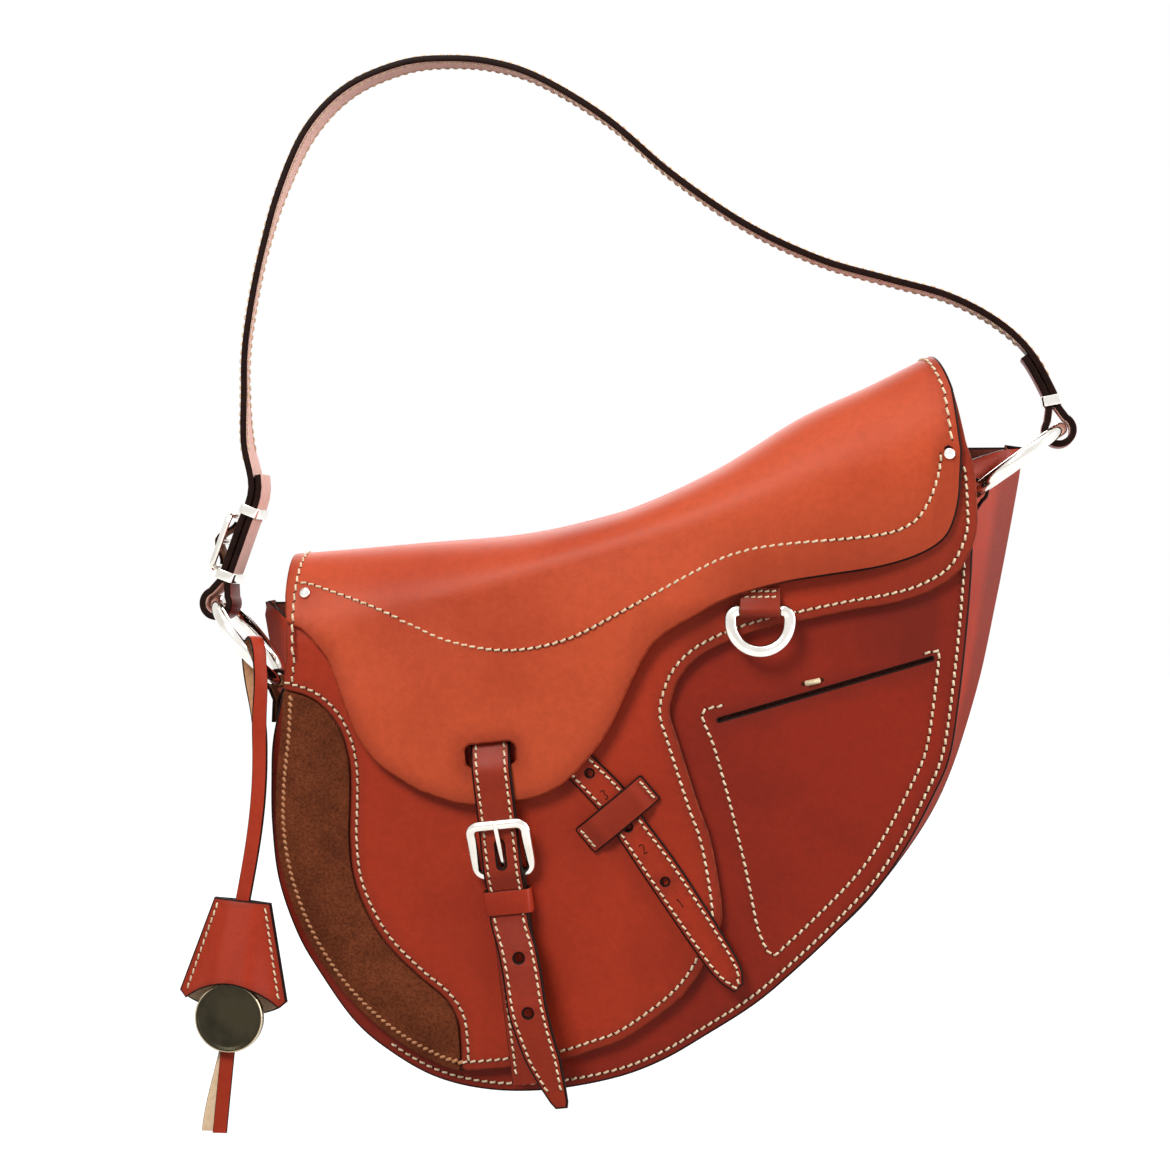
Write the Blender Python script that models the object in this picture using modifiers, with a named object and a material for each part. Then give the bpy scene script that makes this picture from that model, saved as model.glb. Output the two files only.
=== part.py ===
"""A saddle-shaped leather shoulder bag, hanging from the crown of its strap.

Everything is modelled in the bag's own frame: X to the right, Y from the front panel to the back, Z up,
with the origin under the middle of the front panel. One empty then moves the whole bag so that the
crown of the shoulder strap is the origin of the world.
"""

import math

import bmesh
import bpy
from mathutils import Matrix, Vector

# Bag body
BAG_WIDTH = 0.300
BAG_HEIGHT = 0.290
TOP_DEPTH = 0.062
BOTTOM_DEPTH = 0.036
FRONT_BOW = 0.009
PANEL_THICKNESS = 0.0022
GUSSET_THICKNESS = 0.0016
GUSSET_INSET = 0.0018
GUSSET_FLANGE = 0.0030
GUSSET_FOLD = 0.0025
GUSSET_TOP_FOLD = 0.0130
GUSSET_STATIONS = 36
GUSSET_ROWS = 5
FIT_GAP = 0.0003
SEAM_GAP = 0.0006
SHARP_ANGLE = math.radians(40.0)
FLAT_ANGLE = math.radians(0.5)

# The straight line along the back about which the lid folds, and the roll of the lid over the top
hinge_height_share = 0.7276
hinge_rise_share = 0.3124
HINGE_CLEARANCE = 0.0004
ROLL_LENGTH = 0.090
EAR_CLEARANCE = 0.003
HINGE_HEIGHT = BAG_HEIGHT * hinge_height_share
HINGE_SLOPE = BAG_HEIGHT * hinge_rise_share / BAG_WIDTH

# Lid layers, from the inside out
LID_GAP = 0.0006
LINING_THICKNESS = 0.0012
FACING_THICKNESS = 0.0018
SUEDE_THICKNESS = 0.0016
SEAT_THICKNESS = 0.0020
SEAT_LIFT = 0.0034
SEAT_LIFT_LENGTH = 0.036
SEAT_LIFT_FADE = 0.060
SEAT_BACK_STOP = 0.006
INLAY_GAP = 0.0005

# Slip pocket in the front panel
SLIT_WIDTH = 0.0012
POUCH_THICKNESS = 0.0010

# Rivets
RIVET_HEAD_RADIUS = 0.0024
RIVET_HEAD_HEIGHT = 0.0016
RIVET_SHANK_RADIUS = 0.0010
RIVET_CLEARANCE = 0.0003

# Closure strap, its buckle and the lower strap that carries the buckle
CLOSURE_WIDTH = 0.016
CLOSURE_THICKNESS = 0.0022
CLOSURE_LEAN_SLOPE = 0.110
closure_bar_shares = (-0.1013, 0.2966)
BUCKLE_STRAP_THICKNESS = 0.0015
BUCKLE_HEIGHT = 0.0209
BUCKLE_HALF_WIDTH = 0.0111
BUCKLE_CORNER = 0.0034
BUCKLE_WIRE_RADIUS = 0.0016
BUCKLE_BAR_RADIUS = 0.0013
LOOP_CLEARANCE = 0.0003
TONGUE_WIDTH = 0.0018
TONGUE_HALF_HEIGHT = 0.0009
TONGUE_EYE_WALL = 0.0010
TONGUE_OVERHANG = 0.0024
TONGUE_SLOT_WIDTH = 0.0030
TONGUE_SLOT_BELOW = 0.0045
TONGUE_SLOT_ABOVE = 0.0060
TONGUE_HOLE_WIDTH = 0.0028
TONGUE_HOLE_LOW = 0.0030
TONGUE_HOLE_HIGH = 0.0142
HOLE_RADIUS = 0.0017
HOLE_PITCH = 0.0217
FIRST_HOLE_DROP = 0.0334
KEEPER_THICKNESS = 0.0010
KEEPER_HEIGHT = 0.0100
KEEPER_DROP = 0.0112
KEEPER_CORNER = 0.0012
SLOT_TOP = 0.0535
SLOT_BOTTOM = 0.0440
SLOT_HALF_WIDTH = 0.0104
SLOT_CORNER = 0.0030
STRAP_ANCHOR = 0.0640
TAIL_LENGTH = 0.0950
TAIL_STAND = 0.0095
first_hole_stand_share = 0.5
BUCKLE_STRAP_LENGTH = 0.0870
RETURN_LENGTH = 0.0240
FOLD_SPREAD = 0.0060
tongue_tip_share = 0.8

# Diagonal stirrup strap and its keeper
STIRRUP_THICKNESS = 0.0018
STIRRUP_KEEPER_THICKNESS = 0.0016
STIRRUP_HOLE_RADIUS = 0.0014
arch_start_share = 0.06
arch_length_share = 0.16

# D-ring on the lid
DEE_WIRE_RADIUS = 0.0016
DEE_HALF_WIDTH = 0.0118
DEE_STRAIGHT = 0.0045
DEE_TAB_WIDTH = 0.0160
DEE_TAB_THICKNESS = 0.0012
DEE_TAB_LENGTH = 0.0090
tab_close_share = 0.62
dee_bar_shares = (0.2417, 0.6638)

# Rings that join the shoulder strap to the bag, and the leather tabs that carry them
RING_WIRE_RADIUS = 0.0027
RING_SIDE_CLEARANCE = 0.0071
RING_RADIUS = TOP_DEPTH / 2 - RING_WIRE_RADIUS - RING_SIDE_CLEARANCE
TAB_WIDTH = 0.0120
TAB_THICKNESS = 0.0016
TAB_LENGTH = 0.0170
TAB_CLEARANCE = 0.0005
TAB_OPENING = 30.0
tab_neck_share = 1.70
left_tab_shares = (-0.427, 0.558)
right_tab_shares = (0.527, 0.826)
LEFT_RING_TILT = math.radians(-52.0)
RIGHT_RING_TILT = math.radians(36.5)

# Shoulder strap
strap_depth_share = 0.508
STRAP_DEPTH = TOP_DEPTH * strap_depth_share
STRAP_WIDTH = 0.0180
STRAP_THICKNESS = 0.0028
STRAP_BAND_HEIGHT = 0.0042
STRAP_BAND_WALL = 0.0009
STRAP_LOOP_OPENING = 42.0
end_band_share = 0.6

# Strap adjuster on the left
ADJUSTER_WIRE_RADIUS = 0.0013
adjuster_bar_share = 0.9
ADJUSTER_HALF_WIDTH = 0.0112
ADJUSTER_HEIGHT = 0.0230
ADJUSTER_CORNER = 0.0034
ADJUSTER_PATCH_THICKNESS = 0.0014
ADJUSTER_PATCH_BULGE = 0.0052
ADJUSTER_PATCH_WIDTH = 0.0130
ADJUSTER_START = 0.0155
LEFT_RETURN = 0.0470
RIGHT_RETURN = 0.0230
STRAP_NECK = 0.0095

# Clochette: lace, bell and medallion
LACE_HANG_ANGLE = math.radians(62.0)
LACE_WIDTH = 0.0060
LACE_THICKNESS = 0.0014
LACE_LOOP_HALF = 0.0049
LACE_LOOP_TOP = 0.0098
LACE_LOOP_RUN = 0.0060
LACE_TWIST = math.radians(40.0)
LACE_BOW = 0.0045
LACE_TWIST_LENGTH = 0.0420
LACE_CLOSE_LENGTH = 0.0340
LACE_DROP = 0.0977
LACE_LEAN = 0.0046
BELL_LEAN = 0.100
BELL_TOP_WIDTH = 0.0236
BELL_BOTTOM_WIDTH = 0.0450
BELL_HEIGHT = 0.0425
BELL_FRONT_ARCH = 0.0085
BELL_BACK_ARCH = 0.0015
BELL_THICKNESS = 0.0014
BELL_BOTTOM_BULGE = 0.0096
BELL_SEAM = 0.0004
BELL_CORNER_CUT = 0.0030
bell_swell_share = 0.75
MEDALLION_RADIUS = 0.0142
MEDALLION_THICKNESS = 0.0040
MEDALLION_RIM = 0.0013
MEDALLION_DISH = 0.0006
MEDALLION_DROP = 0.0480
BAIL_WIRE_RADIUS = 0.0012
BAIL_HALF_WIDTH = 0.0070
BAIL_STRAIGHT = 0.0060
BAIL_FOOT = 0.0008
LACE_TAIL_LENGTH = 0.0480
LACE_TAIL_SPREAD = 0.0080

# How finely the curves and sheets are divided
CURVE_STEPS = 5
OUTLINE_STEPS = 4
SMALL_OUTLINE_STEPS = 3
PANEL_CELL = 0.022
ROLL_STEPS = 12
CLOSURE_LEVELS = 26
LACE_STEPS = 26
LACE_LOOP_STEPS = 8
STRAP_STEPS = 64
LOOP_STEPS = 14
FOLD_STEPS = 8
KEEPER_STEPS = 12
WALL_STEPS = 12
PATCH_STEPS = 16
BELL_STEPS = 8
WELD = 1e-7

# Outlines, as shares of the bag's width and height
ridge_shares = (
    (-0.430, 0.718), (-0.413, 0.719), (-0.325, 0.726), (-0.222, 0.735), (-0.084, 0.747), (0.023, 0.770),
    (0.097, 0.795), (0.196, 0.844), (0.301, 0.911), (0.391, 0.954), (0.473, 0.996), (0.530, 1.020),
)
front_outline_shares = (
    (-0.413, 0.552), (-0.430, 0.480), (-0.434, 0.420), (-0.434, 0.353), (-0.426, 0.276), (-0.401, 0.200),
    (-0.369, 0.143), (-0.323, 0.077), (-0.276, 0.036), (-0.211, -0.001), (-0.137, -0.018), (-0.053, -0.017),
    (0.037, 0.001), (0.103, 0.027), (0.167, 0.066), (0.232, 0.110), (0.283, 0.155), (0.343, 0.214),
    (0.399, 0.276), (0.437, 0.334), (0.471, 0.401), (0.494, 0.458), (0.507, 0.542), (0.519, 0.661),
    (0.524, 0.753), (0.521, 0.836),
)
back_outline_shares = (
    (-0.473, 0.672), (-0.462, 0.600), (-0.448, 0.500), (-0.440, 0.380), (-0.424, 0.280), (-0.385, 0.180),
    (-0.335, 0.100), (-0.275, 0.043), (-0.200, 0.006), (-0.105, -0.010), (0.000, 0.000), (0.100, 0.030),
    (0.200, 0.090), (0.270, 0.140), (0.330, 0.192), (0.395, 0.262), (0.475, 0.385), (0.525, 0.530),
    (0.555, 0.674), (0.582, 0.830), (0.590, 0.893),
)
lid_left_roll_shares = ((-0.4100, 1.000), (-0.4100, 0.500), (-0.4055, 0.200))
lid_left_shares = (
    (-0.404, 0.600), (-0.410, 0.549), (-0.4142, 0.487), (-0.422, 0.421), (-0.424, 0.354), (-0.415, 0.288),
    (-0.392, 0.217), (-0.356, 0.151), (-0.310, 0.095), (-0.254, 0.049), (-0.198, 0.019), (-0.168, 0.010),
)
lid_right_shares = (
    (-0.168, 0.010), (-0.104, 0.017), (-0.029, 0.030), (0.013, 0.044), (0.055, 0.061), (0.105, 0.097),
    (0.139, 0.129), (0.165, 0.168), (0.185, 0.219), (0.188, 0.254), (0.175, 0.339), (0.158, 0.392),
    (0.142, 0.445), (0.129, 0.489), (0.121, 0.518), (0.124, 0.542), (0.137, 0.573), (0.162, 0.599),
    (0.205, 0.622), (0.255, 0.639), (0.297, 0.648), (0.356, 0.661), (0.415, 0.672), (0.457, 0.685),
    (0.494, 0.707), (0.515, 0.735), (0.527, 0.770), (0.528, 0.804), (0.524, 0.857), (0.513, 0.893),
)
lid_right_roll_shares = ((0.499, 0.200), (0.473, 0.500), (0.468, 1.000))
lobe_shares = (
    (-0.401, 0.634), (-0.377, 0.627), (-0.356, 0.610), (-0.340, 0.586), (-0.318, 0.528), (-0.301, 0.487),
    (-0.277, 0.453), (-0.245, 0.429), (-0.209, 0.409), (-0.149, 0.393), (-0.081, 0.400), (-0.044, 0.410),
    (-0.008, 0.436), (0.033, 0.487), (0.061, 0.543), (0.083, 0.591), (0.108, 0.626), (0.155, 0.657),
    (0.206, 0.683), (0.273, 0.702), (0.331, 0.712), (0.394, 0.722), (0.440, 0.735), (0.473, 0.752),
    (0.492, 0.774), (0.503, 0.813), (0.506, 0.856), (0.507, 0.884),
)
inlay_shares = (
    (-0.411, 0.551), (-0.372, 0.539), (-0.344, 0.516), (-0.326, 0.484), (-0.317, 0.442), (-0.317, 0.394),
    (-0.319, 0.337), (-0.313, 0.280), (-0.293, 0.228), (-0.266, 0.186), (-0.225, 0.145), (-0.192, 0.117),
    (-0.174, 0.089), (-0.169, 0.055), (-0.168, 0.011),
)
pouch_shares = (
    (0.182, 0.545), (0.164, 0.518), (0.179, 0.471), (0.200, 0.391), (0.220, 0.302), (0.232, 0.231),
    (0.245, 0.190), (0.261, 0.180), (0.283, 0.192), (0.325, 0.236), (0.368, 0.290), (0.401, 0.349),
    (0.430, 0.386), (0.450, 0.428), (0.462, 0.476), (0.473, 0.529), (0.481, 0.577), (0.479, 0.614),
    (0.458, 0.628),
)
slit_shares = ((0.186, 0.509), (0.469, 0.595))
stirrup_left_shares = (
    (-0.042, 0.455), (-0.011, 0.424), (0.025, 0.384), (0.047, 0.351), (0.099, 0.269), (0.170, 0.162),
    (0.204, 0.130),
)
stirrup_right_shares = (
    (0.217, 0.143), (0.208, 0.181), (0.137, 0.301), (0.085, 0.376), (0.059, 0.418), (0.020, 0.459),
    (-0.014, 0.494),
)
stirrup_hole_shares = ((0.013, 0.437), (0.064, 0.362), (0.113, 0.286))
tail_lean_shares = (
    (1.000, 0.000), (0.180, 0.000), (-0.060, 0.000), (-0.200, 0.000), (-0.300, 0.120), (-0.420, 0.205),
    (-0.560, 0.260), (-0.700, 0.390), (-0.860, 0.600), (-1.000, 0.820),
)
closure_width_shares = (
    (1.000, 1.000), (-0.600, 1.000), (-0.790, 0.900), (-0.900, 0.660), (-0.985, 0.420), (-1.000, 0.300),
)
stirrup_keeper_shares = ((-0.010, 0.356), (0.020, 0.326), (0.110, 0.403), (0.080, 0.435))
rivet_shares = ((-0.376, 0.671), (0.490, 0.878))

# The shoulder strap's run between its rings: shares of the distance between them, along it and square to it
strap_shares = (
    (0.0686, 0.1244), (0.0692, 0.1790), (0.0781, 0.2360), (0.0892, 0.2867), (0.1093, 0.3432),
    (0.1349, 0.4011), (0.1692, 0.4631), (0.2153, 0.5235), (0.2716, 0.5609), (0.3395, 0.5741),
    (0.3948, 0.5680), (0.4479, 0.5513), (0.4983, 0.5210), (0.5641, 0.4589), (0.6262, 0.3791),
    (0.6980, 0.3041), (0.7734, 0.2468), (0.8440, 0.2090), (0.9069, 0.1761), (0.9554, 0.1360),
    (0.9858, 0.0929),
)
left_strap_turn_shares = (0.5184, 0.8551)
right_strap_turn_shares = (-0.0455, 0.9990)


def smooth(shares, steps=CURVE_STEPS):
    """A curve through hand-chosen points, in the units of those points."""
    points = [Vector(share) for share in shares]
    ends = [2 * points[0] - points[1]] + points + [2 * points[-1] - points[-2]]
    curve = []
    for i in range(len(points) - 1):
        before, start, end, after = ends[i:i + 4]
        for step in range(steps):
            t = step / steps
            curve.append(
                0.5 * (2 * start + (end - before) * t + (2 * before - 5 * start + 4 * end - after) * t**2
                       + (3 * start - before - 3 * end + after) * t**3)
            )
    return curve + [points[-1]]


def sized(shares):
    """Shares of the bag's width and height, as lengths."""
    return [Vector((share[0] * BAG_WIDTH, share[1] * BAG_HEIGHT)) for share in shares]


def curve_of(shares, steps=CURVE_STEPS):
    return sized(smooth(shares, steps))


def height_on(curve, x):
    """The height of a left-to-right curve at x."""
    for low, high in zip(curve, curve[1:]):
        if x <= high.x:
            part = (x - low.x) / (high.x - low.x)
            return low.y + (high.y - low.y) * part
    return curve[-1].y


def smooth_step(value):
    value = min(max(value, 0), 1)
    return value * value * (3 - 2 * value)


RIDGE = curve_of(ridge_shares)


def hinge_height(x):
    return HINGE_HEIGHT + HINGE_SLOPE * x


def front_depth(x, z):
    """How far back the outer face of the front panel lies: it leans back towards the bottom."""
    slant = (TOP_DEPTH - BOTTOM_DEPTH) * (1 - z / BAG_HEIGHT)
    bow = FRONT_BOW * (2 * x / BAG_WIDTH) ** 2
    return slant + bow


def skin(x, s):
    """The bag's outer surface: up the front to the lid's fold line, then over the top to the back."""
    hinge = hinge_height(x)
    if s <= hinge:
        return Vector((x, front_depth(x, s), s))
    turn = math.pi * (s - hinge) / ROLL_LENGTH
    front = front_depth(x, hinge)
    middle = (front + TOP_DEPTH) / 2
    reach = (TOP_DEPTH - front) / 2
    rise = height_on(RIDGE, x) - hinge
    return Vector((x, middle - reach * math.cos(turn), hinge + rise * math.sin(turn)))


def skin_normal(x, s):
    step = FIT_GAP
    across = skin(x + step, s) - skin(x - step, s)
    along = skin(x, s + step) - skin(x, s - step)
    return across.cross(along).normalized()


def on_skin(x, s, offset):
    return skin(x, s) + skin_normal(x, s) * offset


LINING_OFFSET = LID_GAP + LINING_THICKNESS / 2
FACING_OFFSET = LID_GAP + LINING_THICKNESS + SEAM_GAP + FACING_THICKNESS / 2
LID_FACE = FACING_OFFSET + FACING_THICKNESS / 2
SUEDE_OFFSET = LID_GAP + LINING_THICKNESS + SEAM_GAP + SUEDE_THICKNESS / 2


def rolled_away(x, s):
    """1 on the front, falling to 0 at the back end of the roll."""
    return 1 - smooth_step((s - hinge_height(x)) / ROLL_LENGTH)


def lining_offset(x, s):
    return LINING_OFFSET * rolled_away(x, s) + LINING_THICKNESS / 2 * (1 - rolled_away(x, s))


def facing_offset(x, s):
    return lining_offset(x, s) + FACING_OFFSET - LINING_OFFSET


def seat_offset(x, s):
    """The seat lies on the lid near the ridge, and its lobe stands off enough for the straps under it."""
    sewn_down = smooth_step((BAG_WIDTH / 2 - x) / SEAT_LIFT_FADE)
    lift = SEAT_LIFT * smooth_step((hinge_height(x) - s) / SEAT_LIFT_LENGTH) * sewn_down
    seat = facing_offset(x, s) + FACING_THICKNESS / 2 + SEAM_GAP + SEAT_THICKNESS / 2
    return seat + lift


def clear_scene():
    for item in list(bpy.data.objects):
        bpy.data.objects.remove(item, do_unlink=True)


clear_scene()
bag = bpy.data.collections.new("saddle_bag")
bpy.context.scene.collection.children.link(bag)
cutters = bpy.data.collections.new("cutters")
bpy.context.scene.collection.children.link(cutters)


def material(name, colour, roughness, metallic):
    made = bpy.data.materials.new(name)
    made.use_nodes = True
    shader = made.node_tree.nodes["Principled BSDF"]
    shader.inputs["Base Color"].default_value = (*colour, 1)
    shader.inputs["Roughness"].default_value = roughness
    shader.inputs["Metallic"].default_value = metallic
    made.diffuse_color = (*colour, 1)
    return made


LEATHER = (0.40, 0.105, 0.042)
DARK_LEATHER = (0.27, 0.060, 0.024)
SUEDE = (0.150, 0.052, 0.024)
NICKEL = (0.80, 0.78, 0.74)
BRONZE = (0.10, 0.085, 0.05)


def leather(name):
    return material(name, LEATHER, 0.48, 0.0)


def metal(name):
    return material(name, NICKEL, 0.16, 1.0)


def empty(name, location, parent):
    """A pivot in the bag's frame; every pivot hangs from the same root."""
    pivot = bpy.data.objects.new(name, None)
    pivot.empty_display_size = FIT_GAP
    bag.objects.link(pivot)
    pivot.parent = parent
    pivot.location = location
    return pivot


def add_mesh(name, mesh, look, pivot):
    """Makes a node of a mesh whose points are in the bag's frame, with its origin on the pivot."""
    mesh.transform(Matrix.Translation(-pivot.location))
    for polygon in mesh.polygons:
        polygon.use_smooth = True
    mesh.set_sharp_from_angle(angle=SHARP_ANGLE)
    mesh.materials.clear()
    mesh.materials.append(look)
    made = bpy.data.objects.new(name, mesh)
    made.parent = pivot
    bag.objects.link(made)
    return made


def hide_as_cutter(made):
    """Moves a helper out of the bag's collection, so that it isn't part of the model."""
    bag.objects.unlink(made)
    cutters.objects.link(made)
    made.hide_render = True
    made.display_type = "WIRE"


def mesh_of(holder):
    """The mesh of a curve object, with its caps welded, and the curve object removed."""
    bpy.context.scene.collection.objects.link(holder)
    graph = bpy.context.evaluated_depsgraph_get()
    mesh = bpy.data.meshes.new_from_object(holder.evaluated_get(graph))
    curve = holder.data
    bpy.data.objects.remove(holder)
    bpy.data.curves.remove(curve)
    work = bmesh.new()
    work.from_mesh(mesh)
    bmesh.ops.remove_doubles(work, verts=work.verts, dist=WELD)
    work.to_mesh(mesh)
    work.free()
    return mesh


def filled(loops, thickness):
    """A flat plate in local XY, with its thickness in Z: the first loop is its edge, the rest are holes."""
    curve = bpy.data.curves.new("outline", "CURVE")
    curve.dimensions = "2D"
    curve.fill_mode = "BOTH"
    curve.extrude = thickness / 2
    for loop in loops:
        spline = curve.splines.new("POLY")
        spline.points.add(len(loop) - 1)
        for point, (x, y) in zip(spline.points, loop):
            point.co = (x, y, 0, 1)
        spline.use_cyclic_u = True
    return mesh_of(bpy.data.objects.new("outline", curve))


def facing_out(mesh):
    work = bmesh.new()
    work.from_mesh(mesh)
    bmesh.ops.recalc_face_normals(work, faces=work.faces)
    if work.calc_volume(signed=True) < 0:
        bmesh.ops.reverse_faces(work, faces=work.faces)
    work.to_mesh(mesh)
    work.free()
    return mesh


def place_points(mesh, place):
    for vertex in mesh.vertices:
        vertex.co = place(*vertex.co)
    return facing_out(mesh)


def divide(mesh, cuts):
    """Cuts a flat plate along lines, so that it can bend there."""
    work = bmesh.new()
    work.from_mesh(mesh)
    bmesh.ops.dissolve_limit(work, angle_limit=FLAT_ANGLE, verts=work.verts, edges=work.edges,
                             delimit={"NORMAL"})
    for point, normal in cuts:
        geometry = work.verts[:] + work.edges[:] + work.faces[:]
        bmesh.ops.bisect_plane(work, geom=geometry, dist=WELD, plane_co=point, plane_no=normal)
    work.to_mesh(mesh)
    work.free()


def skin_cuts(loop, cell=PANEL_CELL):
    """Lines across a sheet: upright and level ones on the front, and ones along the roll."""
    left = min(point[0] for point in loop)
    right = max(point[0] for point in loop)
    low = min(point[1] for point in loop)
    high = max(point[1] for point in loop)
    top_roll = max((point[1] - hinge_height(point[0])) / ROLL_LENGTH for point in loop)
    cuts = []
    for i in range(math.ceil(left / cell), math.floor(right / cell) + 1):
        cuts.append((Vector((cell * i, 0, 0)), Vector((1, 0, 0))))
    for i in range(math.ceil(low / cell), math.floor(min(high, hinge_height(left)) / cell) + 1):
        cuts.append((Vector((0, cell * i, 0)), Vector((0, 1, 0))))
    if top_roll > 0:
        for i in range(ROLL_STEPS):
            rise = HINGE_HEIGHT + ROLL_LENGTH * i / ROLL_STEPS
            cuts.append((Vector((0, rise, 0)), Vector((-HINGE_SLOPE, 1, 0))))
    return cuts


def sheet(name, loops, thickness, offset, look, pivot, cell=PANEL_CELL):
    """A leather sheet that follows the bag's skin at an offset, a value or a function of the place."""
    mesh = filled(loops, thickness)
    divide(mesh, skin_cuts(loops[0], cell))
    offset_at = offset if callable(offset) else lambda x, s: offset
    place_points(mesh, lambda x, s, n: on_skin(x, s, offset_at(x, s) + n))
    return add_mesh(name, mesh, look, pivot)


def circle(centre, radius, count=12):
    points = []
    for i in range(count):
        angle = 2 * math.pi * i / count
        points.append(Vector((centre[0] + radius * math.cos(angle), centre[1] + radius * math.sin(angle))))
    return points


def rounded_box(low, high, corner, steps=3):
    """A rounded rectangle from its low corner to its high corner, anticlockwise."""
    centres = (
        (high[0] - corner, low[1] + corner, -90), (high[0] - corner, high[1] - corner, 0),
        (low[0] + corner, high[1] - corner, 90), (low[0] + corner, low[1] + corner, 180),
    )
    points = []
    for x, y, start in centres:
        for step in range(steps + 1):
            angle = math.radians(start + 90 * step / steps)
            points.append(Vector((x + corner * math.cos(angle), y + corner * math.sin(angle))))
    return points


def turned(name, profile, centre, axis, look, pivot, steps):
    """A turned piece: a profile of radius and height, from the top of its axis round to the bottom."""
    mesh = bpy.data.meshes.new(name)
    points = [(radius, 0, height) for radius, height in profile]
    mesh.from_pydata(points, [(i, i + 1) for i in range(len(points) - 1)], [])
    mesh.materials.append(look)
    made = bpy.data.objects.new(name, mesh)
    made.parent = pivot
    made.location = centre - pivot.location
    made.rotation_euler = axis.to_track_quat("Z", "Y").to_euler()
    turn = made.modifiers.new("turn", "SCREW")
    turn.axis = "Z"
    turn.angle = 2 * math.pi
    turn.steps = steps
    turn.render_steps = steps
    turn.use_merge_vertices = True
    turn.merge_threshold = FIT_GAP / 10
    turn.use_smooth_shade = True
    bag.objects.link(made)
    return made


def ribbon_outline(path, thickness):
    """The closed outline of a strap seen edge-on, half its thickness to each side of its path."""
    sides = ([], [])
    for i, point in enumerate(path):
        ahead = path[min(i + 1, len(path) - 1)] - path[max(i - 1, 0)]
        normal = Vector((-ahead.y, ahead.x)).normalized() * thickness / 2
        sides[0].append(point + normal)
        sides[1].append(point - normal)
    return sides[0] + sides[1][::-1]


def arc(centre, radius, start, end, steps):
    points = []
    for i in range(steps + 1):
        angle = math.radians(start + (end - start) * i / steps)
        points.append(Vector((centre[0] + radius * math.cos(angle), centre[1] + radius * math.sin(angle))))
    return points


def wire_mesh(points, radius, closed, radii=None, sides=2):
    """A round wire through points, as a mesh in the frame of its points."""
    curve = bpy.data.curves.new("wire", "CURVE")
    curve.dimensions = "3D"
    curve.bevel_depth = radius
    curve.bevel_resolution = sides
    curve.use_fill_caps = True
    spline = curve.splines.new("POLY")
    spline.points.add(len(points) - 1)
    for i, (point, place) in enumerate(zip(spline.points, points)):
        point.co = (*place, 1)
        point.radius = radii[i] if radii else 1
    spline.use_cyclic_u = closed
    return facing_out(mesh_of(bpy.data.objects.new("wire", curve)))


# Pivots: each stands on the axis about which its pieces move
bag_root = bpy.data.objects.new("bag_root", None)
bag.objects.link(bag_root)
strap_pivot = empty("strap_pivot", (0, 0, 0), bag_root)


def tab_point(shares):
    return Vector((shares[0] * BAG_WIDTH, STRAP_DEPTH, shares[1] * BAG_HEIGHT))


LEFT_TAB = tab_point(left_tab_shares)
RIGHT_TAB = tab_point(right_tab_shares)


def ring_centre(tab, tilt, side):
    """The ring leaves its tab upwards and outwards."""
    out = Vector((side * math.cos(tilt), 0, side * math.sin(tilt)))
    return tab + out * RING_RADIUS


LEFT_RING = ring_centre(LEFT_TAB, LEFT_RING_TILT, -1)
RIGHT_RING = ring_centre(RIGHT_TAB, RIGHT_RING_TILT, 1)

body_pivot = empty("bag_swing", LEFT_TAB, bag_root)
LID_BACK = TOP_DEPTH + LINING_THICKNESS + SEAM_GAP + FACING_THICKNESS
lid_pivot = empty("lid_hinge", (0, LID_BACK, HINGE_HEIGHT), bag_root)
left_ring_pivot = empty("ring_left_pivot", LEFT_RING, bag_root)
right_ring_pivot = empty("ring_right_pivot", RIGHT_RING, bag_root)


# Bag body
def capsule(start, end, width, steps=4):
    along = (end - start).normalized()
    heading = math.degrees(math.atan2(along.y, along.x))
    return arc(end, width / 2, heading - 90, heading + 90, steps) + arc(
        start, width / 2, heading + 90, heading + 270, steps)


def make_front_panel():
    slit = sized(slit_shares)
    loops = [curve_of(front_outline_shares, OUTLINE_STEPS), capsule(slit[0], slit[1], SLIT_WIDTH)]
    look = leather("front_panel_leather")
    sheet("front_panel", loops, PANEL_THICKNESS, -PANEL_THICKNESS / 2, look, body_pivot)


def make_pouch():
    """The lining of the slip pocket, stitched to the inside of the front panel around its slit."""
    offset = -PANEL_THICKNESS - FIT_GAP - POUCH_THICKNESS / 2
    lining = material("pocket_lining", DARK_LEATHER, 0.7, 0.0)
    outline = curve_of(pouch_shares, SMALL_OUTLINE_STEPS)
    sheet("slip_pocket_lining", [outline], POUCH_THICKNESS, offset, lining, body_pivot)


def make_back_panel():
    """Flat, with a cut-back top edge along the lid's fold line and an ear at each end."""
    outline = curve_of(back_outline_shares, OUTLINE_STEPS)
    lid_left = lid_left_roll_shares[0][0] * BAG_WIDTH - EAR_CLEARANCE
    lid_right = lid_right_roll_shares[-1][0] * BAG_WIDTH + EAR_CLEARANCE
    left_ear = outline[0]
    right_ear = outline[-1]
    top = [
        Vector((lid_right, right_ear.y)),
        Vector((lid_right, hinge_height(lid_right) - HINGE_CLEARANCE)),
        Vector((lid_left, hinge_height(lid_left) - HINGE_CLEARANCE)),
        Vector((lid_left, left_ear.y)),
    ]
    if top[1].y > top[0].y:
        top[0].y = top[1].y
    mesh = filled([outline + top], PANEL_THICKNESS)
    place_points(mesh, lambda x, z, n: Vector((x, TOP_DEPTH + PANEL_THICKNESS / 2 + n, z)))
    add_mesh("back_panel", mesh, leather("back_panel_leather"), body_pivot)


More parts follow.
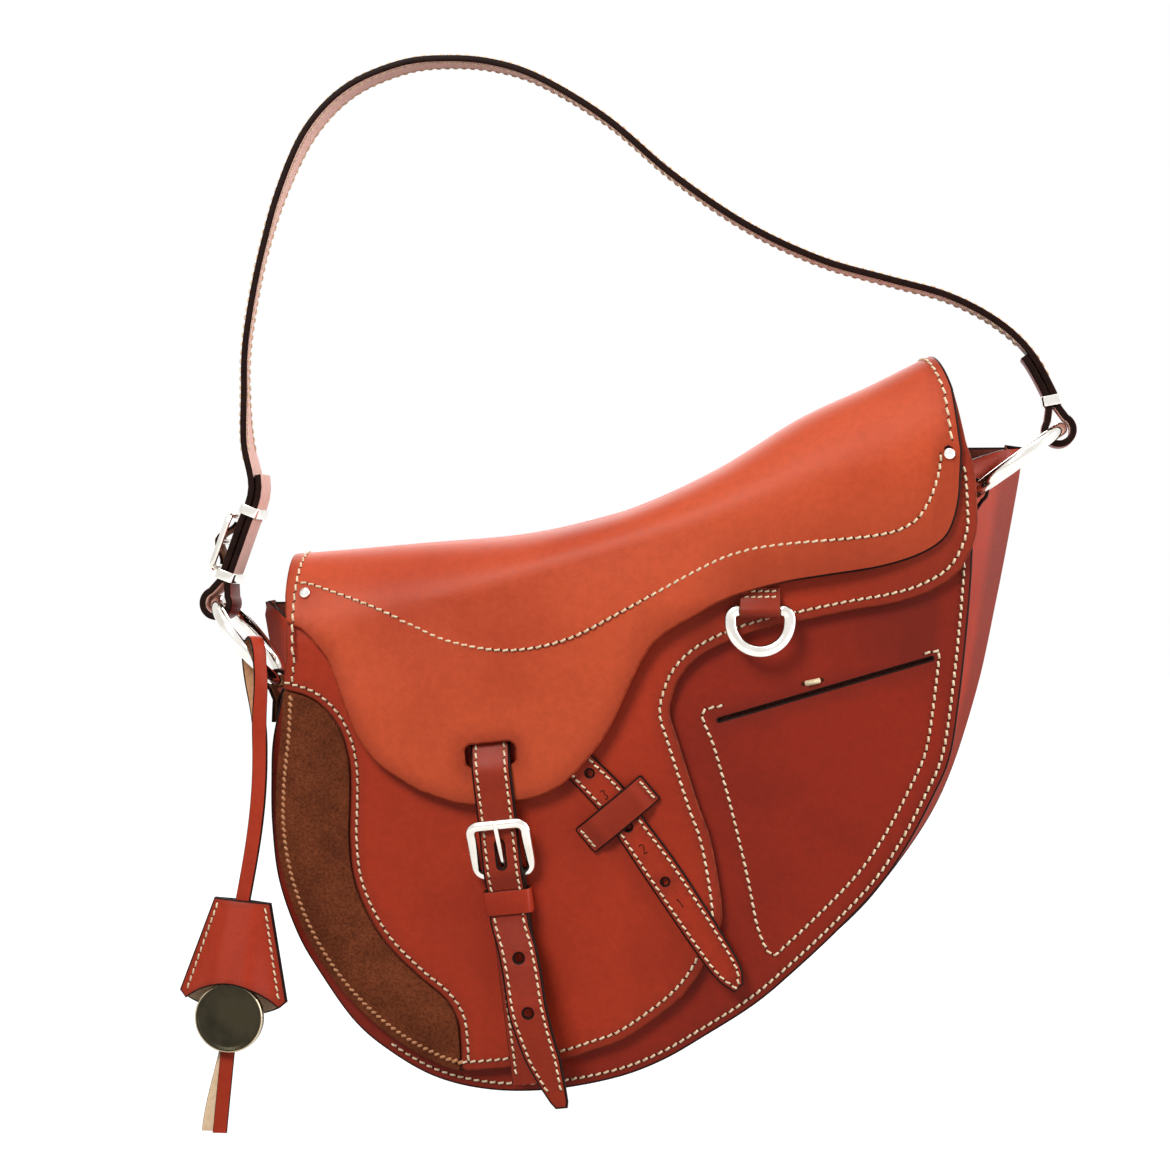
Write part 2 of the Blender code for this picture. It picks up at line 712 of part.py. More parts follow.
def evenly(curve, count):
    """Points at equal lengths along a curve."""
    lengths = [0]
    for low, high in zip(curve, curve[1:]):
        lengths.append(lengths[-1] + (high - low).length)
    points = []
    at = 0
    for i in range(count + 1):
        target = lengths[-1] * i / count
        while at < len(curve) - 2 and lengths[at + 1] < target:
            at += 1
        part = (target - lengths[at]) / (lengths[at + 1] - lengths[at])
        points.append(curve[at].lerp(curve[at + 1], part))
    return points


def inset(points, distance):
    """Each point moved to the left of the way the curve runs: inwards, where it runs anticlockwise."""
    moved = []
    for i, point in enumerate(points):
        ahead = points[min(i + 1, len(points) - 1)] - points[max(i - 1, 0)]
        moved.append(point + Vector((-ahead.y, ahead.x)).normalized() * distance)
    return moved


def gusset_sections():
    """Across the gusset at each station: a flange, the folded wall in a curve, and the other flange."""
    front = evenly(curve_of(front_outline_shares), GUSSET_STATIONS)
    back = evenly(curve_of(back_outline_shares), GUSSET_STATIONS)
    front_edge = inset(front, GUSSET_INSET)
    front_end = inset(front, GUSSET_INSET + GUSSET_FLANGE)
    back_edge = inset(back, GUSSET_INSET)
    back_end = inset(back, GUSSET_INSET + GUSSET_FLANGE)
    behind = PANEL_THICKNESS + SEAM_GAP + GUSSET_THICKNESS / 2
    back_depth = TOP_DEPTH - SEAM_GAP - GUSSET_THICKNESS / 2
    sections = []
    for i in range(GUSSET_STATIONS + 1):
        near = on_skin(front_edge[i].x, front_edge[i].y, -behind)
        near_end = on_skin(front_end[i].x, front_end[i].y, -behind)
        far = Vector((back_edge[i].x, back_depth, back_edge[i].y))
        far_end = Vector((back_end[i].x, back_depth, back_end[i].y))
        inward = (front_end[i] - front_edge[i]).normalized()
        openness = abs(2 * i / GUSSET_STATIONS - 1)
        fold = GUSSET_FOLD + (GUSSET_TOP_FOLD - GUSSET_FOLD) * openness**2
        middle = (near + far) / 2 + Vector((inward.x, 0, inward.y)) * fold
        control = 2 * middle - (near + far) / 2
        row = [near_end, near]
        for step in range(1, GUSSET_ROWS + 1):
            t = step / (GUSSET_ROWS + 1)
            row.append(near * (1 - t) ** 2 + control * 2 * t * (1 - t) + far * t**2)
        sections.append(row + [far, far_end])
    return sections


def make_gusset():
    sections = gusset_sections()
    across = len(sections[0])
    work = bmesh.new()
    rows = [[work.verts.new(point) for point in section] for section in sections]
    for low, high in zip(rows, rows[1:]):
        for i in range(across - 1):
            work.faces.new((low[i], low[i + 1], high[i + 1], high[i]))
    bmesh.ops.recalc_face_normals(work, faces=work.faces)
    mesh = bpy.data.meshes.new("gusset")
    work.to_mesh(mesh)
    work.free()
    made = add_mesh("gusset", mesh, leather("gusset_leather"), body_pivot)
    shell = made.modifiers.new("thickness", "SOLIDIFY")
    shell.thickness = GUSSET_THICKNESS
    shell.offset = 0
    shell.use_even_offset = True
    shell.use_quality_normals = True


make_front_panel()
make_pouch()
make_back_panel()
make_gusset()


# Lid
def roll_point(share):
    x = share[0] * BAG_WIDTH
    return Vector((x, hinge_height(x) + HINGE_CLEARANCE + (ROLL_LENGTH - HINGE_CLEARANCE) * share[1]))


def lid_outline():
    left = [roll_point(share) for share in lid_left_roll_shares]
    left += curve_of(lid_left_shares, OUTLINE_STEPS)
    right = curve_of(lid_right_shares, OUTLINE_STEPS)[1:]
    right += [roll_point(share) for share in lid_right_roll_shares]
    return left + right


def back_stopped(points, stop):
    """An outline kept a little short of the fold line at the back."""
    kept = []
    for point in points:
        limit = hinge_height(point.x) + ROLL_LENGTH - stop
        kept.append(Vector((point.x, min(point.y, limit))))
    return kept


RIVETS = sized(rivet_shares)


def rivet_holes():
    return [circle(place, RIVET_SHANK_RADIUS + RIVET_CLEARANCE, 8) for place in RIVETS]


def make_lining():
    lining = material("lid_lining", DARK_LEATHER, 0.65, 0.0)
    sheet("lid_lining", [back_stopped(lid_outline(), HINGE_CLEARANCE)] + rivet_holes(), LINING_THICKNESS,
          lining_offset, lining, lid_pivot)


def cut_index(curve, point):
    return min(range(len(curve)), key=lambda i: (curve[i] - point).length)


def make_facing_and_inlay():
    """The lid's leather face, cut away on the left along an S for the suede knee roll that fills it."""
    outline = back_stopped(lid_outline(), HINGE_CLEARANCE)
    inlay = curve_of(inlay_shares, SMALL_OUTLINE_STEPS)
    start = cut_index(outline, inlay[0])
    end = cut_index(outline, inlay[-1])
    facing = outline[:start] + inlay[1:-1] + outline[end + 1:]
    sheet("lid_facing", [facing] + rivet_holes(), FACING_THICKNESS, facing_offset,
          leather("lid_facing_leather"), lid_pivot)
    edge = inset(inlay, -INLAY_GAP)
    suede = material("suede", SUEDE, 0.95, 0.0)
    roll = outline[start + 1:end] + edge[1:-1][::-1]
    sheet("suede_knee_roll", [roll], SUEDE_THICKNESS, SUEDE_OFFSET, suede, lid_pivot)


def closure_place(across, up):
    """The closure's own frame: its origin is on the buckle's lower bar, and it leans to the left."""
    upward = Vector((-CLOSURE_LEAN_SLOPE, 1)).normalized()
    sideways = Vector((upward.y, -upward.x))
    return sized((closure_bar_shares,))[0] + sideways * across + upward * up


def on_closure(across, up, offset):
    place = closure_place(across, up)
    return on_skin(place.x, place.y, offset)


def strap_slot():
    box = rounded_box((-SLOT_HALF_WIDTH, SLOT_BOTTOM), (SLOT_HALF_WIDTH, SLOT_TOP), SLOT_CORNER)
    return [closure_place(*point) for point in box]


def make_seat():
    """The saddle's seat and its hanging lobe: one skin over the top, with a slot for the closure strap."""
    left = [roll_point(share) for share in lid_left_roll_shares]
    lobe = curve_of(lobe_shares, OUTLINE_STEPS)
    right = [roll_point(share) for share in lid_right_roll_shares]
    outline = back_stopped(left + lobe + right, SEAT_BACK_STOP)
    sheet("seat_and_lobe", [outline, strap_slot()] + rivet_holes(), SEAT_THICKNESS, seat_offset,
          leather("seat_leather"), lid_pivot)


def make_rivet(name, place):
    """A domed head on the seat, a shank through the lid's layers, and a washer inside."""
    seat_face = seat_offset(place.x, place.y) + SEAT_THICKNESS / 2 + FIT_GAP
    back_face = lining_offset(place.x, place.y) - LINING_THICKNESS / 2 - FIT_GAP / 2
    cap_back = back_face - (LID_GAP - FIT_GAP)
    profile = [(0, seat_face + RIVET_HEAD_HEIGHT)]
    for angle in (60, 30, 0):
        reach = RIVET_HEAD_RADIUS * math.cos(math.radians(angle))
        profile.append((reach, seat_face + RIVET_HEAD_HEIGHT * math.sin(math.radians(angle))))
    profile += [(RIVET_SHANK_RADIUS, seat_face), (RIVET_SHANK_RADIUS, cap_back), (0, cap_back)]
    spot = skin(place.x, place.y)
    turned(name, profile, spot, skin_normal(place.x, place.y), metal(name + "_metal"), lid_pivot, 14)


make_lining()
make_facing_and_inlay()
make_seat()
make_rivet("rivet_left", RIVETS[0])
make_rivet("rivet_right", RIVETS[1])


# Closure: heights along its own frame, and offsets from the skin
TAIL_END = -TAIL_LENGTH
BUCKLE_STRAP_END = -BUCKLE_STRAP_LENGTH
RETURN_END = -RETURN_LENGTH
FIRST_FREE_HOLE = -FIRST_HOLE_DROP
KEEPER_CENTRE = -KEEPER_DROP
KEEPER_BACK = LID_FACE + FIT_GAP
STRAP_BACK = KEEPER_BACK + KEEPER_THICKNESS + FIT_GAP
BACK_LAYER = STRAP_BACK + BUCKLE_STRAP_THICKNESS / 2
FOLD_RADIUS = BUCKLE_BAR_RADIUS + LOOP_CLEARANCE + BUCKLE_STRAP_THICKNESS / 2
BAR_OFFSET = BACK_LAYER + FOLD_RADIUS
FRONT_LAYER = BACK_LAYER + BUCKLE_STRAP_THICKNESS + FIT_GAP
OVER_BAR = BAR_OFFSET + FOLD_RADIUS + BUCKLE_STRAP_THICKNESS / 2 + FIT_GAP + CLOSURE_THICKNESS / 2
IN_KEEPER = FRONT_LAYER + BUCKLE_STRAP_THICKNESS / 2 + FIT_GAP + CLOSURE_THICKNESS / 2
UNDER_LOBE = LID_FACE + FIT_GAP + CLOSURE_THICKNESS / 2
SEAT_FACE = LID_FACE + SEAM_GAP + SEAT_THICKNESS + SEAT_LIFT
OVER_LOBE = SEAT_FACE + FIT_GAP + CLOSURE_THICKNESS / 2
TOP_BAR_OFFSET = OVER_LOBE + CLOSURE_THICKNESS / 2 + FIT_GAP + BUCKLE_WIRE_RADIUS
KEEPER_FRONT = IN_KEEPER + CLOSURE_THICKNESS / 2 + FIT_GAP


def table_value(table, at):
    """Reads a falling table of pairs, straight between its rows."""
    for high, low in zip(table, table[1:]):
        if at >= low[0]:
            part = (at - low[0]) / (high[0] - low[0])
            return low[1] + (high[1] - low[1]) * part
    return table[-1][1]


LEAN = smooth(tail_lean_shares)
STAND = smooth((
    (STRAP_ANCHOR, UNDER_LOBE), (SLOT_TOP, UNDER_LOBE), (SLOT_BOTTOM, OVER_LOBE), (BUCKLE_HEIGHT, OVER_LOBE),
    (0, OVER_BAR), (KEEPER_CENTRE + KEEPER_HEIGHT / 2, IN_KEEPER),
    (KEEPER_CENTRE - KEEPER_HEIGHT / 2, IN_KEEPER),
    (FIRST_FREE_HOLE, IN_KEEPER + TAIL_STAND * first_hole_stand_share),
    (FIRST_FREE_HOLE - HOLE_PITCH, IN_KEEPER + TAIL_STAND),
    (TAIL_END, IN_KEEPER + TAIL_STAND),
), 1)


def closure_centre(up):
    share = up / -TAIL_END
    return table_value(LEAN, share) * CLOSURE_WIDTH


def closure_stand(up):
    return table_value(STAND, up)


def closure_outline():
    """The strap's flat outline, its tail leaning to the right and tapering to a blunt tip."""
    left = []
    right = []
    for i in range(CLOSURE_LEVELS + 1):
        up = STRAP_ANCHOR + (TAIL_END - STRAP_ANCHOR) * i / CLOSURE_LEVELS
        half = table_value(closure_width_shares, up / -TAIL_END) * CLOSURE_WIDTH / 2
        left.append(Vector((closure_centre(up) - half, up)))
        right.append(Vector((closure_centre(up) + half, up)))
    return left + right[::-1]


def closure_cuts(top, bottom, lines):
    cuts = [(Vector((0, up, 0)), Vector((0, 1, 0))) for up in lines]
    return [cut for cut in cuts if bottom < cut[0].y < top]


def make_closure_strap():
    tongue_hole = capsule(Vector((0, TONGUE_HOLE_LOW + TONGUE_HOLE_WIDTH / 2)),
                          Vector((0, TONGUE_HOLE_HIGH - TONGUE_HOLE_WIDTH / 2)), TONGUE_HOLE_WIDTH)
    free_holes = [FIRST_FREE_HOLE, FIRST_FREE_HOLE - HOLE_PITCH]
    loops = [closure_outline(), tongue_hole]
    loops += [circle((closure_centre(up), up), HOLE_RADIUS, 8) for up in free_holes]
    mesh = filled(loops, CLOSURE_THICKNESS)
    lines = [up for up, _ in STAND] + [TAIL_END / 2, TAIL_END * 3 / 4, BUCKLE_HEIGHT / 2]
    divide(mesh, closure_cuts(STRAP_ANCHOR, TAIL_END, lines))
    place_points(mesh, lambda x, up, n: on_closure(x, up, closure_stand(up) + n))
    add_mesh("closure_strap", mesh, leather("closure_strap_leather"), lid_pivot)


buckle_pivot = empty("buckle_pivot", on_closure(0, 0, BAR_OFFSET), bag_root)


def make_buckle_strap():
    """Sewn to the bottom of the body, it runs up the front and folds round the buckle's lower bar."""
    path = [Vector((BUCKLE_STRAP_END * (1 - i / FOLD_STEPS), BACK_LAYER)) for i in range(FOLD_STEPS)]
    path += arc((0, BAR_OFFSET), FOLD_RADIUS, -90, 90, FOLD_STEPS)
    path += [Vector((-FOLD_SPREAD, FRONT_LAYER)), Vector((RETURN_END, FRONT_LAYER))]
    mesh = filled([ribbon_outline(path, BUCKLE_STRAP_THICKNESS)], CLOSURE_WIDTH)
    place_points(mesh, lambda up, offset, across: on_closure(across, up, offset))
    strap = add_mesh("buckle_strap", mesh, leather("buckle_strap_leather"), body_pivot)
    slot_height = TONGUE_SLOT_BELOW + TONGUE_SLOT_ABOVE
    slot_depth = 4 * FOLD_RADIUS
    work = bmesh.new()
    bmesh.ops.create_cube(work, size=1)
    mesh = bpy.data.meshes.new("tongue_slot_cutter")
    work.to_mesh(mesh)
    work.free()
    middle = (TONGUE_SLOT_ABOVE - TONGUE_SLOT_BELOW) / 2
    place_points(mesh, lambda x, y, z: on_closure(
        x * TONGUE_SLOT_WIDTH, middle + y * slot_height, BAR_OFFSET + z * slot_depth))
    cutter = add_mesh("tongue_slot_cutter", mesh, leather("slot_cutter_leather"), body_pivot)
    hide_as_cutter(cutter)
    cut = strap.modifiers.new("tongue slot", "BOOLEAN")
    cut.operation = "DIFFERENCE"
    cut.object = cutter


def make_keeper():
    """A closed loop of leather round the doubled buckle strap and the tail."""
    half = CLOSURE_WIDTH / 2 + FIT_GAP + LOOP_CLEARANCE
    inner = rounded_box((-half, KEEPER_BACK + KEEPER_THICKNESS), (half, KEEPER_FRONT), KEEPER_CORNER)
    outer_half = half + KEEPER_THICKNESS
    outer_corner = KEEPER_CORNER + KEEPER_THICKNESS
    outer_front = KEEPER_FRONT + KEEPER_THICKNESS
    outer = rounded_box((-outer_half, KEEPER_BACK), (outer_half, outer_front), outer_corner)
    mesh = filled([outer, inner], KEEPER_HEIGHT)
    place_points(mesh, lambda across, offset, up: on_closure(across, KEEPER_CENTRE + up, offset))
    add_mesh("closure_keeper", mesh, leather("keeper_leather"), body_pivot)


def buckle_offset(up):
    return BAR_OFFSET + (TOP_BAR_OFFSET - BAR_OFFSET) * up / BUCKLE_HEIGHT


def make_buckle():
    """A rounded frame whose lower bar is thinner, and a flat tongue that turns on that bar."""
    high = (BUCKLE_HALF_WIDTH, BUCKLE_HEIGHT)
    loop = rounded_box((-BUCKLE_HALF_WIDTH, 0), high, BUCKLE_CORNER, OUTLINE_STEPS)
    radii = [BUCKLE_BAR_RADIUS / BUCKLE_WIRE_RADIUS if point.y < BUCKLE_CORNER / 2 else 1 for point in loop]
    points = [on_closure(point.x, point.y, buckle_offset(point.y)) for point in loop]
    mesh = wire_mesh(points, BUCKLE_WIRE_RADIUS, True, radii)
    add_mesh("buckle_frame", mesh, metal("buckle_metal"), buckle_pivot)


def make_tongue():
    rest = TOP_BAR_OFFSET + BUCKLE_WIRE_RADIUS + FIT_GAP + TONGUE_HALF_HEIGHT
    tip = Vector((BUCKLE_HEIGHT, rest))
    root = Vector((0, BAR_OFFSET))
    along = (tip - root).normalized()
    side = Vector((-along.y, along.x)) * TONGUE_HALF_HEIGHT
    heading = math.degrees(math.atan2(along.y, along.x))
    eye_inner = BUCKLE_BAR_RADIUS + LOOP_CLEARANCE / 2
    eye_outer = eye_inner + TONGUE_EYE_WALL
    spread = math.degrees(math.asin(TONGUE_HALF_HEIGHT / eye_outer))
    outline = arc(root, eye_outer, heading + spread, heading + 360 - spread, LOOP_STEPS)
    end = tip + along * TONGUE_OVERHANG
    slim = side * tongue_tip_share
    outline += [tip - side, end - slim, end + along * TONGUE_HALF_HEIGHT, end + slim, tip + side]
    mesh = filled([outline, circle(root, eye_inner, 12)], TONGUE_WIDTH)
    place_points(mesh, lambda up, offset, across: on_closure(across, up, offset))
    add_mesh("buckle_tongue", mesh, metal("tongue_metal"), buckle_pivot)


make_closure_strap()
make_buckle_strap()
make_keeper()
make_buckle()
make_tongue()


# Stirrup strap, laid across the lid and out from under the lobe
def make_stirrup():
    outline = curve_of(stirrup_left_shares, SMALL_OUTLINE_STEPS)
    outline += curve_of(stirrup_right_shares, SMALL_OUTLINE_STEPS)
    holes = [circle(place, STIRRUP_HOLE_RADIUS, 8) for place in sized(stirrup_hole_shares)]
    offset = LID_FACE + FIT_GAP + STIRRUP_THICKNESS / 2
    look = leather("stirrup_leather")
    sheet("stirrup_strap", [outline] + holes, STIRRUP_THICKNESS, offset, look, lid_pivot)


def make_stirrup_keeper():
    """A bar of leather across the stirrup strap, sewn to the lid at both ends."""
    corners = sized(stirrup_keeper_shares)
    start = (corners[0] + corners[1]) / 2
    end = (corners[2] + corners[3]) / 2
    along = (end - start).normalized()
    side = Vector((-along.y, along.x))
    length = (end - start).length
    width = ((corners[0] - corners[1]).length + (corners[2] - corners[3]).length) / 2
    low = LID_FACE + FIT_GAP + STIRRUP_KEEPER_THICKNESS / 2
    rise = STIRRUP_THICKNESS + FIT_GAP
    bar = rounded_box((0, -width / 2), (length, width / 2), KEEPER_CORNER, 2)
    mesh = filled([bar], STIRRUP_KEEPER_THICKNESS)
    cuts = [(Vector((length * i / KEEPER_STEPS, 0, 0)), Vector((1, 0, 0))) for i in range(1, KEEPER_STEPS)]
    divide(mesh, cuts)

    def place(run, across, n):
        spot = start + along * run + side * across
        near_end = min(run, length - run) / length
        arch = smooth_step((near_end - arch_start_share) / arch_length_share)
        return on_skin(spot.x, spot.y, low + rise * arch + n)

    place_points(mesh, place)
    add_mesh("stirrup_keeper", mesh, leather("stirrup_keeper_leather"), lid_pivot)


make_stirrup()
make_stirrup_keeper()


# D-ring and its tab on the lid
DEE_FOLD = DEE_WIRE_RADIUS + LOOP_CLEARANCE + DEE_TAB_THICKNESS / 2
DEE_BACK = LID_FACE + FIT_GAP + DEE_TAB_THICKNESS / 2
DEE_OFFSET = DEE_BACK + DEE_FOLD


DEE_BAR = sized((dee_bar_shares,))[0]
DEE_SPOT = skin(DEE_BAR.x, DEE_BAR.y)
DEE_OUT = skin_normal(DEE_BAR.x, DEE_BAR.y)
DEE_SIDE = Vector((0, 0, 1)).cross(DEE_OUT).normalized()
DEE_RISE = DEE_OUT.cross(DEE_SIDE)


def dee_place(across, up, offset):
    return DEE_SPOT + DEE_SIDE * across + DEE_RISE * up + DEE_OUT * offset


DEE_CENTRE = dee_place(0, 0, DEE_OFFSET)
dee_pivot = empty("d_ring_pivot", DEE_CENTRE, bag_root)


def make_dee():
    """The tab wraps the ring's straight bar from below, and both its ends are sewn flat above it."""
    path = [Vector((DEE_TAB_LENGTH, DEE_BACK)), Vector((DEE_TAB_LENGTH / 2, DEE_BACK))]
    path += arc((0, DEE_OFFSET), DEE_FOLD, 270, 50, LOOP_STEPS)
    front = DEE_BACK + DEE_TAB_THICKNESS + FIT_GAP
    path += [Vector((DEE_TAB_LENGTH * tab_close_share, front)), Vector((DEE_TAB_LENGTH, front))]
    mesh = filled([ribbon_outline(path, DEE_TAB_THICKNESS)], DEE_TAB_WIDTH)
    place_points(mesh, lambda up, offset, across: dee_place(across, up, offset))
    add_mesh("d_ring_tab", mesh, leather("d_ring_tab_leather"), lid_pivot)
    points = [DEE_CENTRE - DEE_SIDE * DEE_HALF_WIDTH, DEE_CENTRE + DEE_SIDE * DEE_HALF_WIDTH]
    for across, down in arc((0, 0), DEE_HALF_WIDTH, 0, -180, LOOP_STEPS):
        points.append(DEE_CENTRE + DEE_SIDE * across + Vector((0, 0, down - DEE_STRAIGHT)))
    mesh = wire_mesh(points, DEE_WIRE_RADIUS, True)
    add_mesh("d_ring", mesh, metal("d_ring_metal"), dee_pivot)


make_dee()


# Rings and their tabs on the gusset
def make_ring(name, centre, tilt, pivot):
    bpy.ops.mesh.primitive_torus_add(major_radius=RING_RADIUS, minor_radius=RING_WIRE_RADIUS,
                                     major_segments=32, minor_segments=8)
    made = bpy.context.object
    made.name = name
    for owner in list(made.users_collection):
        owner.objects.unlink(made)
    bag.objects.link(made)
    made.parent = pivot
    made.location = (0, 0, 0)
    made.rotation_euler = (0, -tilt, 0)
    made.data.shade_smooth()
    made.data.materials.append(metal(name + "_metal"))


def edge_on_strip(name, path, thickness, width, look, pivot):
    """A strap seen edge-on from the front: its path lies in X and Z, and its width runs along Y."""
    mesh = filled([ribbon_outline(path, thickness)], width)
    place_points(mesh, lambda x, z, y: Vector((x, STRAP_DEPTH + y, z)))
    return add_mesh(name, mesh, look, pivot)


def ring_sag(width):
    """How far a ring's wire bends away over half the width of a strap that holds it."""
    return RING_RADIUS - math.sqrt(RING_RADIUS**2 - width**2 / 4)


TAB_SAG = ring_sag(TAB_WIDTH)
TAB_LOOP = RING_WIRE_RADIUS + TAB_CLEARANCE + TAB_SAG / 2 + TAB_THICKNESS / 2


def wall_reach(side, low, high):
    """How far out the gusset's outer face comes under a tab, between two heights."""
    reach = []
    sections = gusset_sections()
    for section, following in zip(sections, sections[1:]):
        for start, end in zip(section[1:-1], following[1:-1]):
            for point in evenly([start, end], WALL_STEPS):
                near = abs(point.y - STRAP_DEPTH) < TAB_WIDTH / 2 + GUSSET_FLANGE
                if near and low < point.z < high and side * point.x > 0:
                    reach.append(side * point.x)
    return max(reach) + GUSSET_THICKNESS / 2


def make_tab(name, tab, tilt, side):
    """A leather loop round the ring's wire, its two ends sewn together to the gusset below."""
    towards_ring = Vector((side * math.cos(tilt), side * math.sin(tilt)))
    centre = Vector((tab.x, tab.z)) + towards_ring * TAB_SAG / 2
    foot = centre.y - TAB_LENGTH
    legs = TAB_THICKNESS + FIT_GAP / 2
    anchor = Vector((side * (wall_reach(side, foot - GUSSET_FLANGE, centre.y) + FIT_GAP + legs), foot))
    down = (anchor - centre).normalized()
    heading = math.degrees(math.atan2(down.y, down.x))
    half = (TAB_THICKNESS + FIT_GAP) / 2
    spread = math.degrees(math.asin(half / TAB_LOOP)) + TAB_OPENING
    square = Vector((-down.y, down.x)) * half
    path = [centre + down * TAB_LENGTH + square, centre + down * TAB_LOOP * tab_neck_share + square]
    path += arc(centre, TAB_LOOP, heading + spread, heading + 360 - spread, LOOP_STEPS)
    path += [centre + down * TAB_LOOP * tab_neck_share - square, centre + down * TAB_LENGTH - square]
    edge_on_strip(name, path, TAB_THICKNESS, TAB_WIDTH, leather(name + "_leather"), body_pivot)


make_ring("ring_left", LEFT_RING, LEFT_RING_TILT, left_ring_pivot)
make_ring("ring_right", RIGHT_RING, RIGHT_RING_TILT, right_ring_pivot)
make_tab("gusset_tab_left", LEFT_TAB, LEFT_RING_TILT, -1)
make_tab("gusset_tab_right", RIGHT_TAB, RIGHT_RING_TILT, 1)


# Shoulder strap: it wraps both rings, and each end comes back up on its inner side
STRAP_SAG = ring_sag(STRAP_WIDTH)
STRAP_LOOP = RING_WIRE_RADIUS + TAB_CLEARANCE + STRAP_SAG / 2 + STRAP_THICKNESS / 2
LAYER_PITCH = STRAP_THICKNESS + FIT_GAP


def ring_end(centre, tilt, side):
    """Where the strap holds the ring: the far end of the ring from its tab."""
    reach = RING_RADIUS - STRAP_SAG / 2
    return Vector((centre.x + side * math.cos(tilt) * reach, centre.z + side * math.sin(tilt) * reach))


LEFT_HOLD = ring_end(LEFT_RING, LEFT_RING_TILT, -1)
RIGHT_HOLD = ring_end(RIGHT_RING, RIGHT_RING_TILT, 1)
HOLD_TO_HOLD = RIGHT_HOLD - LEFT_HOLD
SQUARE_TO_HOLDS = Vector((-HOLD_TO_HOLD.y, HOLD_TO_HOLD.x))


def between_holds(share):
    """A direction or a distance from the left ring's hold, as shares of the way to the right one."""
    return HOLD_TO_HOLD * share[0] + SQUARE_TO_HOLDS * share[1]


LEFT_UP = between_holds(left_strap_turn_shares).normalized()
RIGHT_UP = between_holds(right_strap_turn_shares).normalized()


def cut_to(points, length):
    """The first stretch of a path, as long as asked."""
    kept = [points[0]]
    for low, high in zip(points, points[1:]):
        step = (high - low).length
        if step >= length:
            kept.append(low.lerp(high, length / step))
            return kept
        length -= step
        kept.append(high)
    return kept


def strap_paths():
    """The run from ring to ring, and the full path with both loops and both returning ends."""
    left_side = Vector((-LEFT_UP.y, LEFT_UP.x)) * LAYER_PITCH / 2
    right_side = Vector((RIGHT_UP.y, -RIGHT_UP.x)) * LAYER_PITCH / 2
    left_start = [LEFT_HOLD + LEFT_UP * (STRAP_NECK + rise) + left_side for rise in (0, ADJUSTER_HEIGHT)]
    right_end = [RIGHT_HOLD + RIGHT_UP * (STRAP_NECK + rise) + right_side for rise in (STRAP_NECK / 2, 0)]
    arch = [LEFT_HOLD + between_holds(share) for share in strap_shares]
    run = evenly(smooth(left_start + arch + right_end), STRAP_STEPS)
    left_heading = math.degrees(math.atan2(LEFT_UP.y, LEFT_UP.x))
    right_heading = math.degrees(math.atan2(RIGHT_UP.y, RIGHT_UP.x))
    around = STRAP_LOOP_OPENING - 360
    left_first = left_heading - STRAP_LOOP_OPENING
    left_arc = arc(LEFT_HOLD, STRAP_LOOP, left_first, left_heading + around, LOOP_STEPS)
    right_first = right_heading - STRAP_LOOP_OPENING
    right_arc = arc(RIGHT_HOLD, STRAP_LOOP, right_first, right_heading + around, LOOP_STEPS)
    left_return = cut_to(inset(run, -LAYER_PITCH), LEFT_RETURN)
    right_return = cut_to(inset(run[::-1], LAYER_PITCH), RIGHT_RETURN)
    full = left_return[::-1] + left_arc + run + right_arc + right_return
    return run, full


RUN, STRAP_PATH = strap_paths()


def make_strap():
    strap = material("strap_leather", LEATHER, 0.5, 0.0)
    edge_on_strip("shoulder_strap", STRAP_PATH, STRAP_THICKNESS, STRAP_WIDTH, strap, strap_pivot)


def point_on_run(run, distance):
    """A place along a path and the direction there."""
    for low, high in zip(run, run[1:]):
        step = (high - low).length
        if step >= distance:
            return low.lerp(high, distance / step), (high - low).normalized()
        distance -= step
    return run[-1], (run[-1] - run[-2]).normalized()


def make_band(name, run, distance, inner_side):
    """A metal band round both layers of the strap."""
    spot, along = point_on_run(run, distance)
    across = Vector((-along.y, along.x)) * inner_side
    centre = spot + across * LAYER_PITCH / 2
    half_thick = LAYER_PITCH / 2 + STRAP_THICKNESS / 2 + FIT_GAP
    half_wide = STRAP_WIDTH / 2 + FIT_GAP
    wall = STRAP_BAND_WALL
    inner = rounded_box((-half_wide, -half_thick), (half_wide, half_thick), wall, 2)
    corner = (half_wide + wall, half_thick + wall)
    outer = rounded_box((-corner[0], -corner[1]), corner, 2 * wall, 2)
    mesh = filled([outer, inner], STRAP_BAND_HEIGHT)

    def place(y, thick, up):
        flat = centre + across * thick + along * up
        return Vector((flat.x, STRAP_DEPTH + y, flat.y))

    place_points(mesh, place)
    add_mesh(name, mesh, metal(name + "_metal"), strap_pivot)


def adjuster_place(spot, along, outward):
    def place(y, up, out):
        flat = spot + along * up + outward * out
        return Vector((flat.x, STRAP_DEPTH + y, flat.y))
    return place


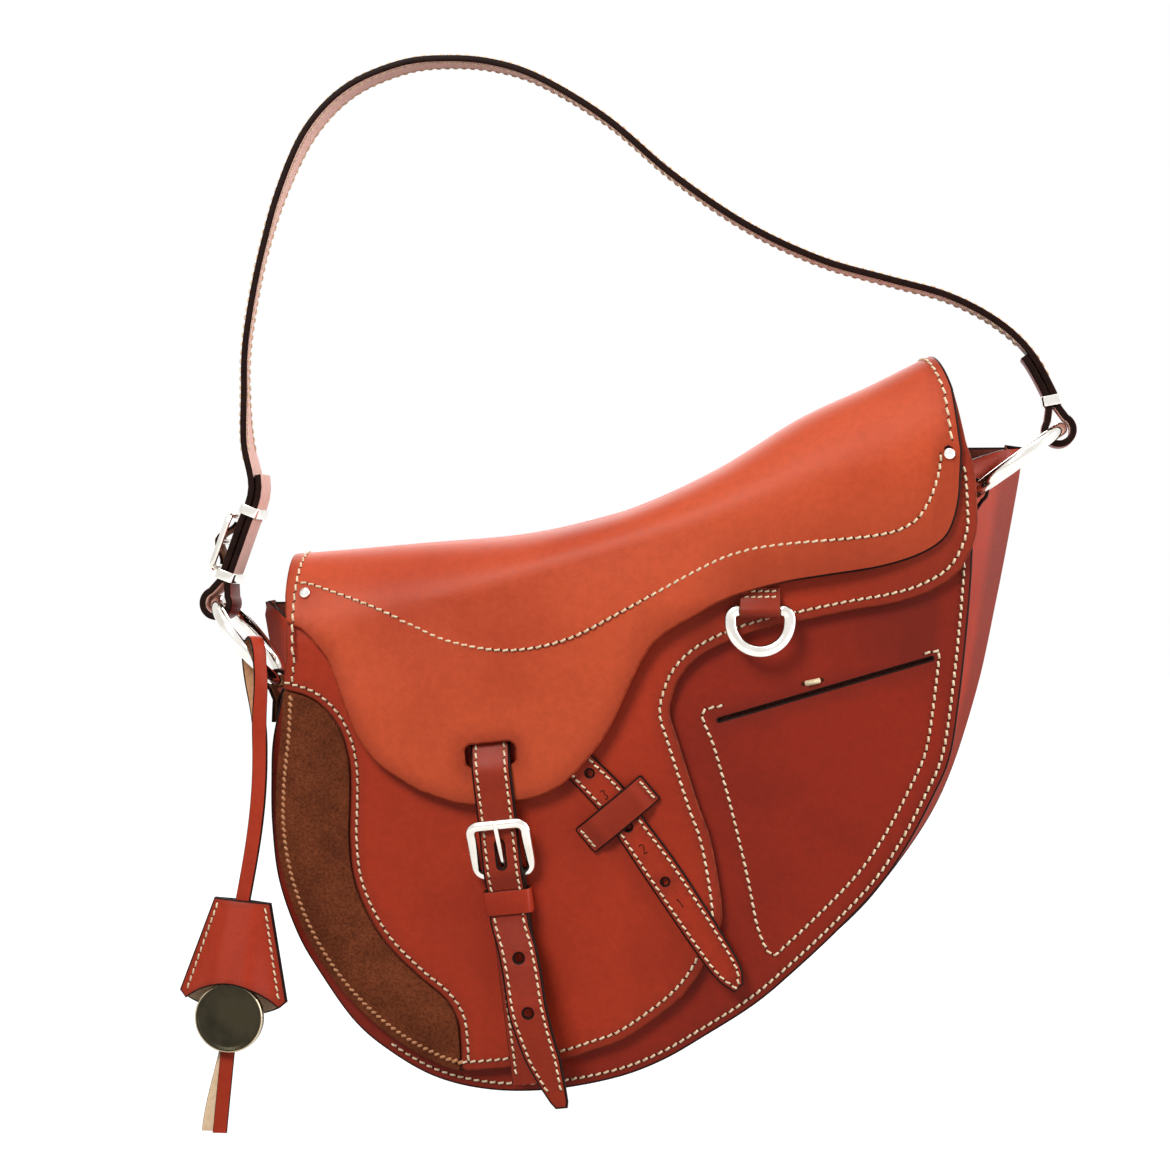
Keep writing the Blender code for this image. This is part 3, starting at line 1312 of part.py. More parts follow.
def make_adjuster():
    """A centre-bar buckle lying on the strap's outer side, with a sewn leather patch over its bar."""
    spot, along = point_on_run(RUN, ADJUSTER_START)
    outward = Vector((-along.y, along.x))
    place = adjuster_place(spot, along, outward)
    face = STRAP_THICKNESS / 2 + FIT_GAP
    level = face + ADJUSTER_PATCH_THICKNESS + FIT_GAP + ADJUSTER_WIRE_RADIUS
    half = ADJUSTER_HEIGHT / 2
    loop = rounded_box((-ADJUSTER_HALF_WIDTH, -half), (ADJUSTER_HALF_WIDTH, half), ADJUSTER_CORNER, 3)
    frame = wire_mesh([place(point.x, point.y, level) for point in loop], ADJUSTER_WIRE_RADIUS, True)
    bar = wire_mesh([place(-ADJUSTER_HALF_WIDTH, 0, level), place(ADJUSTER_HALF_WIDTH, 0, level)],
                    ADJUSTER_WIRE_RADIUS * adjuster_bar_share, False)
    made = add_mesh("adjuster_buckle", frame, metal("adjuster_metal"), strap_pivot)
    crossbar = add_mesh("adjuster_crossbar", bar, metal("adjuster_bar_metal"), strap_pivot)
    hide_as_cutter(crossbar)
    join = made.modifiers.new("centre bar", "BOOLEAN")
    join.operation = "UNION"
    join.object = crossbar
    reach = half - ADJUSTER_WIRE_RADIUS - FIT_GAP - ADJUSTER_PATCH_THICKNESS / 2
    path = []
    for i in range(PATCH_STEPS + 1):
        up = -reach + 2 * reach * i / PATCH_STEPS
        bulge = (1 + math.cos(math.pi * up / reach)) / 2
        path.append(Vector((up, face + ADJUSTER_PATCH_THICKNESS / 2 + ADJUSTER_PATCH_BULGE * bulge)))
    patch = filled([ribbon_outline(path, ADJUSTER_PATCH_THICKNESS)], ADJUSTER_PATCH_WIDTH)
    place_points(patch, lambda up, out, y: place(y, up, out))
    add_mesh("adjuster_patch", patch, leather("adjuster_leather"), strap_pivot)


make_strap()
make_band("strap_band_left_low", RUN, STRAP_BAND_HEIGHT * end_band_share, -1)
make_band("strap_band_left_high", RUN, ADJUSTER_START + ADJUSTER_HEIGHT / 2 + STRAP_BAND_HEIGHT, -1)
make_band("strap_band_right", RUN[::-1], STRAP_BAND_HEIGHT * end_band_share, 1)
make_adjuster()


# Clochette
def lace_hang():
    """The place on the left ring's wire where the lace hangs, in front of the tab."""
    out = Vector((-math.cos(LEFT_RING_TILT), 0, -math.sin(LEFT_RING_TILT)))
    forward = Vector((0, -1, 0))
    reach = forward * math.sin(LACE_HANG_ANGLE) - out * math.cos(LACE_HANG_ANGLE)
    return LEFT_RING + reach * RING_RADIUS


HANG = lace_hang()
clochette_pivot = empty("clochette_pivot", HANG, bag_root)
BELL_TOP = HANG - Vector((LACE_LEAN, 0, LACE_DROP))
BELL_UP = Vector((BELL_LEAN, 0, 1)).normalized()
BELL_SIDE = Vector((BELL_UP.z, 0, -BELL_UP.x))
bell_pivot = empty("bell_pivot", BELL_TOP, bag_root)
LACE_HALF_PITCH = (LACE_THICKNESS + FIT_GAP) / 2
BELL_TOP_BULGE = LACE_HALF_PITCH + LACE_THICKNESS / 2 + FIT_GAP - BELL_SEAM / 2


def in_bell(across, up, depth):
    """The bell's own frame: its origin is at the middle of its top, with depth towards the back."""
    return BELL_TOP + BELL_SIDE * across + BELL_UP * up + Vector((0, depth, 0))


def bell_half_width(up):
    share = -up / BELL_HEIGHT
    return (BELL_TOP_WIDTH + (BELL_BOTTOM_WIDTH - BELL_TOP_WIDTH) * share) / 2


def make_bell_half(name, direction, arch):
    """One bowed leather face of the bell, sewn to the other along both sloping sides."""
    top = BELL_TOP_WIDTH / 2
    bottom = BELL_BOTTOM_WIDTH / 2
    outline = [Vector((-top, 0)), Vector((-bottom, -BELL_HEIGHT + BELL_CORNER_CUT))]
    for i in range(BELL_STEPS + 1):
        share = -1 + 2 * i / BELL_STEPS
        outline.append(Vector((share * (bottom - BELL_CORNER_CUT), -BELL_HEIGHT + arch * (1 - share**2))))
    outline += [Vector((bottom, -BELL_HEIGHT + BELL_CORNER_CUT)), Vector((top, 0))]
    mesh = filled([outline], BELL_THICKNESS)
    cuts = [(Vector((0, -BELL_HEIGHT * i / 4, 0)), Vector((0, 1, 0))) for i in range(1, 4)]
    cuts += [(Vector((bottom * i / 4, 0, 0)), Vector((1, 0, 0))) for i in range(-3, 4)]
    divide(mesh, cuts)

    def place(across, up, n):
        share = min(abs(across) / bell_half_width(up), 1)
        fall = -up / BELL_HEIGHT
        bulge = BELL_TOP_BULGE + (BELL_BOTTOM_BULGE - BELL_TOP_BULGE) * fall
        swell = bulge * smooth_step((1 - share) / bell_swell_share)
        return in_bell(across, up, direction * (BELL_SEAM / 2 + BELL_THICKNESS / 2 + swell) + n)

    place_points(mesh, place)
    add_mesh(name, mesh, leather(name + "_leather"), bell_pivot)


def lace_pair(distance):
    """The middle of the two strands at a distance down from the ring, with their twist and spacing."""
    drop_to_bell = HANG.z - BELL_TOP.z
    if distance <= drop_to_bell:
        share = distance / drop_to_bell
        bow = LACE_BOW * math.sin(math.pi * share)
        place = HANG.lerp(BELL_TOP, share) + Vector((bow, 0, 0))
    else:
        place = BELL_TOP - BELL_UP * (distance - drop_to_bell)
    twist = LACE_TWIST * (1 - smooth_step(distance / LACE_TWIST_LENGTH))
    opening = 1 - smooth_step((distance - LACE_LOOP_RUN) / LACE_CLOSE_LENGTH)
    half = LACE_HALF_PITCH + (LACE_LOOP_HALF - LACE_HALF_PITCH) * opening
    return place, twist, half


def make_lace():
    """One flat lace looped over the ring's wire: both strands run down through the bell to their tails."""
    length = HANG.z - BELL_TOP.z + MEDALLION_DROP + LACE_TAIL_LENGTH
    rows = []
    for strand in (-1, 1):
        run = []
        for i in range(LACE_STEPS + 1):
            distance = length * i / LACE_STEPS
            place, twist, half = lace_pair(distance)
            across = Vector((math.cos(twist), math.sin(twist), 0))
            apart = Vector((-math.sin(twist), math.cos(twist), 0))
            past = distance - (length - LACE_TAIL_LENGTH)
            splay = LACE_TAIL_SPREAD * smooth_step(past / LACE_TAIL_LENGTH) if strand > 0 else 0
            run.append((place + apart * half * strand - BELL_SIDE * splay, across))
        rows.append(run)
    top = []
    across = Vector((math.cos(LACE_TWIST), math.sin(LACE_TWIST), 0))
    apart = Vector((-math.sin(LACE_TWIST), math.cos(LACE_TWIST), 0))
    for i in range(1, LACE_LOOP_STEPS):
        angle = math.pi * i / LACE_LOOP_STEPS
        over = Vector((0, 0, LACE_LOOP_TOP * math.sin(angle)))
        top.append((HANG - apart * LACE_LOOP_HALF * math.cos(angle) + over, across))
    strip = rows[0][::-1] + top + rows[1]
    work = bmesh.new()
    edges = []
    for place, across in strip:
        half = across * LACE_WIDTH / 2
        edges.append([work.verts.new(place - half), work.verts.new(place + half)])
    for low, high in zip(edges, edges[1:]):
        work.faces.new((low[0], low[1], high[1], high[0]))
    mesh = bpy.data.meshes.new("lace")
    work.to_mesh(mesh)
    work.free()
    made = add_mesh("clochette_lace", mesh, leather("lace_leather"), clochette_pivot)
    shell = made.modifiers.new("thickness", "SOLIDIFY")
    shell.thickness = LACE_THICKNESS
    shell.offset = 0


MEDALLION_DEPTH = -(2 * LACE_HALF_PITCH + LACE_THICKNESS) / 2 - FIT_GAP - MEDALLION_THICKNESS / 2


def make_medallion():
    """A plain round medallion with a raised rim, on a bail whose top lies inside the bell."""
    post = math.sqrt(MEDALLION_RADIUS**2 - BAIL_HALF_WIDTH**2) - MEDALLION_DROP
    bail_top = post + BAIL_STRAIGHT + BAIL_HALF_WIDTH
    pivot = empty("medallion_pivot", in_bell(0, bail_top, MEDALLION_DEPTH), bag_root)
    half = MEDALLION_THICKNESS / 2
    rim = MEDALLION_RADIUS - MEDALLION_RIM
    profile = [(0, half - MEDALLION_DISH), (rim - MEDALLION_DISH, half - MEDALLION_DISH), (rim, half),
               (MEDALLION_RADIUS - MEDALLION_DISH, half), (MEDALLION_RADIUS, half - MEDALLION_DISH),
               (MEDALLION_RADIUS, -half + MEDALLION_DISH), (MEDALLION_RADIUS - MEDALLION_DISH, -half),
               (0, -half)]
    bronze = material("medallion_bronze", BRONZE, 0.38, 0.9)
    centre = in_bell(0, -MEDALLION_DROP, MEDALLION_DEPTH)
    turned("medallion", profile, centre, Vector((0, -1, 0)), bronze, pivot, 32)
    foot = math.sqrt((MEDALLION_RADIUS + FIT_GAP) ** 2 - BAIL_HALF_WIDTH**2) - MEDALLION_DROP + BAIL_FOOT
    flat = [Vector((-BAIL_HALF_WIDTH, foot))]
    flat += arc((0, bail_top - BAIL_HALF_WIDTH), BAIL_HALF_WIDTH, 180, 0, 10)
    flat.append(Vector((BAIL_HALF_WIDTH, foot)))
    mesh = wire_mesh([in_bell(point.x, point.y, MEDALLION_DEPTH) for point in flat], BAIL_WIRE_RADIUS, False)
    add_mesh("medallion_bail", mesh, material("bail_bronze", BRONZE, 0.32, 0.9), pivot)


make_lace()
make_bell_half("bell_front", -1, BELL_FRONT_ARCH)
make_bell_half("bell_back", 1, BELL_BACK_ARCH)
make_medallion()

# The crown of the strap, from which everything hangs, is the origin of the world
crown = max(RUN, key=lambda point: point.y)
bag_root.location = (-crown.x, -STRAP_DEPTH, -crown.y - STRAP_THICKNESS / 2)
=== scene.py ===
import math

import bmesh
import bpy
from mathutils import Matrix, Vector, kdtree


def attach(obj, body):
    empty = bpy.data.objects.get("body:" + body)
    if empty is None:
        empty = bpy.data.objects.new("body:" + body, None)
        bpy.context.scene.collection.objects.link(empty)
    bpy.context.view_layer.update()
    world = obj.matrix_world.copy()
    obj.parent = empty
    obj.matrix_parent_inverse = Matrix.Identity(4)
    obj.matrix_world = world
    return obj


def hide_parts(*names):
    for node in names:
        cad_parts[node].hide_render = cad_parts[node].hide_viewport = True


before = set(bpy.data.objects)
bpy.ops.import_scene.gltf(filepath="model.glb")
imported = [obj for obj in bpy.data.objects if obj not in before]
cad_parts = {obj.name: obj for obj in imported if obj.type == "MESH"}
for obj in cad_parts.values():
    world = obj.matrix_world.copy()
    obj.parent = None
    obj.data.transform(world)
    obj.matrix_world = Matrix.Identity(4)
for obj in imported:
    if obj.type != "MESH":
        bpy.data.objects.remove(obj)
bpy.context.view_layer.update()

# How finely the shapes below are cut
CURVE_STEPS = 10
OUTLINE_STEPS = 10
LOOP_STEPS = 34
STRAP_STEPS = 150
GUSSET_STATIONS = 110
GUSSET_ROWS = 13
CELL = 0.0055
ROLL_STEPS = 26
CLOSURE_LEVELS = 60
WELD = 1e-7

# Bag body
BAG_WIDTH = 0.300
BAG_HEIGHT = 0.290
TOP_DEPTH = 0.062
BOTTOM_DEPTH = 0.036
FRONT_BOW = 0.009
PANEL_THICKNESS = 0.0022
GUSSET_THICKNESS = 0.0016
GUSSET_INSET = 0.0018
GUSSET_FLANGE = 0.0030
GUSSET_FOLD = 0.0025
GUSSET_TOP_FOLD = 0.0130
FIT_GAP = 0.0003
SEAM_GAP = 0.0006

# The straight line along the back about which the lid folds, and the roll of the lid over the top
hinge_height_share = 0.7276
hinge_rise_share = 0.3124
HINGE_CLEARANCE = 0.0004
ROLL_LENGTH = 0.090
EAR_CLEARANCE = 0.003
HINGE_HEIGHT = BAG_HEIGHT * hinge_height_share
HINGE_SLOPE = BAG_HEIGHT * hinge_rise_share / BAG_WIDTH

# Lid layers, from the inside out
LID_GAP = 0.0006
LINING_THICKNESS = 0.0012
FACING_THICKNESS = 0.0018
SUEDE_THICKNESS = 0.0016
SEAT_THICKNESS = 0.0020
SEAT_LIFT = 0.0034
SEAT_LIFT_LENGTH = 0.036
SEAT_LIFT_FADE = 0.060
SEAT_BACK_STOP = 0.006
INLAY_GAP = 0.0005

# The slip pocket's pouch
POUCH_THICKNESS = 0.0010

# Rivets
RIVET_HEAD_RADIUS = 0.0024
RIVET_HEAD_HEIGHT = 0.0016
RIVET_SHANK_RADIUS = 0.0010
RIVET_CLEARANCE = 0.0003

# Closure strap, its buckle and the lower strap that carries the buckle
CLOSURE_WIDTH = 0.016
CLOSURE_THICKNESS = 0.0022
CLOSURE_LEAN_SLOPE = 0.110
closure_bar_shares = (-0.1013, 0.2966)
BUCKLE_STRAP_THICKNESS = 0.0015
BUCKLE_HEIGHT = 0.0209
BUCKLE_HALF_WIDTH = 0.0111
BUCKLE_CORNER = 0.0034
BUCKLE_WIRE_RADIUS = 0.0016
BUCKLE_BAR_RADIUS = 0.0013
LOOP_CLEARANCE = 0.0003
TONGUE_WIDTH = 0.0018
TONGUE_HALF_HEIGHT = 0.0009
TONGUE_EYE_WALL = 0.0010
TONGUE_OVERHANG = 0.0024
TONGUE_HOLE_WIDTH = 0.0028
TONGUE_HOLE_LOW = 0.0030
TONGUE_HOLE_HIGH = 0.0142
HOLE_RADIUS = 0.0017
HOLE_PITCH = 0.0217
FIRST_HOLE_DROP = 0.0334
KEEPER_THICKNESS = 0.0010
KEEPER_HEIGHT = 0.0100
KEEPER_DROP = 0.0112
KEEPER_CORNER = 0.0012
SLOT_TOP = 0.0535
SLOT_BOTTOM = 0.0440
SLOT_HALF_WIDTH = 0.0104
SLOT_CORNER = 0.0030
STRAP_ANCHOR = 0.0640
TAIL_LENGTH = 0.0950
TAIL_STAND = 0.0095
first_hole_stand_share = 0.5
BUCKLE_STRAP_LENGTH = 0.0870
RETURN_LENGTH = 0.0240
FOLD_SPREAD = 0.0060

# Diagonal stirrup strap and its keeper
STIRRUP_THICKNESS = 0.0018
STIRRUP_KEEPER_THICKNESS = 0.0016
STIRRUP_HOLE_RADIUS = 0.0014
arch_start_share = 0.06
arch_length_share = 0.16

# D-ring on the lid
DEE_WIRE_RADIUS = 0.0016
DEE_HALF_WIDTH = 0.0118
DEE_STRAIGHT = 0.0045
DEE_TAB_WIDTH = 0.0160
DEE_TAB_THICKNESS = 0.0012
DEE_TAB_LENGTH = 0.0090
tab_close_share = 0.62
dee_bar_shares = (0.2417, 0.6638)

# Rings that join the shoulder strap to the bag, and the leather tabs that carry them
RING_WIRE_RADIUS = 0.0027
RING_SIDE_CLEARANCE = 0.0071
RING_RADIUS = TOP_DEPTH / 2 - RING_WIRE_RADIUS - RING_SIDE_CLEARANCE
TAB_WIDTH = 0.0120
TAB_THICKNESS = 0.0016
TAB_LENGTH = 0.0170
TAB_CLEARANCE = 0.0005
TAB_OPENING = 30.0
tab_neck_share = 1.70
left_tab_shares = (-0.427, 0.558)
right_tab_shares = (0.527, 0.826)
LEFT_RING_TILT = math.radians(-52.0)
RIGHT_RING_TILT = math.radians(36.5)

# Shoulder strap
strap_depth_share = 0.508
STRAP_DEPTH = TOP_DEPTH * strap_depth_share
STRAP_WIDTH = 0.0180
STRAP_THICKNESS = 0.0028
STRAP_BAND_HEIGHT = 0.0042
STRAP_BAND_WALL = 0.0009
STRAP_LOOP_OPENING = 42.0
end_band_share = 0.6

# Strap adjuster on the left
ADJUSTER_WIRE_RADIUS = 0.0013
adjuster_bar_share = 0.9
ADJUSTER_HALF_WIDTH = 0.0112
ADJUSTER_HEIGHT = 0.0230
ADJUSTER_CORNER = 0.0034
ADJUSTER_PATCH_THICKNESS = 0.0014
ADJUSTER_PATCH_BULGE = 0.0052
ADJUSTER_PATCH_WIDTH = 0.0130
ADJUSTER_START = 0.0155
LEFT_RETURN = 0.0470
RIGHT_RETURN = 0.0230
STRAP_NECK = 0.0095

# Clochette: lace, bell and medallion
LACE_HANG_ANGLE = math.radians(62.0)
LACE_WIDTH = 0.0060
LACE_THICKNESS = 0.0014
LACE_LOOP_HALF = 0.0049
LACE_LOOP_TOP = 0.0098
LACE_LOOP_RUN = 0.0060
LACE_TWIST = math.radians(40.0)
LACE_BOW = 0.0045
LACE_TWIST_LENGTH = 0.0420
LACE_CLOSE_LENGTH = 0.0340
LACE_DROP = 0.0977
LACE_LEAN = 0.0046
BELL_LEAN = 0.100
BELL_TOP_WIDTH = 0.0236
BELL_BOTTOM_WIDTH = 0.0450
BELL_HEIGHT = 0.0425
BELL_FRONT_ARCH = 0.0085
BELL_THICKNESS = 0.0014
BELL_BOTTOM_BULGE = 0.0096
BELL_SEAM = 0.0004
BELL_CORNER_CUT = 0.0030
bell_swell_share = 0.75
MEDALLION_RADIUS = 0.0142
MEDALLION_THICKNESS = 0.0040
MEDALLION_RIM = 0.0013
MEDALLION_DISH = 0.0006
MEDALLION_DROP = 0.0480
BAIL_WIRE_RADIUS = 0.0012
BAIL_HALF_WIDTH = 0.0070
BAIL_STRAIGHT = 0.0060
BAIL_FOOT = 0.0008
LACE_TAIL_LENGTH = 0.0480
LACE_TAIL_SPREAD = 0.0080
WALL_STEPS = 12

# Outlines, as shares of the bag's width and height
ridge_shares = (
    (-0.430, 0.718), (-0.413, 0.719), (-0.325, 0.726), (-0.222, 0.735), (-0.084, 0.747), (0.023, 0.770),
    (0.097, 0.795), (0.196, 0.844), (0.301, 0.911), (0.391, 0.954), (0.473, 0.996), (0.530, 1.020),
)
front_outline_shares = (
    (-0.413, 0.552), (-0.430, 0.480), (-0.434, 0.420), (-0.434, 0.353), (-0.426, 0.276), (-0.401, 0.200),
    (-0.369, 0.143), (-0.323, 0.077), (-0.276, 0.036), (-0.211, -0.001), (-0.137, -0.018), (-0.053, -0.017),
    (0.037, 0.001), (0.103, 0.027), (0.167, 0.066), (0.232, 0.110), (0.283, 0.155), (0.343, 0.214),
    (0.399, 0.276), (0.437, 0.334), (0.471, 0.401), (0.494, 0.458), (0.507, 0.542), (0.519, 0.661),
    (0.524, 0.753), (0.521, 0.836),
)
back_outline_shares = (
    (-0.473, 0.672), (-0.462, 0.600), (-0.448, 0.500), (-0.440, 0.380), (-0.424, 0.280), (-0.385, 0.180),
    (-0.335, 0.100), (-0.275, 0.043), (-0.200, 0.006), (-0.105, -0.010), (0.000, 0.000), (0.100, 0.030),
    (0.200, 0.090), (0.270, 0.140), (0.330, 0.192), (0.395, 0.262), (0.475, 0.385), (0.525, 0.530),
    (0.555, 0.674), (0.582, 0.830), (0.590, 0.893),
)
lid_left_roll_shares = ((-0.4100, 1.000), (-0.4100, 0.500), (-0.4055, 0.200))
lid_left_shares = (
    (-0.404, 0.600), (-0.410, 0.549), (-0.4142, 0.487), (-0.422, 0.421), (-0.424, 0.354), (-0.415, 0.288),
    (-0.392, 0.217), (-0.356, 0.151), (-0.310, 0.095), (-0.254, 0.049), (-0.198, 0.019), (-0.168, 0.010),
)
lid_right_shares = (
    (-0.168, 0.010), (-0.104, 0.017), (-0.029, 0.030), (0.013, 0.044), (0.055, 0.061), (0.105, 0.097),
    (0.139, 0.129), (0.165, 0.168), (0.185, 0.219), (0.188, 0.254), (0.175, 0.339), (0.158, 0.392),
    (0.142, 0.445), (0.129, 0.489), (0.121, 0.518), (0.124, 0.542), (0.137, 0.573), (0.162, 0.599),
    (0.205, 0.622), (0.255, 0.639), (0.297, 0.648), (0.356, 0.661), (0.415, 0.672), (0.457, 0.685),
    (0.494, 0.707), (0.515, 0.735), (0.527, 0.770), (0.528, 0.804), (0.524, 0.857), (0.513, 0.893),
)
lid_right_roll_shares = ((0.499, 0.200), (0.473, 0.500), (0.468, 1.000))
lobe_shares = (
    (-0.401, 0.634), (-0.377, 0.627), (-0.356, 0.610), (-0.340, 0.586), (-0.318, 0.528), (-0.301, 0.487),
    (-0.277, 0.453), (-0.245, 0.429), (-0.209, 0.409), (-0.149, 0.393), (-0.081, 0.400), (-0.044, 0.410),
    (-0.008, 0.436), (0.033, 0.487), (0.061, 0.543), (0.083, 0.591), (0.108, 0.626), (0.155, 0.657),
    (0.206, 0.683), (0.273, 0.702), (0.331, 0.712), (0.394, 0.722), (0.440, 0.735), (0.473, 0.752),
    (0.492, 0.774), (0.503, 0.813), (0.506, 0.856), (0.507, 0.884),
)
inlay_shares = (
    (-0.411, 0.551), (-0.372, 0.539), (-0.344, 0.516), (-0.326, 0.484), (-0.317, 0.442), (-0.317, 0.394),
    (-0.319, 0.337), (-0.313, 0.280), (-0.293, 0.228), (-0.266, 0.186), (-0.225, 0.145), (-0.192, 0.117),
    (-0.174, 0.089), (-0.169, 0.055), (-0.168, 0.011),
)
pouch_shares = (
    (0.182, 0.545), (0.164, 0.518), (0.179, 0.471), (0.200, 0.391), (0.220, 0.302), (0.232, 0.231),
    (0.245, 0.190), (0.261, 0.180), (0.283, 0.192), (0.325, 0.236), (0.368, 0.290), (0.401, 0.349),
    (0.430, 0.386), (0.450, 0.428), (0.462, 0.476), (0.473, 0.529), (0.481, 0.577), (0.479, 0.614),
    (0.458, 0.628),
)
slit_shares = ((0.186, 0.509), (0.469, 0.595))
stirrup_left_shares = (
    (-0.042, 0.455), (-0.011, 0.424), (0.025, 0.384), (0.047, 0.351), (0.099, 0.269), (0.170, 0.162),
    (0.204, 0.130),
)
stirrup_right_shares = (
    (0.217, 0.143), (0.208, 0.181), (0.137, 0.301), (0.085, 0.376), (0.059, 0.418), (0.020, 0.459),
    (-0.014, 0.494),
)
stirrup_hole_shares = ((0.013, 0.437), (0.064, 0.362), (0.113, 0.286))
tail_lean_shares = (
    (1.000, 0.000), (0.180, 0.000), (-0.060, 0.000), (-0.200, 0.000), (-0.300, 0.120), (-0.420, 0.205),
    (-0.560, 0.260), (-0.700, 0.390), (-0.860, 0.600), (-1.000, 0.820),
)
closure_width_shares = (
    (1.000, 1.000), (-0.600, 1.000), (-0.790, 0.900), (-0.900, 0.660), (-0.985, 0.420), (-1.000, 0.300),
)
stirrup_keeper_shares = ((-0.010, 0.356), (0.020, 0.326), (0.110, 0.403), (0.080, 0.435))
rivet_shares = ((-0.376, 0.671), (0.490, 0.878))

# The shoulder strap's run between its rings: shares of the distance between them, along it and square to it
strap_shares = (
    (0.0686, 0.1244), (0.0692, 0.1790), (0.0781, 0.2360), (0.0892, 0.2867), (0.1093, 0.3432),
    (0.1349, 0.4011), (0.1692, 0.4631), (0.2153, 0.5235), (0.2716, 0.5609), (0.3395, 0.5741),
    (0.3948, 0.5680), (0.4479, 0.5513), (0.4983, 0.5210), (0.5641, 0.4589), (0.6262, 0.3791),
    (0.6980, 0.3041), (0.7734, 0.2468), (0.8440, 0.2090), (0.9069, 0.1761), (0.9554, 0.1360),
    (0.9858, 0.0929),
)
left_strap_turn_shares = (0.5184, 0.8551)
right_strap_turn_shares = (-0.0455, 0.9990)


def smooth(shares, steps=CURVE_STEPS):
    """A curve through given points, in the units of those points."""
    points = [Vector(share) for share in shares]
    ends = [2 * points[0] - points[1]] + points + [2 * points[-1] - points[-2]]
    curve = []
    for i in range(len(points) - 1):
        before, start, end, after = ends[i:i + 4]
        for step in range(steps):
            t = step / steps
            curve.append(
                0.5 * (2 * start + (end - before) * t + (2 * before - 5 * start + 4 * end - after) * t**2
                       + (3 * start - before - 3 * end + after) * t**3)
            )
    return curve + [points[-1]]


def sized(shares):
    """Shares of the bag's width and height, as lengths."""
    return [Vector((share[0] * BAG_WIDTH, share[1] * BAG_HEIGHT)) for share in shares]


def curve_of(shares, steps=CURVE_STEPS):
    return sized(smooth(shares, steps))


def height_on(curve, x):
    """The height of a left-to-right curve at x."""
    for low, high in zip(curve, curve[1:]):
        if x <= high.x:
            part = (x - low.x) / (high.x - low.x)
            return low.y + (high.y - low.y) * part
    return curve[-1].y


def smooth_step(value):
    value = min(max(value, 0), 1)
    return value * value * (3 - 2 * value)


RIDGE = curve_of(ridge_shares)


def hinge_height(x):
    return HINGE_HEIGHT + HINGE_SLOPE * x


def front_depth(x, z):
    """How far back the outer face of the front panel lies: it leans back towards the bottom."""
    slant = (TOP_DEPTH - BOTTOM_DEPTH) * (1 - z / BAG_HEIGHT)
    bow = FRONT_BOW * (2 * x / BAG_WIDTH) ** 2
    return slant + bow


def skin(x, s):
    """The bag's outer surface: up the front to the lid's fold line, then over the top to the back."""
    hinge = hinge_height(x)
    if s <= hinge:
        return Vector((x, front_depth(x, s), s))
    turn = math.pi * (s - hinge) / ROLL_LENGTH
    front = front_depth(x, hinge)
    middle = (front + TOP_DEPTH) / 2
    reach = (TOP_DEPTH - front) / 2
    rise = height_on(RIDGE, x) - hinge
    return Vector((x, middle - reach * math.cos(turn), hinge + rise * math.sin(turn)))


def skin_normal(x, s):
    step = FIT_GAP
    across = skin(x + step, s) - skin(x - step, s)
    along = skin(x, s + step) - skin(x, s - step)
    return across.cross(along).normalized()


def on_skin(x, s, offset):
    return skin(x, s) + skin_normal(x, s) * offset


LINING_OFFSET = LID_GAP + LINING_THICKNESS / 2
FACING_OFFSET = LID_GAP + LINING_THICKNESS + SEAM_GAP + FACING_THICKNESS / 2
LID_FACE = FACING_OFFSET + FACING_THICKNESS / 2
SUEDE_OFFSET = LID_GAP + LINING_THICKNESS + SEAM_GAP + SUEDE_THICKNESS / 2


def rolled_away(x, s):
    """1 on the front, falling to 0 at the back end of the roll."""
    return 1 - smooth_step((s - hinge_height(x)) / ROLL_LENGTH)


def lining_offset(x, s):
    return LINING_OFFSET * rolled_away(x, s) + LINING_THICKNESS / 2 * (1 - rolled_away(x, s))


def facing_offset(x, s):
    return lining_offset(x, s) + FACING_OFFSET - LINING_OFFSET


def seat_offset(x, s):
    """The seat lies on the lid near the ridge, and its lobe stands off enough for the straps under it."""
    sewn_down = smooth_step((BAG_WIDTH / 2 - x) / SEAT_LIFT_FADE)
    lift = SEAT_LIFT * smooth_step((hinge_height(x) - s) / SEAT_LIFT_LENGTH) * sewn_down
    seat = facing_offset(x, s) + FACING_THICKNESS / 2 + SEAM_GAP + SEAT_THICKNESS / 2
    return seat + lift


def circle(centre, radius, count=12):
    points = []
    for i in range(count):
        angle = 2 * math.pi * i / count
        points.append(Vector((centre[0] + radius * math.cos(angle), centre[1] + radius * math.sin(angle))))
    return points


def rounded_box(low, high, corner, steps=3):
    """A rounded rectangle from its low corner to its high corner, anticlockwise."""
    centres = (
        (high[0] - corner, low[1] + corner, -90), (high[0] - corner, high[1] - corner, 0),
        (low[0] + corner, high[1] - corner, 90), (low[0] + corner, low[1] + corner, 180),
    )
    points = []
    for x, y, start in centres:
        for step in range(steps + 1):
            angle = math.radians(start + 90 * step / steps)
            points.append(Vector((x + corner * math.cos(angle), y + corner * math.sin(angle))))
    return points


def arc(centre, radius, start, end, steps):
    points = []
    for i in range(steps + 1):
        angle = math.radians(start + (end - start) * i / steps)
        points.append(Vector((centre[0] + radius * math.cos(angle), centre[1] + radius * math.sin(angle))))
    return points


def tab_point(shares):
    return Vector((shares[0] * BAG_WIDTH, STRAP_DEPTH, shares[1] * BAG_HEIGHT))


LEFT_TAB = tab_point(left_tab_shares)
RIGHT_TAB = tab_point(right_tab_shares)


def ring_centre(tab, tilt, side):
    """The ring leaves its tab upwards and outwards."""
    out = Vector((side * math.cos(tilt), 0, side * math.sin(tilt)))
    return tab + out * RING_RADIUS


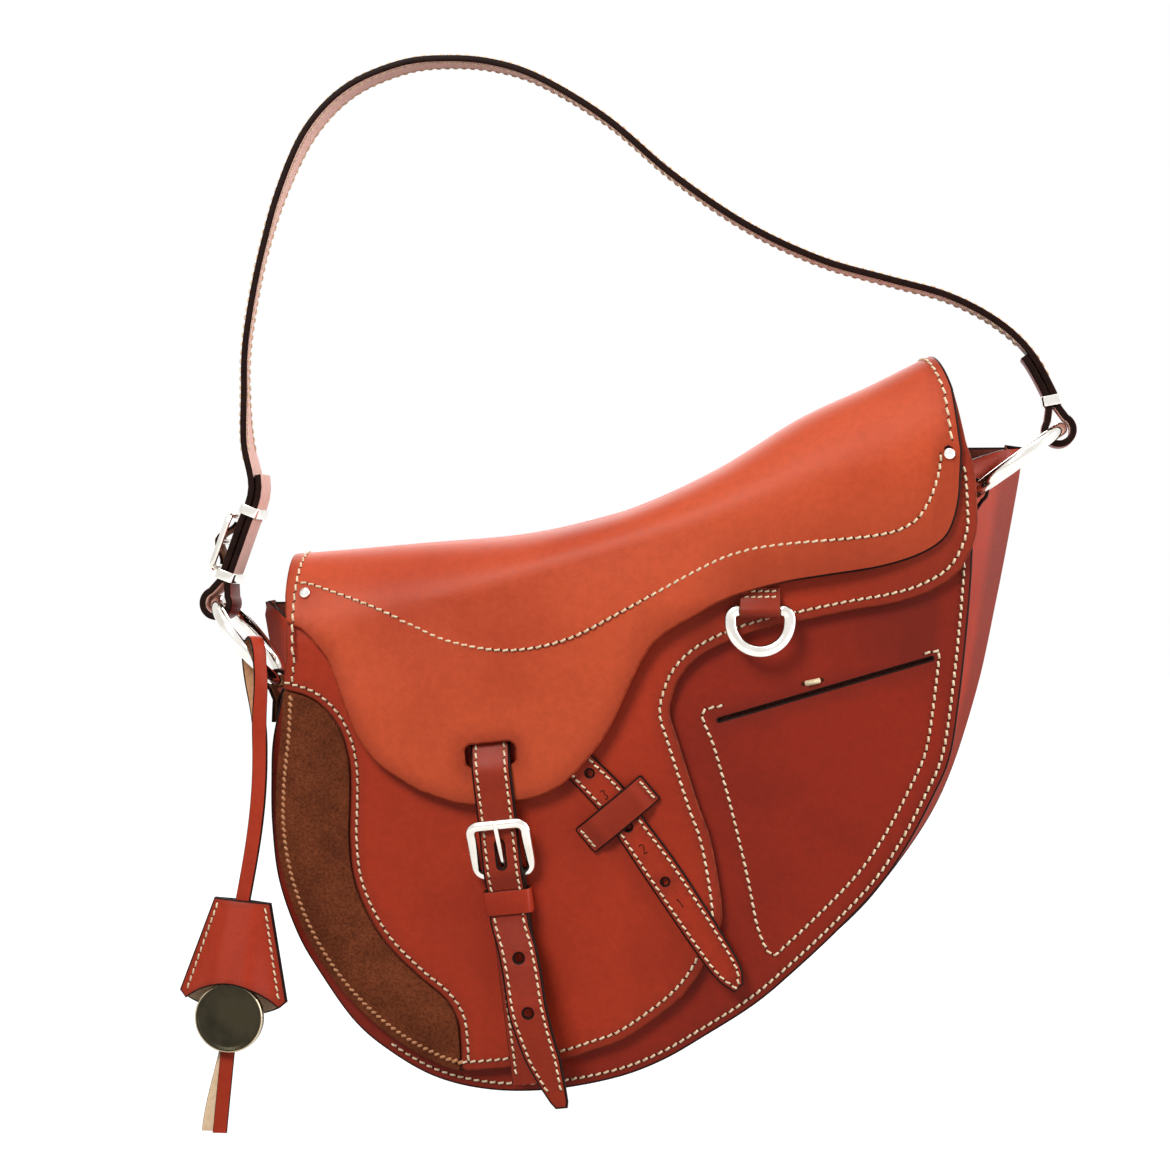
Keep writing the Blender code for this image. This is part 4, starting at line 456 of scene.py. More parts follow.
LEFT_RING = ring_centre(LEFT_TAB, LEFT_RING_TILT, -1)
RIGHT_RING = ring_centre(RIGHT_TAB, RIGHT_RING_TILT, 1)


# Outlines and paths
def capsule(start, end, width, steps=4):
    along = (end - start).normalized()
    heading = math.degrees(math.atan2(along.y, along.x))
    return arc(end, width / 2, heading - 90, heading + 90, steps) + arc(
        start, width / 2, heading + 90, heading + 270, steps)


def evenly(curve, count):
    """Points at equal lengths along a curve."""
    lengths = [0]
    for low, high in zip(curve, curve[1:]):
        lengths.append(lengths[-1] + (high - low).length)
    points = []
    at = 0
    for i in range(count + 1):
        target = lengths[-1] * i / count
        while at < len(curve) - 2 and lengths[at + 1] < target:
            at += 1
        part = (target - lengths[at]) / (lengths[at + 1] - lengths[at])
        points.append(curve[at].lerp(curve[at + 1], part))
    return points


def inset(points, distance):
    """Each point moved to the left of the way the curve runs: inwards, where it runs anticlockwise."""
    moved = []
    for i, point in enumerate(points):
        ahead = points[min(i + 1, len(points) - 1)] - points[max(i - 1, 0)]
        moved.append(point + Vector((-ahead.y, ahead.x)).normalized() * distance)
    return moved


# Bag body
def gusset_sections():
    """Across the gusset at each station: a flange, the folded wall in a curve, and the other flange."""
    front = evenly(curve_of(front_outline_shares), GUSSET_STATIONS)
    back = evenly(curve_of(back_outline_shares), GUSSET_STATIONS)
    front_edge = inset(front, GUSSET_INSET)
    front_end = inset(front, GUSSET_INSET + GUSSET_FLANGE)
    back_edge = inset(back, GUSSET_INSET)
    back_end = inset(back, GUSSET_INSET + GUSSET_FLANGE)
    behind = PANEL_THICKNESS + SEAM_GAP + GUSSET_THICKNESS / 2
    back_depth = TOP_DEPTH - SEAM_GAP - GUSSET_THICKNESS / 2
    sections = []
    for i in range(GUSSET_STATIONS + 1):
        near = on_skin(front_edge[i].x, front_edge[i].y, -behind)
        near_end = on_skin(front_end[i].x, front_end[i].y, -behind)
        far = Vector((back_edge[i].x, back_depth, back_edge[i].y))
        far_end = Vector((back_end[i].x, back_depth, back_end[i].y))
        inward = (front_end[i] - front_edge[i]).normalized()
        openness = abs(2 * i / GUSSET_STATIONS - 1)
        fold = GUSSET_FOLD + (GUSSET_TOP_FOLD - GUSSET_FOLD) * openness**2
        middle = (near + far) / 2 + Vector((inward.x, 0, inward.y)) * fold
        control = 2 * middle - (near + far) / 2
        row = [near_end, near]
        for step in range(1, GUSSET_ROWS + 1):
            t = step / (GUSSET_ROWS + 1)
            row.append(near * (1 - t) ** 2 + control * 2 * t * (1 - t) + far * t**2)
        sections.append(row + [far, far_end])
    return sections


# Lid
def roll_point(share):
    x = share[0] * BAG_WIDTH
    return Vector((x, hinge_height(x) + HINGE_CLEARANCE + (ROLL_LENGTH - HINGE_CLEARANCE) * share[1]))


def lid_outline():
    left = [roll_point(share) for share in lid_left_roll_shares]
    left += curve_of(lid_left_shares, OUTLINE_STEPS)
    right = curve_of(lid_right_shares, OUTLINE_STEPS)[1:]
    right += [roll_point(share) for share in lid_right_roll_shares]
    return left + right


def back_stopped(points, stop):
    """An outline kept a little short of the fold line at the back."""
    kept = []
    for point in points:
        limit = hinge_height(point.x) + ROLL_LENGTH - stop
        kept.append(Vector((point.x, min(point.y, limit))))
    return kept


RIVETS = sized(rivet_shares)


def rivet_holes():
    return [circle(place, RIVET_SHANK_RADIUS + RIVET_CLEARANCE, 8) for place in RIVETS]


def cut_index(curve, point):
    return min(range(len(curve)), key=lambda i: (curve[i] - point).length)


def closure_place(across, up):
    """The closure's own frame: its origin is on the buckle's lower bar, and it leans to the left."""
    upward = Vector((-CLOSURE_LEAN_SLOPE, 1)).normalized()
    sideways = Vector((upward.y, -upward.x))
    return sized((closure_bar_shares,))[0] + sideways * across + upward * up


def on_closure(across, up, offset):
    place = closure_place(across, up)
    return on_skin(place.x, place.y, offset)


def strap_slot():
    box = rounded_box((-SLOT_HALF_WIDTH, SLOT_BOTTOM), (SLOT_HALF_WIDTH, SLOT_TOP), SLOT_CORNER)
    return [closure_place(*point) for point in box]


# Closure: heights along its own frame, and offsets from the skin
TAIL_END = -TAIL_LENGTH
BUCKLE_STRAP_END = -BUCKLE_STRAP_LENGTH
RETURN_END = -RETURN_LENGTH
FIRST_FREE_HOLE = -FIRST_HOLE_DROP
KEEPER_CENTRE = -KEEPER_DROP
KEEPER_BACK = LID_FACE + FIT_GAP
STRAP_BACK = KEEPER_BACK + KEEPER_THICKNESS + FIT_GAP
BACK_LAYER = STRAP_BACK + BUCKLE_STRAP_THICKNESS / 2
FOLD_RADIUS = BUCKLE_BAR_RADIUS + LOOP_CLEARANCE + BUCKLE_STRAP_THICKNESS / 2
BAR_OFFSET = BACK_LAYER + FOLD_RADIUS
FRONT_LAYER = BACK_LAYER + BUCKLE_STRAP_THICKNESS + FIT_GAP
OVER_BAR = BAR_OFFSET + FOLD_RADIUS + BUCKLE_STRAP_THICKNESS / 2 + FIT_GAP + CLOSURE_THICKNESS / 2
IN_KEEPER = FRONT_LAYER + BUCKLE_STRAP_THICKNESS / 2 + FIT_GAP + CLOSURE_THICKNESS / 2
UNDER_LOBE = LID_FACE + FIT_GAP + CLOSURE_THICKNESS / 2
SEAT_FACE = LID_FACE + SEAM_GAP + SEAT_THICKNESS + SEAT_LIFT
OVER_LOBE = SEAT_FACE + FIT_GAP + CLOSURE_THICKNESS / 2
TOP_BAR_OFFSET = OVER_LOBE + CLOSURE_THICKNESS / 2 + FIT_GAP + BUCKLE_WIRE_RADIUS
KEEPER_FRONT = IN_KEEPER + CLOSURE_THICKNESS / 2 + FIT_GAP


def table_value(table, at):
    """Reads a falling table of pairs, straight between its rows."""
    for high, low in zip(table, table[1:]):
        if at >= low[0]:
            part = (at - low[0]) / (high[0] - low[0])
            return low[1] + (high[1] - low[1]) * part
    return table[-1][1]


LEAN = smooth(tail_lean_shares)
STAND = smooth((
    (STRAP_ANCHOR, UNDER_LOBE), (SLOT_TOP, UNDER_LOBE), (SLOT_BOTTOM, OVER_LOBE), (BUCKLE_HEIGHT, OVER_LOBE),
    (0, OVER_BAR), (KEEPER_CENTRE + KEEPER_HEIGHT / 2, IN_KEEPER),
    (KEEPER_CENTRE - KEEPER_HEIGHT / 2, IN_KEEPER),
    (FIRST_FREE_HOLE, IN_KEEPER + TAIL_STAND * first_hole_stand_share),
    (FIRST_FREE_HOLE - HOLE_PITCH, IN_KEEPER + TAIL_STAND),
    (TAIL_END, IN_KEEPER + TAIL_STAND),
), 1)


def closure_centre(up):
    share = up / -TAIL_END
    return table_value(LEAN, share) * CLOSURE_WIDTH


def closure_stand(up):
    return table_value(STAND, up)


def closure_outline():
    """The strap's flat outline, its tail leaning to the right and tapering to a blunt tip."""
    left = []
    right = []
    for i in range(CLOSURE_LEVELS + 1):
        up = STRAP_ANCHOR + (TAIL_END - STRAP_ANCHOR) * i / CLOSURE_LEVELS
        half = table_value(closure_width_shares, up / -TAIL_END) * CLOSURE_WIDTH / 2
        left.append(Vector((closure_centre(up) - half, up)))
        right.append(Vector((closure_centre(up) + half, up)))
    return left + right[::-1]


def buckle_offset(up):
    return BAR_OFFSET + (TOP_BAR_OFFSET - BAR_OFFSET) * up / BUCKLE_HEIGHT


# D-ring and its tab on the lid
DEE_FOLD = DEE_WIRE_RADIUS + LOOP_CLEARANCE + DEE_TAB_THICKNESS / 2
DEE_BACK = LID_FACE + FIT_GAP + DEE_TAB_THICKNESS / 2
DEE_OFFSET = DEE_BACK + DEE_FOLD
DEE_BAR = sized((dee_bar_shares,))[0]
DEE_SPOT = skin(DEE_BAR.x, DEE_BAR.y)
DEE_OUT = skin_normal(DEE_BAR.x, DEE_BAR.y)
DEE_SIDE = Vector((0, 0, 1)).cross(DEE_OUT).normalized()
DEE_RISE = DEE_OUT.cross(DEE_SIDE)


def dee_place(across, up, offset):
    return DEE_SPOT + DEE_SIDE * across + DEE_RISE * up + DEE_OUT * offset


DEE_CENTRE = dee_place(0, 0, DEE_OFFSET)


def ring_sag(width):
    """How far a ring's wire bends away over half the width of a strap that holds it."""
    return RING_RADIUS - math.sqrt(RING_RADIUS**2 - width**2 / 4)


TAB_SAG = ring_sag(TAB_WIDTH)
TAB_LOOP = RING_WIRE_RADIUS + TAB_CLEARANCE + TAB_SAG / 2 + TAB_THICKNESS / 2


def wall_reach(side, low, high):
    """How far out the gusset's outer face comes under a tab, between two heights."""
    reach = []
    sections = gusset_sections()
    for section, following in zip(sections, sections[1:]):
        for start, end in zip(section[1:-1], following[1:-1]):
            for point in evenly([start, end], WALL_STEPS):
                near = abs(point.y - STRAP_DEPTH) < TAB_WIDTH / 2 + GUSSET_FLANGE
                if near and low < point.z < high and side * point.x > 0:
                    reach.append(side * point.x)
    return max(reach) + GUSSET_THICKNESS / 2


# Shoulder strap: it wraps both rings, and each end comes back up on its inner side
STRAP_SAG = ring_sag(STRAP_WIDTH)
STRAP_LOOP = RING_WIRE_RADIUS + TAB_CLEARANCE + STRAP_SAG / 2 + STRAP_THICKNESS / 2
LAYER_PITCH = STRAP_THICKNESS + FIT_GAP


def ring_end(centre, tilt, side):
    """Where the strap holds the ring: the far end of the ring from its tab."""
    reach = RING_RADIUS - STRAP_SAG / 2
    return Vector((centre.x + side * math.cos(tilt) * reach, centre.z + side * math.sin(tilt) * reach))


LEFT_HOLD = ring_end(LEFT_RING, LEFT_RING_TILT, -1)
RIGHT_HOLD = ring_end(RIGHT_RING, RIGHT_RING_TILT, 1)
HOLD_TO_HOLD = RIGHT_HOLD - LEFT_HOLD
SQUARE_TO_HOLDS = Vector((-HOLD_TO_HOLD.y, HOLD_TO_HOLD.x))


def between_holds(share):
    """A direction or a distance from the left ring's hold, as shares of the way to the right one."""
    return HOLD_TO_HOLD * share[0] + SQUARE_TO_HOLDS * share[1]


LEFT_UP = between_holds(left_strap_turn_shares).normalized()
RIGHT_UP = between_holds(right_strap_turn_shares).normalized()


def cut_to(points, length):
    """The first stretch of a path, as long as asked."""
    kept = [points[0]]
    for low, high in zip(points, points[1:]):
        step = (high - low).length
        if step >= length:
            kept.append(low.lerp(high, length / step))
            return kept
        length -= step
        kept.append(high)
    return kept


def strap_paths():
    """The run from ring to ring, and the full path with both loops and both returning ends."""
    left_side = Vector((-LEFT_UP.y, LEFT_UP.x)) * LAYER_PITCH / 2
    right_side = Vector((RIGHT_UP.y, -RIGHT_UP.x)) * LAYER_PITCH / 2
    left_start = [LEFT_HOLD + LEFT_UP * (STRAP_NECK + rise) + left_side for rise in (0, ADJUSTER_HEIGHT)]
    right_end = [RIGHT_HOLD + RIGHT_UP * (STRAP_NECK + rise) + right_side for rise in (STRAP_NECK / 2, 0)]
    arch = [LEFT_HOLD + between_holds(share) for share in strap_shares]
    run = evenly(smooth(left_start + arch + right_end), STRAP_STEPS)
    left_heading = math.degrees(math.atan2(LEFT_UP.y, LEFT_UP.x))
    right_heading = math.degrees(math.atan2(RIGHT_UP.y, RIGHT_UP.x))
    around = STRAP_LOOP_OPENING - 360
    left_first = left_heading - STRAP_LOOP_OPENING
    left_arc = arc(LEFT_HOLD, STRAP_LOOP, left_first, left_heading + around, LOOP_STEPS)
    right_first = right_heading - STRAP_LOOP_OPENING
    right_arc = arc(RIGHT_HOLD, STRAP_LOOP, right_first, right_heading + around, LOOP_STEPS)
    left_return = cut_to(inset(run, -LAYER_PITCH), LEFT_RETURN)
    right_return = cut_to(inset(run[::-1], LAYER_PITCH), RIGHT_RETURN)
    full = left_return[::-1] + left_arc + run + right_arc + right_return
    return run, full


RUN, STRAP_PATH = strap_paths()


def point_on_run(run, distance):
    """A place along a path and the direction there."""
    for low, high in zip(run, run[1:]):
        step = (high - low).length
        if step >= distance:
            return low.lerp(high, distance / step), (high - low).normalized()
        distance -= step
    return run[-1], (run[-1] - run[-2]).normalized()


# Clochette
def lace_hang():
    """The place on the left ring's wire where the lace hangs, in front of the tab."""
    out = Vector((-math.cos(LEFT_RING_TILT), 0, -math.sin(LEFT_RING_TILT)))
    forward = Vector((0, -1, 0))
    reach = forward * math.sin(LACE_HANG_ANGLE) - out * math.cos(LACE_HANG_ANGLE)
    return LEFT_RING + reach * RING_RADIUS


HANG = lace_hang()
BELL_TOP = HANG - Vector((LACE_LEAN, 0, LACE_DROP))
BELL_UP = Vector((BELL_LEAN, 0, 1)).normalized()
BELL_SIDE = Vector((BELL_UP.z, 0, -BELL_UP.x))
LACE_HALF_PITCH = (LACE_THICKNESS + FIT_GAP) / 2
BELL_TOP_BULGE = LACE_HALF_PITCH + LACE_THICKNESS / 2 + FIT_GAP - BELL_SEAM / 2


def in_bell(across, up, depth):
    """The bell's own frame: its origin is at the middle of its top, with depth towards the back."""
    return BELL_TOP + BELL_SIDE * across + BELL_UP * up + Vector((0, depth, 0))


def bell_half_width(up):
    share = -up / BELL_HEIGHT
    return (BELL_TOP_WIDTH + (BELL_BOTTOM_WIDTH - BELL_TOP_WIDTH) * share) / 2


def lace_pair(distance):
    """The middle of the two strands at a distance down from the ring, with their twist and spacing."""
    drop_to_bell = HANG.z - BELL_TOP.z
    if distance <= drop_to_bell:
        share = distance / drop_to_bell
        bow = LACE_BOW * math.sin(math.pi * share)
        place = HANG.lerp(BELL_TOP, share) + Vector((bow, 0, 0))
    else:
        place = BELL_TOP - BELL_UP * (distance - drop_to_bell)
    twist = LACE_TWIST * (1 - smooth_step(distance / LACE_TWIST_LENGTH))
    opening = 1 - smooth_step((distance - LACE_LOOP_RUN) / LACE_CLOSE_LENGTH)
    half = LACE_HALF_PITCH + (LACE_LOOP_HALF - LACE_HALF_PITCH) * opening
    return place, twist, half


MEDALLION_DEPTH = -(2 * LACE_HALF_PITCH + LACE_THICKNESS) / 2 - FIT_GAP - MEDALLION_THICKNESS / 2


CROWN = max(RUN, key=lambda point: point.y)
ROOT = Vector((-CROWN.x, -STRAP_DEPTH, -CROWN.y - STRAP_THICKNESS / 2))


# Materials
class Tree:
    """A node tree in the making, with the few kinds of nodes that the looks are built from."""

    def __init__(self, owner):
        owner.use_nodes = True
        self.owner = owner
        self.nodes = owner.node_tree.nodes
        self.links = owner.node_tree.links

    def fill(self, socket, value):
        """Links an output to a socket, or sets the socket to a number or a colour."""
        if isinstance(value, bpy.types.NodeSocket):
            self.links.new(value, socket)
        else:
            socket.default_value = (*value, 1) if isinstance(value, tuple) else value

    def maths(self, operation, *values):
        made = self.nodes.new("ShaderNodeMath")
        made.operation = operation
        for socket, value in zip(made.inputs, values):
            self.fill(socket, value)
        return made.outputs[0]

    def scaled(self, value, factor, add=0.0):
        return self.maths("MULTIPLY_ADD", value, factor, add)

    def summed(self, first, second):
        return self.maths("ADD", first, second)

    def seen_rays(self):
        """1 for the rays of the camera and of mirrors and glass, which see the white surroundings."""
        path = self.nodes.new("ShaderNodeLightPath").outputs
        seen = self.summed(path["Is Camera Ray"], path["Is Glossy Ray"])
        return self.summed(seen, path["Is Transmission Ray"])


class Look(Tree):
    """A material on one shader, with textures in its piece's own coordinates."""

    def __init__(self, name):
        super().__init__(bpy.data.materials.new(name))
        self.shader = self.nodes["Principled BSDF"]
        self.coords = self.nodes.new("ShaderNodeTexCoord").outputs["Object"]

    def shade(self, socket, value):
        self.fill(self.shader.inputs[socket], value)

    def texture(self, kind, output="Fac", **values):
        made = self.nodes.new("ShaderNodeTex" + kind)
        for socket, value in values.items():
            made.inputs[socket].default_value = value
        self.links.new(self.coords, made.inputs["Vector"])
        return made.outputs[output]

    def noise(self, scale, detail, rough):
        return self.texture("Noise", Scale=scale, Detail=detail, Roughness=rough)

    def ramp(self, source, first, last, *between):
        """Colours by a factor, from pairs of a place and a colour."""
        made = self.nodes.new("ShaderNodeValToRGB")
        elements = made.color_ramp.elements
        for element, (place, colour) in zip(elements, (first, last)):
            element.position = place
            element.color = (*colour, 1)
        for place, colour in between:
            elements.new(place).color = (*colour, 1)
        self.links.new(source, made.inputs["Fac"])
        return made.outputs["Color"]

    def mixed(self, factor, first, second, mode="MIX"):
        made = self.nodes.new("ShaderNodeMix")
        made.data_type = "RGBA"
        made.blend_type = mode
        for socket, value in ((0, factor), (6, first), (7, second)):
            self.fill(made.inputs[socket], value)
        return made.outputs[2]

    def bump(self, height, strength, distance):
        made = self.nodes.new("ShaderNodeBump")
        made.inputs["Strength"].default_value = strength
        made.inputs["Distance"].default_value = distance
        self.links.new(height, made.inputs["Height"])
        self.links.new(made.outputs["Normal"], self.shader.inputs["Normal"])


def leather_look(name, light, dark, edge):
    """Smooth dyed leather: cloudy dye, fine pores, and a darker band towards its cut edges."""
    look = Look(name)
    cloud = look.noise(11, 4, 0.55)
    speck = look.noise(330, 3, 0.65)
    fine = look.noise(1500, 2, 0.6)
    pores = look.texture("Voronoi", "Distance", Scale=1050)
    dye = look.ramp(cloud, (0.30, dark), (0.78, light), (0.52, light))
    speckled = look.ramp(speck, (0.30, (0.80, 0.76, 0.74)), (0.62, (1.0, 1.0, 1.0)))
    base = look.mixed(0.55, dye, speckled, "MULTIPLY")
    rim = look.nodes.new("ShaderNodeAttribute")
    rim.attribute_name = "edge"
    rim_share = look.ramp(rim.outputs["Fac"], (0.0, (0.0, 0.0, 0.0)), (1.0, (0.5, 0.5, 0.5)))
    look.shade("Base Color", look.mixed(rim_share, base, edge))
    look.shade("Roughness", look.scaled(speck, 0.16, 0.40))
    look.shade("Specular IOR Level", 0.20)
    height = look.summed(look.scaled(pores, 0.5), look.scaled(fine, 0.6))
    look.bump(look.summed(height, look.scaled(speck, 0.9)), 0.22, 0.00022)
    return look.owner


def edge_look(name, colour, turn=None):
    """The burnished cut edge of a strap or sheet, which may darken to the right between two places: partly
    dark edge paint, partly painted shade below the edge.
    """
    look = Look(name)
    streak = look.noise(260, 3, 0.6)
    lighter = tuple(min(value * 1.9, 1) for value in colour)
    base = look.ramp(streak, (0.35, colour), (0.75, lighter))
    if turn:
        split = look.nodes.new("ShaderNodeSeparateXYZ")
        look.links.new(look.coords, split.inputs["Vector"])
        place = look.nodes.new("ShaderNodeMapRange")
        look.links.new(split.outputs["X"], place.inputs["Value"])
        place.inputs["From Min"].default_value, place.inputs["From Max"].default_value = turn
        base = look.mixed(place.outputs["Result"], base, EDGE_TONE)
    look.shade("Base Color", base)
    look.shade("Roughness", look.scaled(streak, 0.2, 0.34))
    look.shade("Specular IOR Level", 0.06)
    look.bump(streak, 0.25, 0.0003)
    return look.owner


def flesh_look(name, light, dark):
    """The matt inner side of leather."""
    look = Look(name)
    nap = look.noise(520, 4, 0.7)
    look.shade("Base Color", look.ramp(nap, (0.32, dark), (0.68, light)))
    look.shade("Roughness", look.scaled(nap, 0.15, 0.72))
    look.bump(nap, 0.4, 0.0003)
    return look.owner


def suede_look(name):
    """Brushed suede: a short nap, worn in strokes and clouds."""
    look = Look(name)
    nap = look.noise(900, 4, 0.75)
    brushed = look.noise(75, 4, 0.6)
    cloud = look.noise(22, 3, 0.5)
    tone = look.ramp(nap, (0.30, (0.085, 0.020, 0.008)), (0.70, (0.270, 0.070, 0.027)))
    worn = look.ramp(brushed, (0.35, (0.62, 0.60, 0.58)), (0.66, (1.10, 1.08, 1.05)))
    shade = look.ramp(cloud, (0.36, (0.72, 0.70, 0.68)), (0.64, (1.05, 1.04, 1.03)))
    base = look.mixed(0.75, tone, worn, "MULTIPLY")
    look.shade("Base Color", look.mixed(0.6, base, shade, "MULTIPLY"))
    look.shade("Roughness", look.scaled(nap, 0.1, 0.88))
    look.shade("Specular IOR Level", 0.10)
    look.shade("Sheen Weight", 0.08)
    look.shade("Sheen Roughness", 0.45)
    look.shade("Sheen Tint", (0.80, 0.40, 0.22))
    look.bump(look.summed(nap, look.scaled(brushed, 0.8)), 0.55, 0.0006)
    return look.owner


def metal_look(name, colour, rough, tarnish, dull=0.0):
    """Plated metal with fine hairline marks and a little tarnish."""
    look = Look(name)
    marks = look.noise(480, 4, 0.7)
    look.shade("Base Color", look.ramp(look.noise(60, 3, 0.6), (0.34, tarnish), (0.58, colour)))
    look.shade("Metallic", 1.0 - dull)
    look.shade("Roughness", look.scaled(marks, 0.10, rough))
    look.bump(marks, 0.06, 0.00012)
    return look.owner


def thread_look(name, light, dark):
    """Waxed linen thread: twisted strands."""
    look = Look(name)
    strands = look.texture("Wave", Scale=620, Distortion=1.5)
    fluff = look.noise(900, 2, 0.6)
    look.shade("Base Color", look.ramp(fluff, (0.3, dark), (0.62, light)))
    look.shade("Roughness", look.scaled(fluff, 0.2, 0.45))
    look.bump(strands, 0.45, 0.00015)
    return look.owner


EDGE_TONE = (0.009, 0.003, 0.002)
# Where the seat's edge darkens to black on the right: partly dark edge paint, partly painted shade below the
# edge.
SEAT_EDGE_SHADE_TURN = (0.105, 0.150)
LEATHER = leather_look("rust_leather", (0.420, 0.036, 0.011), (0.310, 0.023, 0.007), (0.110, 0.014, 0.007))
# The seat's copy of the rust leather is lighter: painted light on the seat, which lies at the top where more
# light falls.
SEAT_LEATHER_PAINTED_LIGHT = leather_look(
    "seat_leather_painted_light", (0.580, 0.082, 0.027), (0.450, 0.053, 0.017), (0.190, 0.019, 0.008))
# The front panel's copy of the rust leather is darker: painted shade below the lid.
PANEL_LEATHER_PAINTED_SHADE = leather_look(
    "panel_leather_painted_shade", (0.280, 0.019, 0.006), (0.205, 0.013, 0.004), (0.085, 0.007, 0.003))
BURNISHED = edge_look("burnished_edge", EDGE_TONE)
WARM_EDGE = edge_look("warm_burnished_edge", (0.12, 0.030, 0.014))
FACING_EDGE = edge_look("facing_edge", (0.150, 0.020, 0.008))
SEAT_EDGE = edge_look("seat_edge_with_painted_shade", (0.250, 0.034, 0.013), SEAT_EDGE_SHADE_TURN)
FLESH = flesh_look("flesh_side", (0.62, 0.33, 0.17), (0.45, 0.21, 0.10))
PINK_FLESH = flesh_look("strap_underside", (0.90, 0.58, 0.50), (0.76, 0.44, 0.37))
TAN_FLESH = flesh_look("tan_inner_side", (0.94, 0.70, 0.46), (0.84, 0.58, 0.36))
LINING = flesh_look("lining_leather", (0.26, 0.050, 0.026), (0.17, 0.030, 0.016))
SUEDE = suede_look("suede")
NICKEL = metal_look("polished_nickel", (0.90, 0.87, 0.82), 0.06, (0.74, 0.70, 0.63))
BRONZE = metal_look("antique_bronze", (0.042, 0.034, 0.018), 0.30, (0.022, 0.018, 0.010), 0.15)
RUBBED = metal_look("rubbed_bronze", (0.62, 0.52, 0.36), 0.22, (0.34, 0.27, 0.16))
THREAD = thread_look("ivory_thread", (0.86, 0.72, 0.50), (0.60, 0.43, 0.24))
TAN_THREAD = thread_look("tan_thread", (0.60, 0.27, 0.12), (0.42, 0.17, 0.07))
# Painted shade: flat dark discs stand for the shade inside needle holes; the stamped numerals use the same
# dark.
HOLE_SHADE_AND_STAMP = edge_look("needle_hole_shade_and_stamp", (0.035, 0.008, 0.004))

# The looks of a sheet or strap: its upper face, its cut edges, its lower face
STRAP_LOOKS = [LEATHER, BURNISHED, FLESH]
LINED_LOOKS = [LEATHER, BURNISHED, LINING]
METAL_LOOKS = [NICKEL, NICKEL, NICKEL]


# Building pieces
def finish_piece(name, mesh, looks, body, node=None, slot=None, smooth=40):
    """Moves a mesh from the bag's frame to the row's, and makes it a piece that rides on its body."""
    mesh.transform(Matrix.Translation(ROOT))
    for polygon in mesh.polygons:
        polygon.use_smooth = True
    mesh.set_sharp_from_angle(angle=math.radians(smooth))
    marks = [polygon.material_index for polygon in mesh.polygons]
    mesh.materials.clear()
    for look in looks:
        mesh.materials.append(look)
    mesh.polygons.foreach_set("material_index", marks)
    piece = bpy.data.objects.new(name, mesh)
    bpy.context.scene.collection.objects.link(piece)
    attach(piece, body)
    if node:
        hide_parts(node)
    if slot or node:
        slot or node
    return piece


def meshed(work, name, outward=False):
    """Ends the work on a new mesh, with its faces turned outward where asked."""
    if outward:
        bmesh.ops.recalc_face_normals(work, faces=work.faces)
    mesh = bpy.data.meshes.new(name)
    work.to_mesh(mesh)
    work.free()
    return mesh


def edged(mesh, values):
    """Stores how near each point is to a cut edge, which the leather's look reads."""
    mesh.attributes.new("edge", "FLOAT", "POINT").data.foreach_set("value", values)


def spread(start, end, count):
    """Evenly spaced values from start to end, with both."""
    return [start + (end - start) * i / count for i in range(count + 1)]


def path_length(path):
    return sum((high - low).length for low, high in zip(path, path[1:]))


def evaluated(curve):
    holder = bpy.data.objects.new(curve.name, curve)
    bpy.context.scene.collection.objects.link(holder)
    graph = bpy.context.evaluated_depsgraph_get()
    mesh = bpy.data.meshes.new_from_object(holder.evaluated_get(graph))
    bpy.data.objects.remove(holder)
    bpy.data.curves.remove(curve)
    return mesh


PLATE_FLATNESS = math.radians(0.2)
plate_rounding_share = 0.44
PLATE_MAX_ROUNDING = 0.0009


def plate(loops, thickness, rounding, fine=2):
    """A flat plate with rounded cut edges: faces are marked 0 on top, 1 round the edge, 2 underneath."""
    curve = bpy.data.curves.new("plate", "CURVE")
    curve.dimensions = "2D"
    curve.fill_mode = "BOTH"
    curve.extrude = thickness / 2 - rounding
    curve.bevel_depth = rounding
    curve.bevel_resolution = fine
    curve.offset = -rounding
    for loop in loops:
        spline = curve.splines.new("POLY")
        spline.points.add(len(loop) - 1)
        for point, (x, y) in zip(spline.points, loop):
            point.co = (x, y, 0, 1)
        spline.use_cyclic_u = True
    mesh = evaluated(curve)
    work = bmesh.new()
    work.from_mesh(mesh)
    bmesh.ops.remove_doubles(work, verts=work.verts, dist=WELD * 5)
    level = thickness / 2 - WELD * 10
    for face in work.faces:
        top = all(vertex.co.z > level for vertex in face.verts)
        low = all(vertex.co.z < -level for vertex in face.verts)
        face.material_index = 0 if top else 2 if low else 1
    bmesh.ops.dissolve_limit(work, angle_limit=PLATE_FLATNESS, verts=work.verts, edges=work.edges,
                             delimit={"NORMAL", "MATERIAL"})
    work.to_mesh(mesh)
    work.free()
    return mesh


def cut(mesh, cuts):
    """Cuts a plate's faces along planes, so that it can bend there."""
    work = bmesh.new()
    work.from_mesh(mesh)
    for point, normal in cuts:
        geometry = work.verts[:] + work.edges[:] + work.faces[:]
        bmesh.ops.bisect_plane(work, geom=geometry, dist=WELD, plane_co=point, plane_no=normal)
    work.to_mesh(mesh)
    work.free()


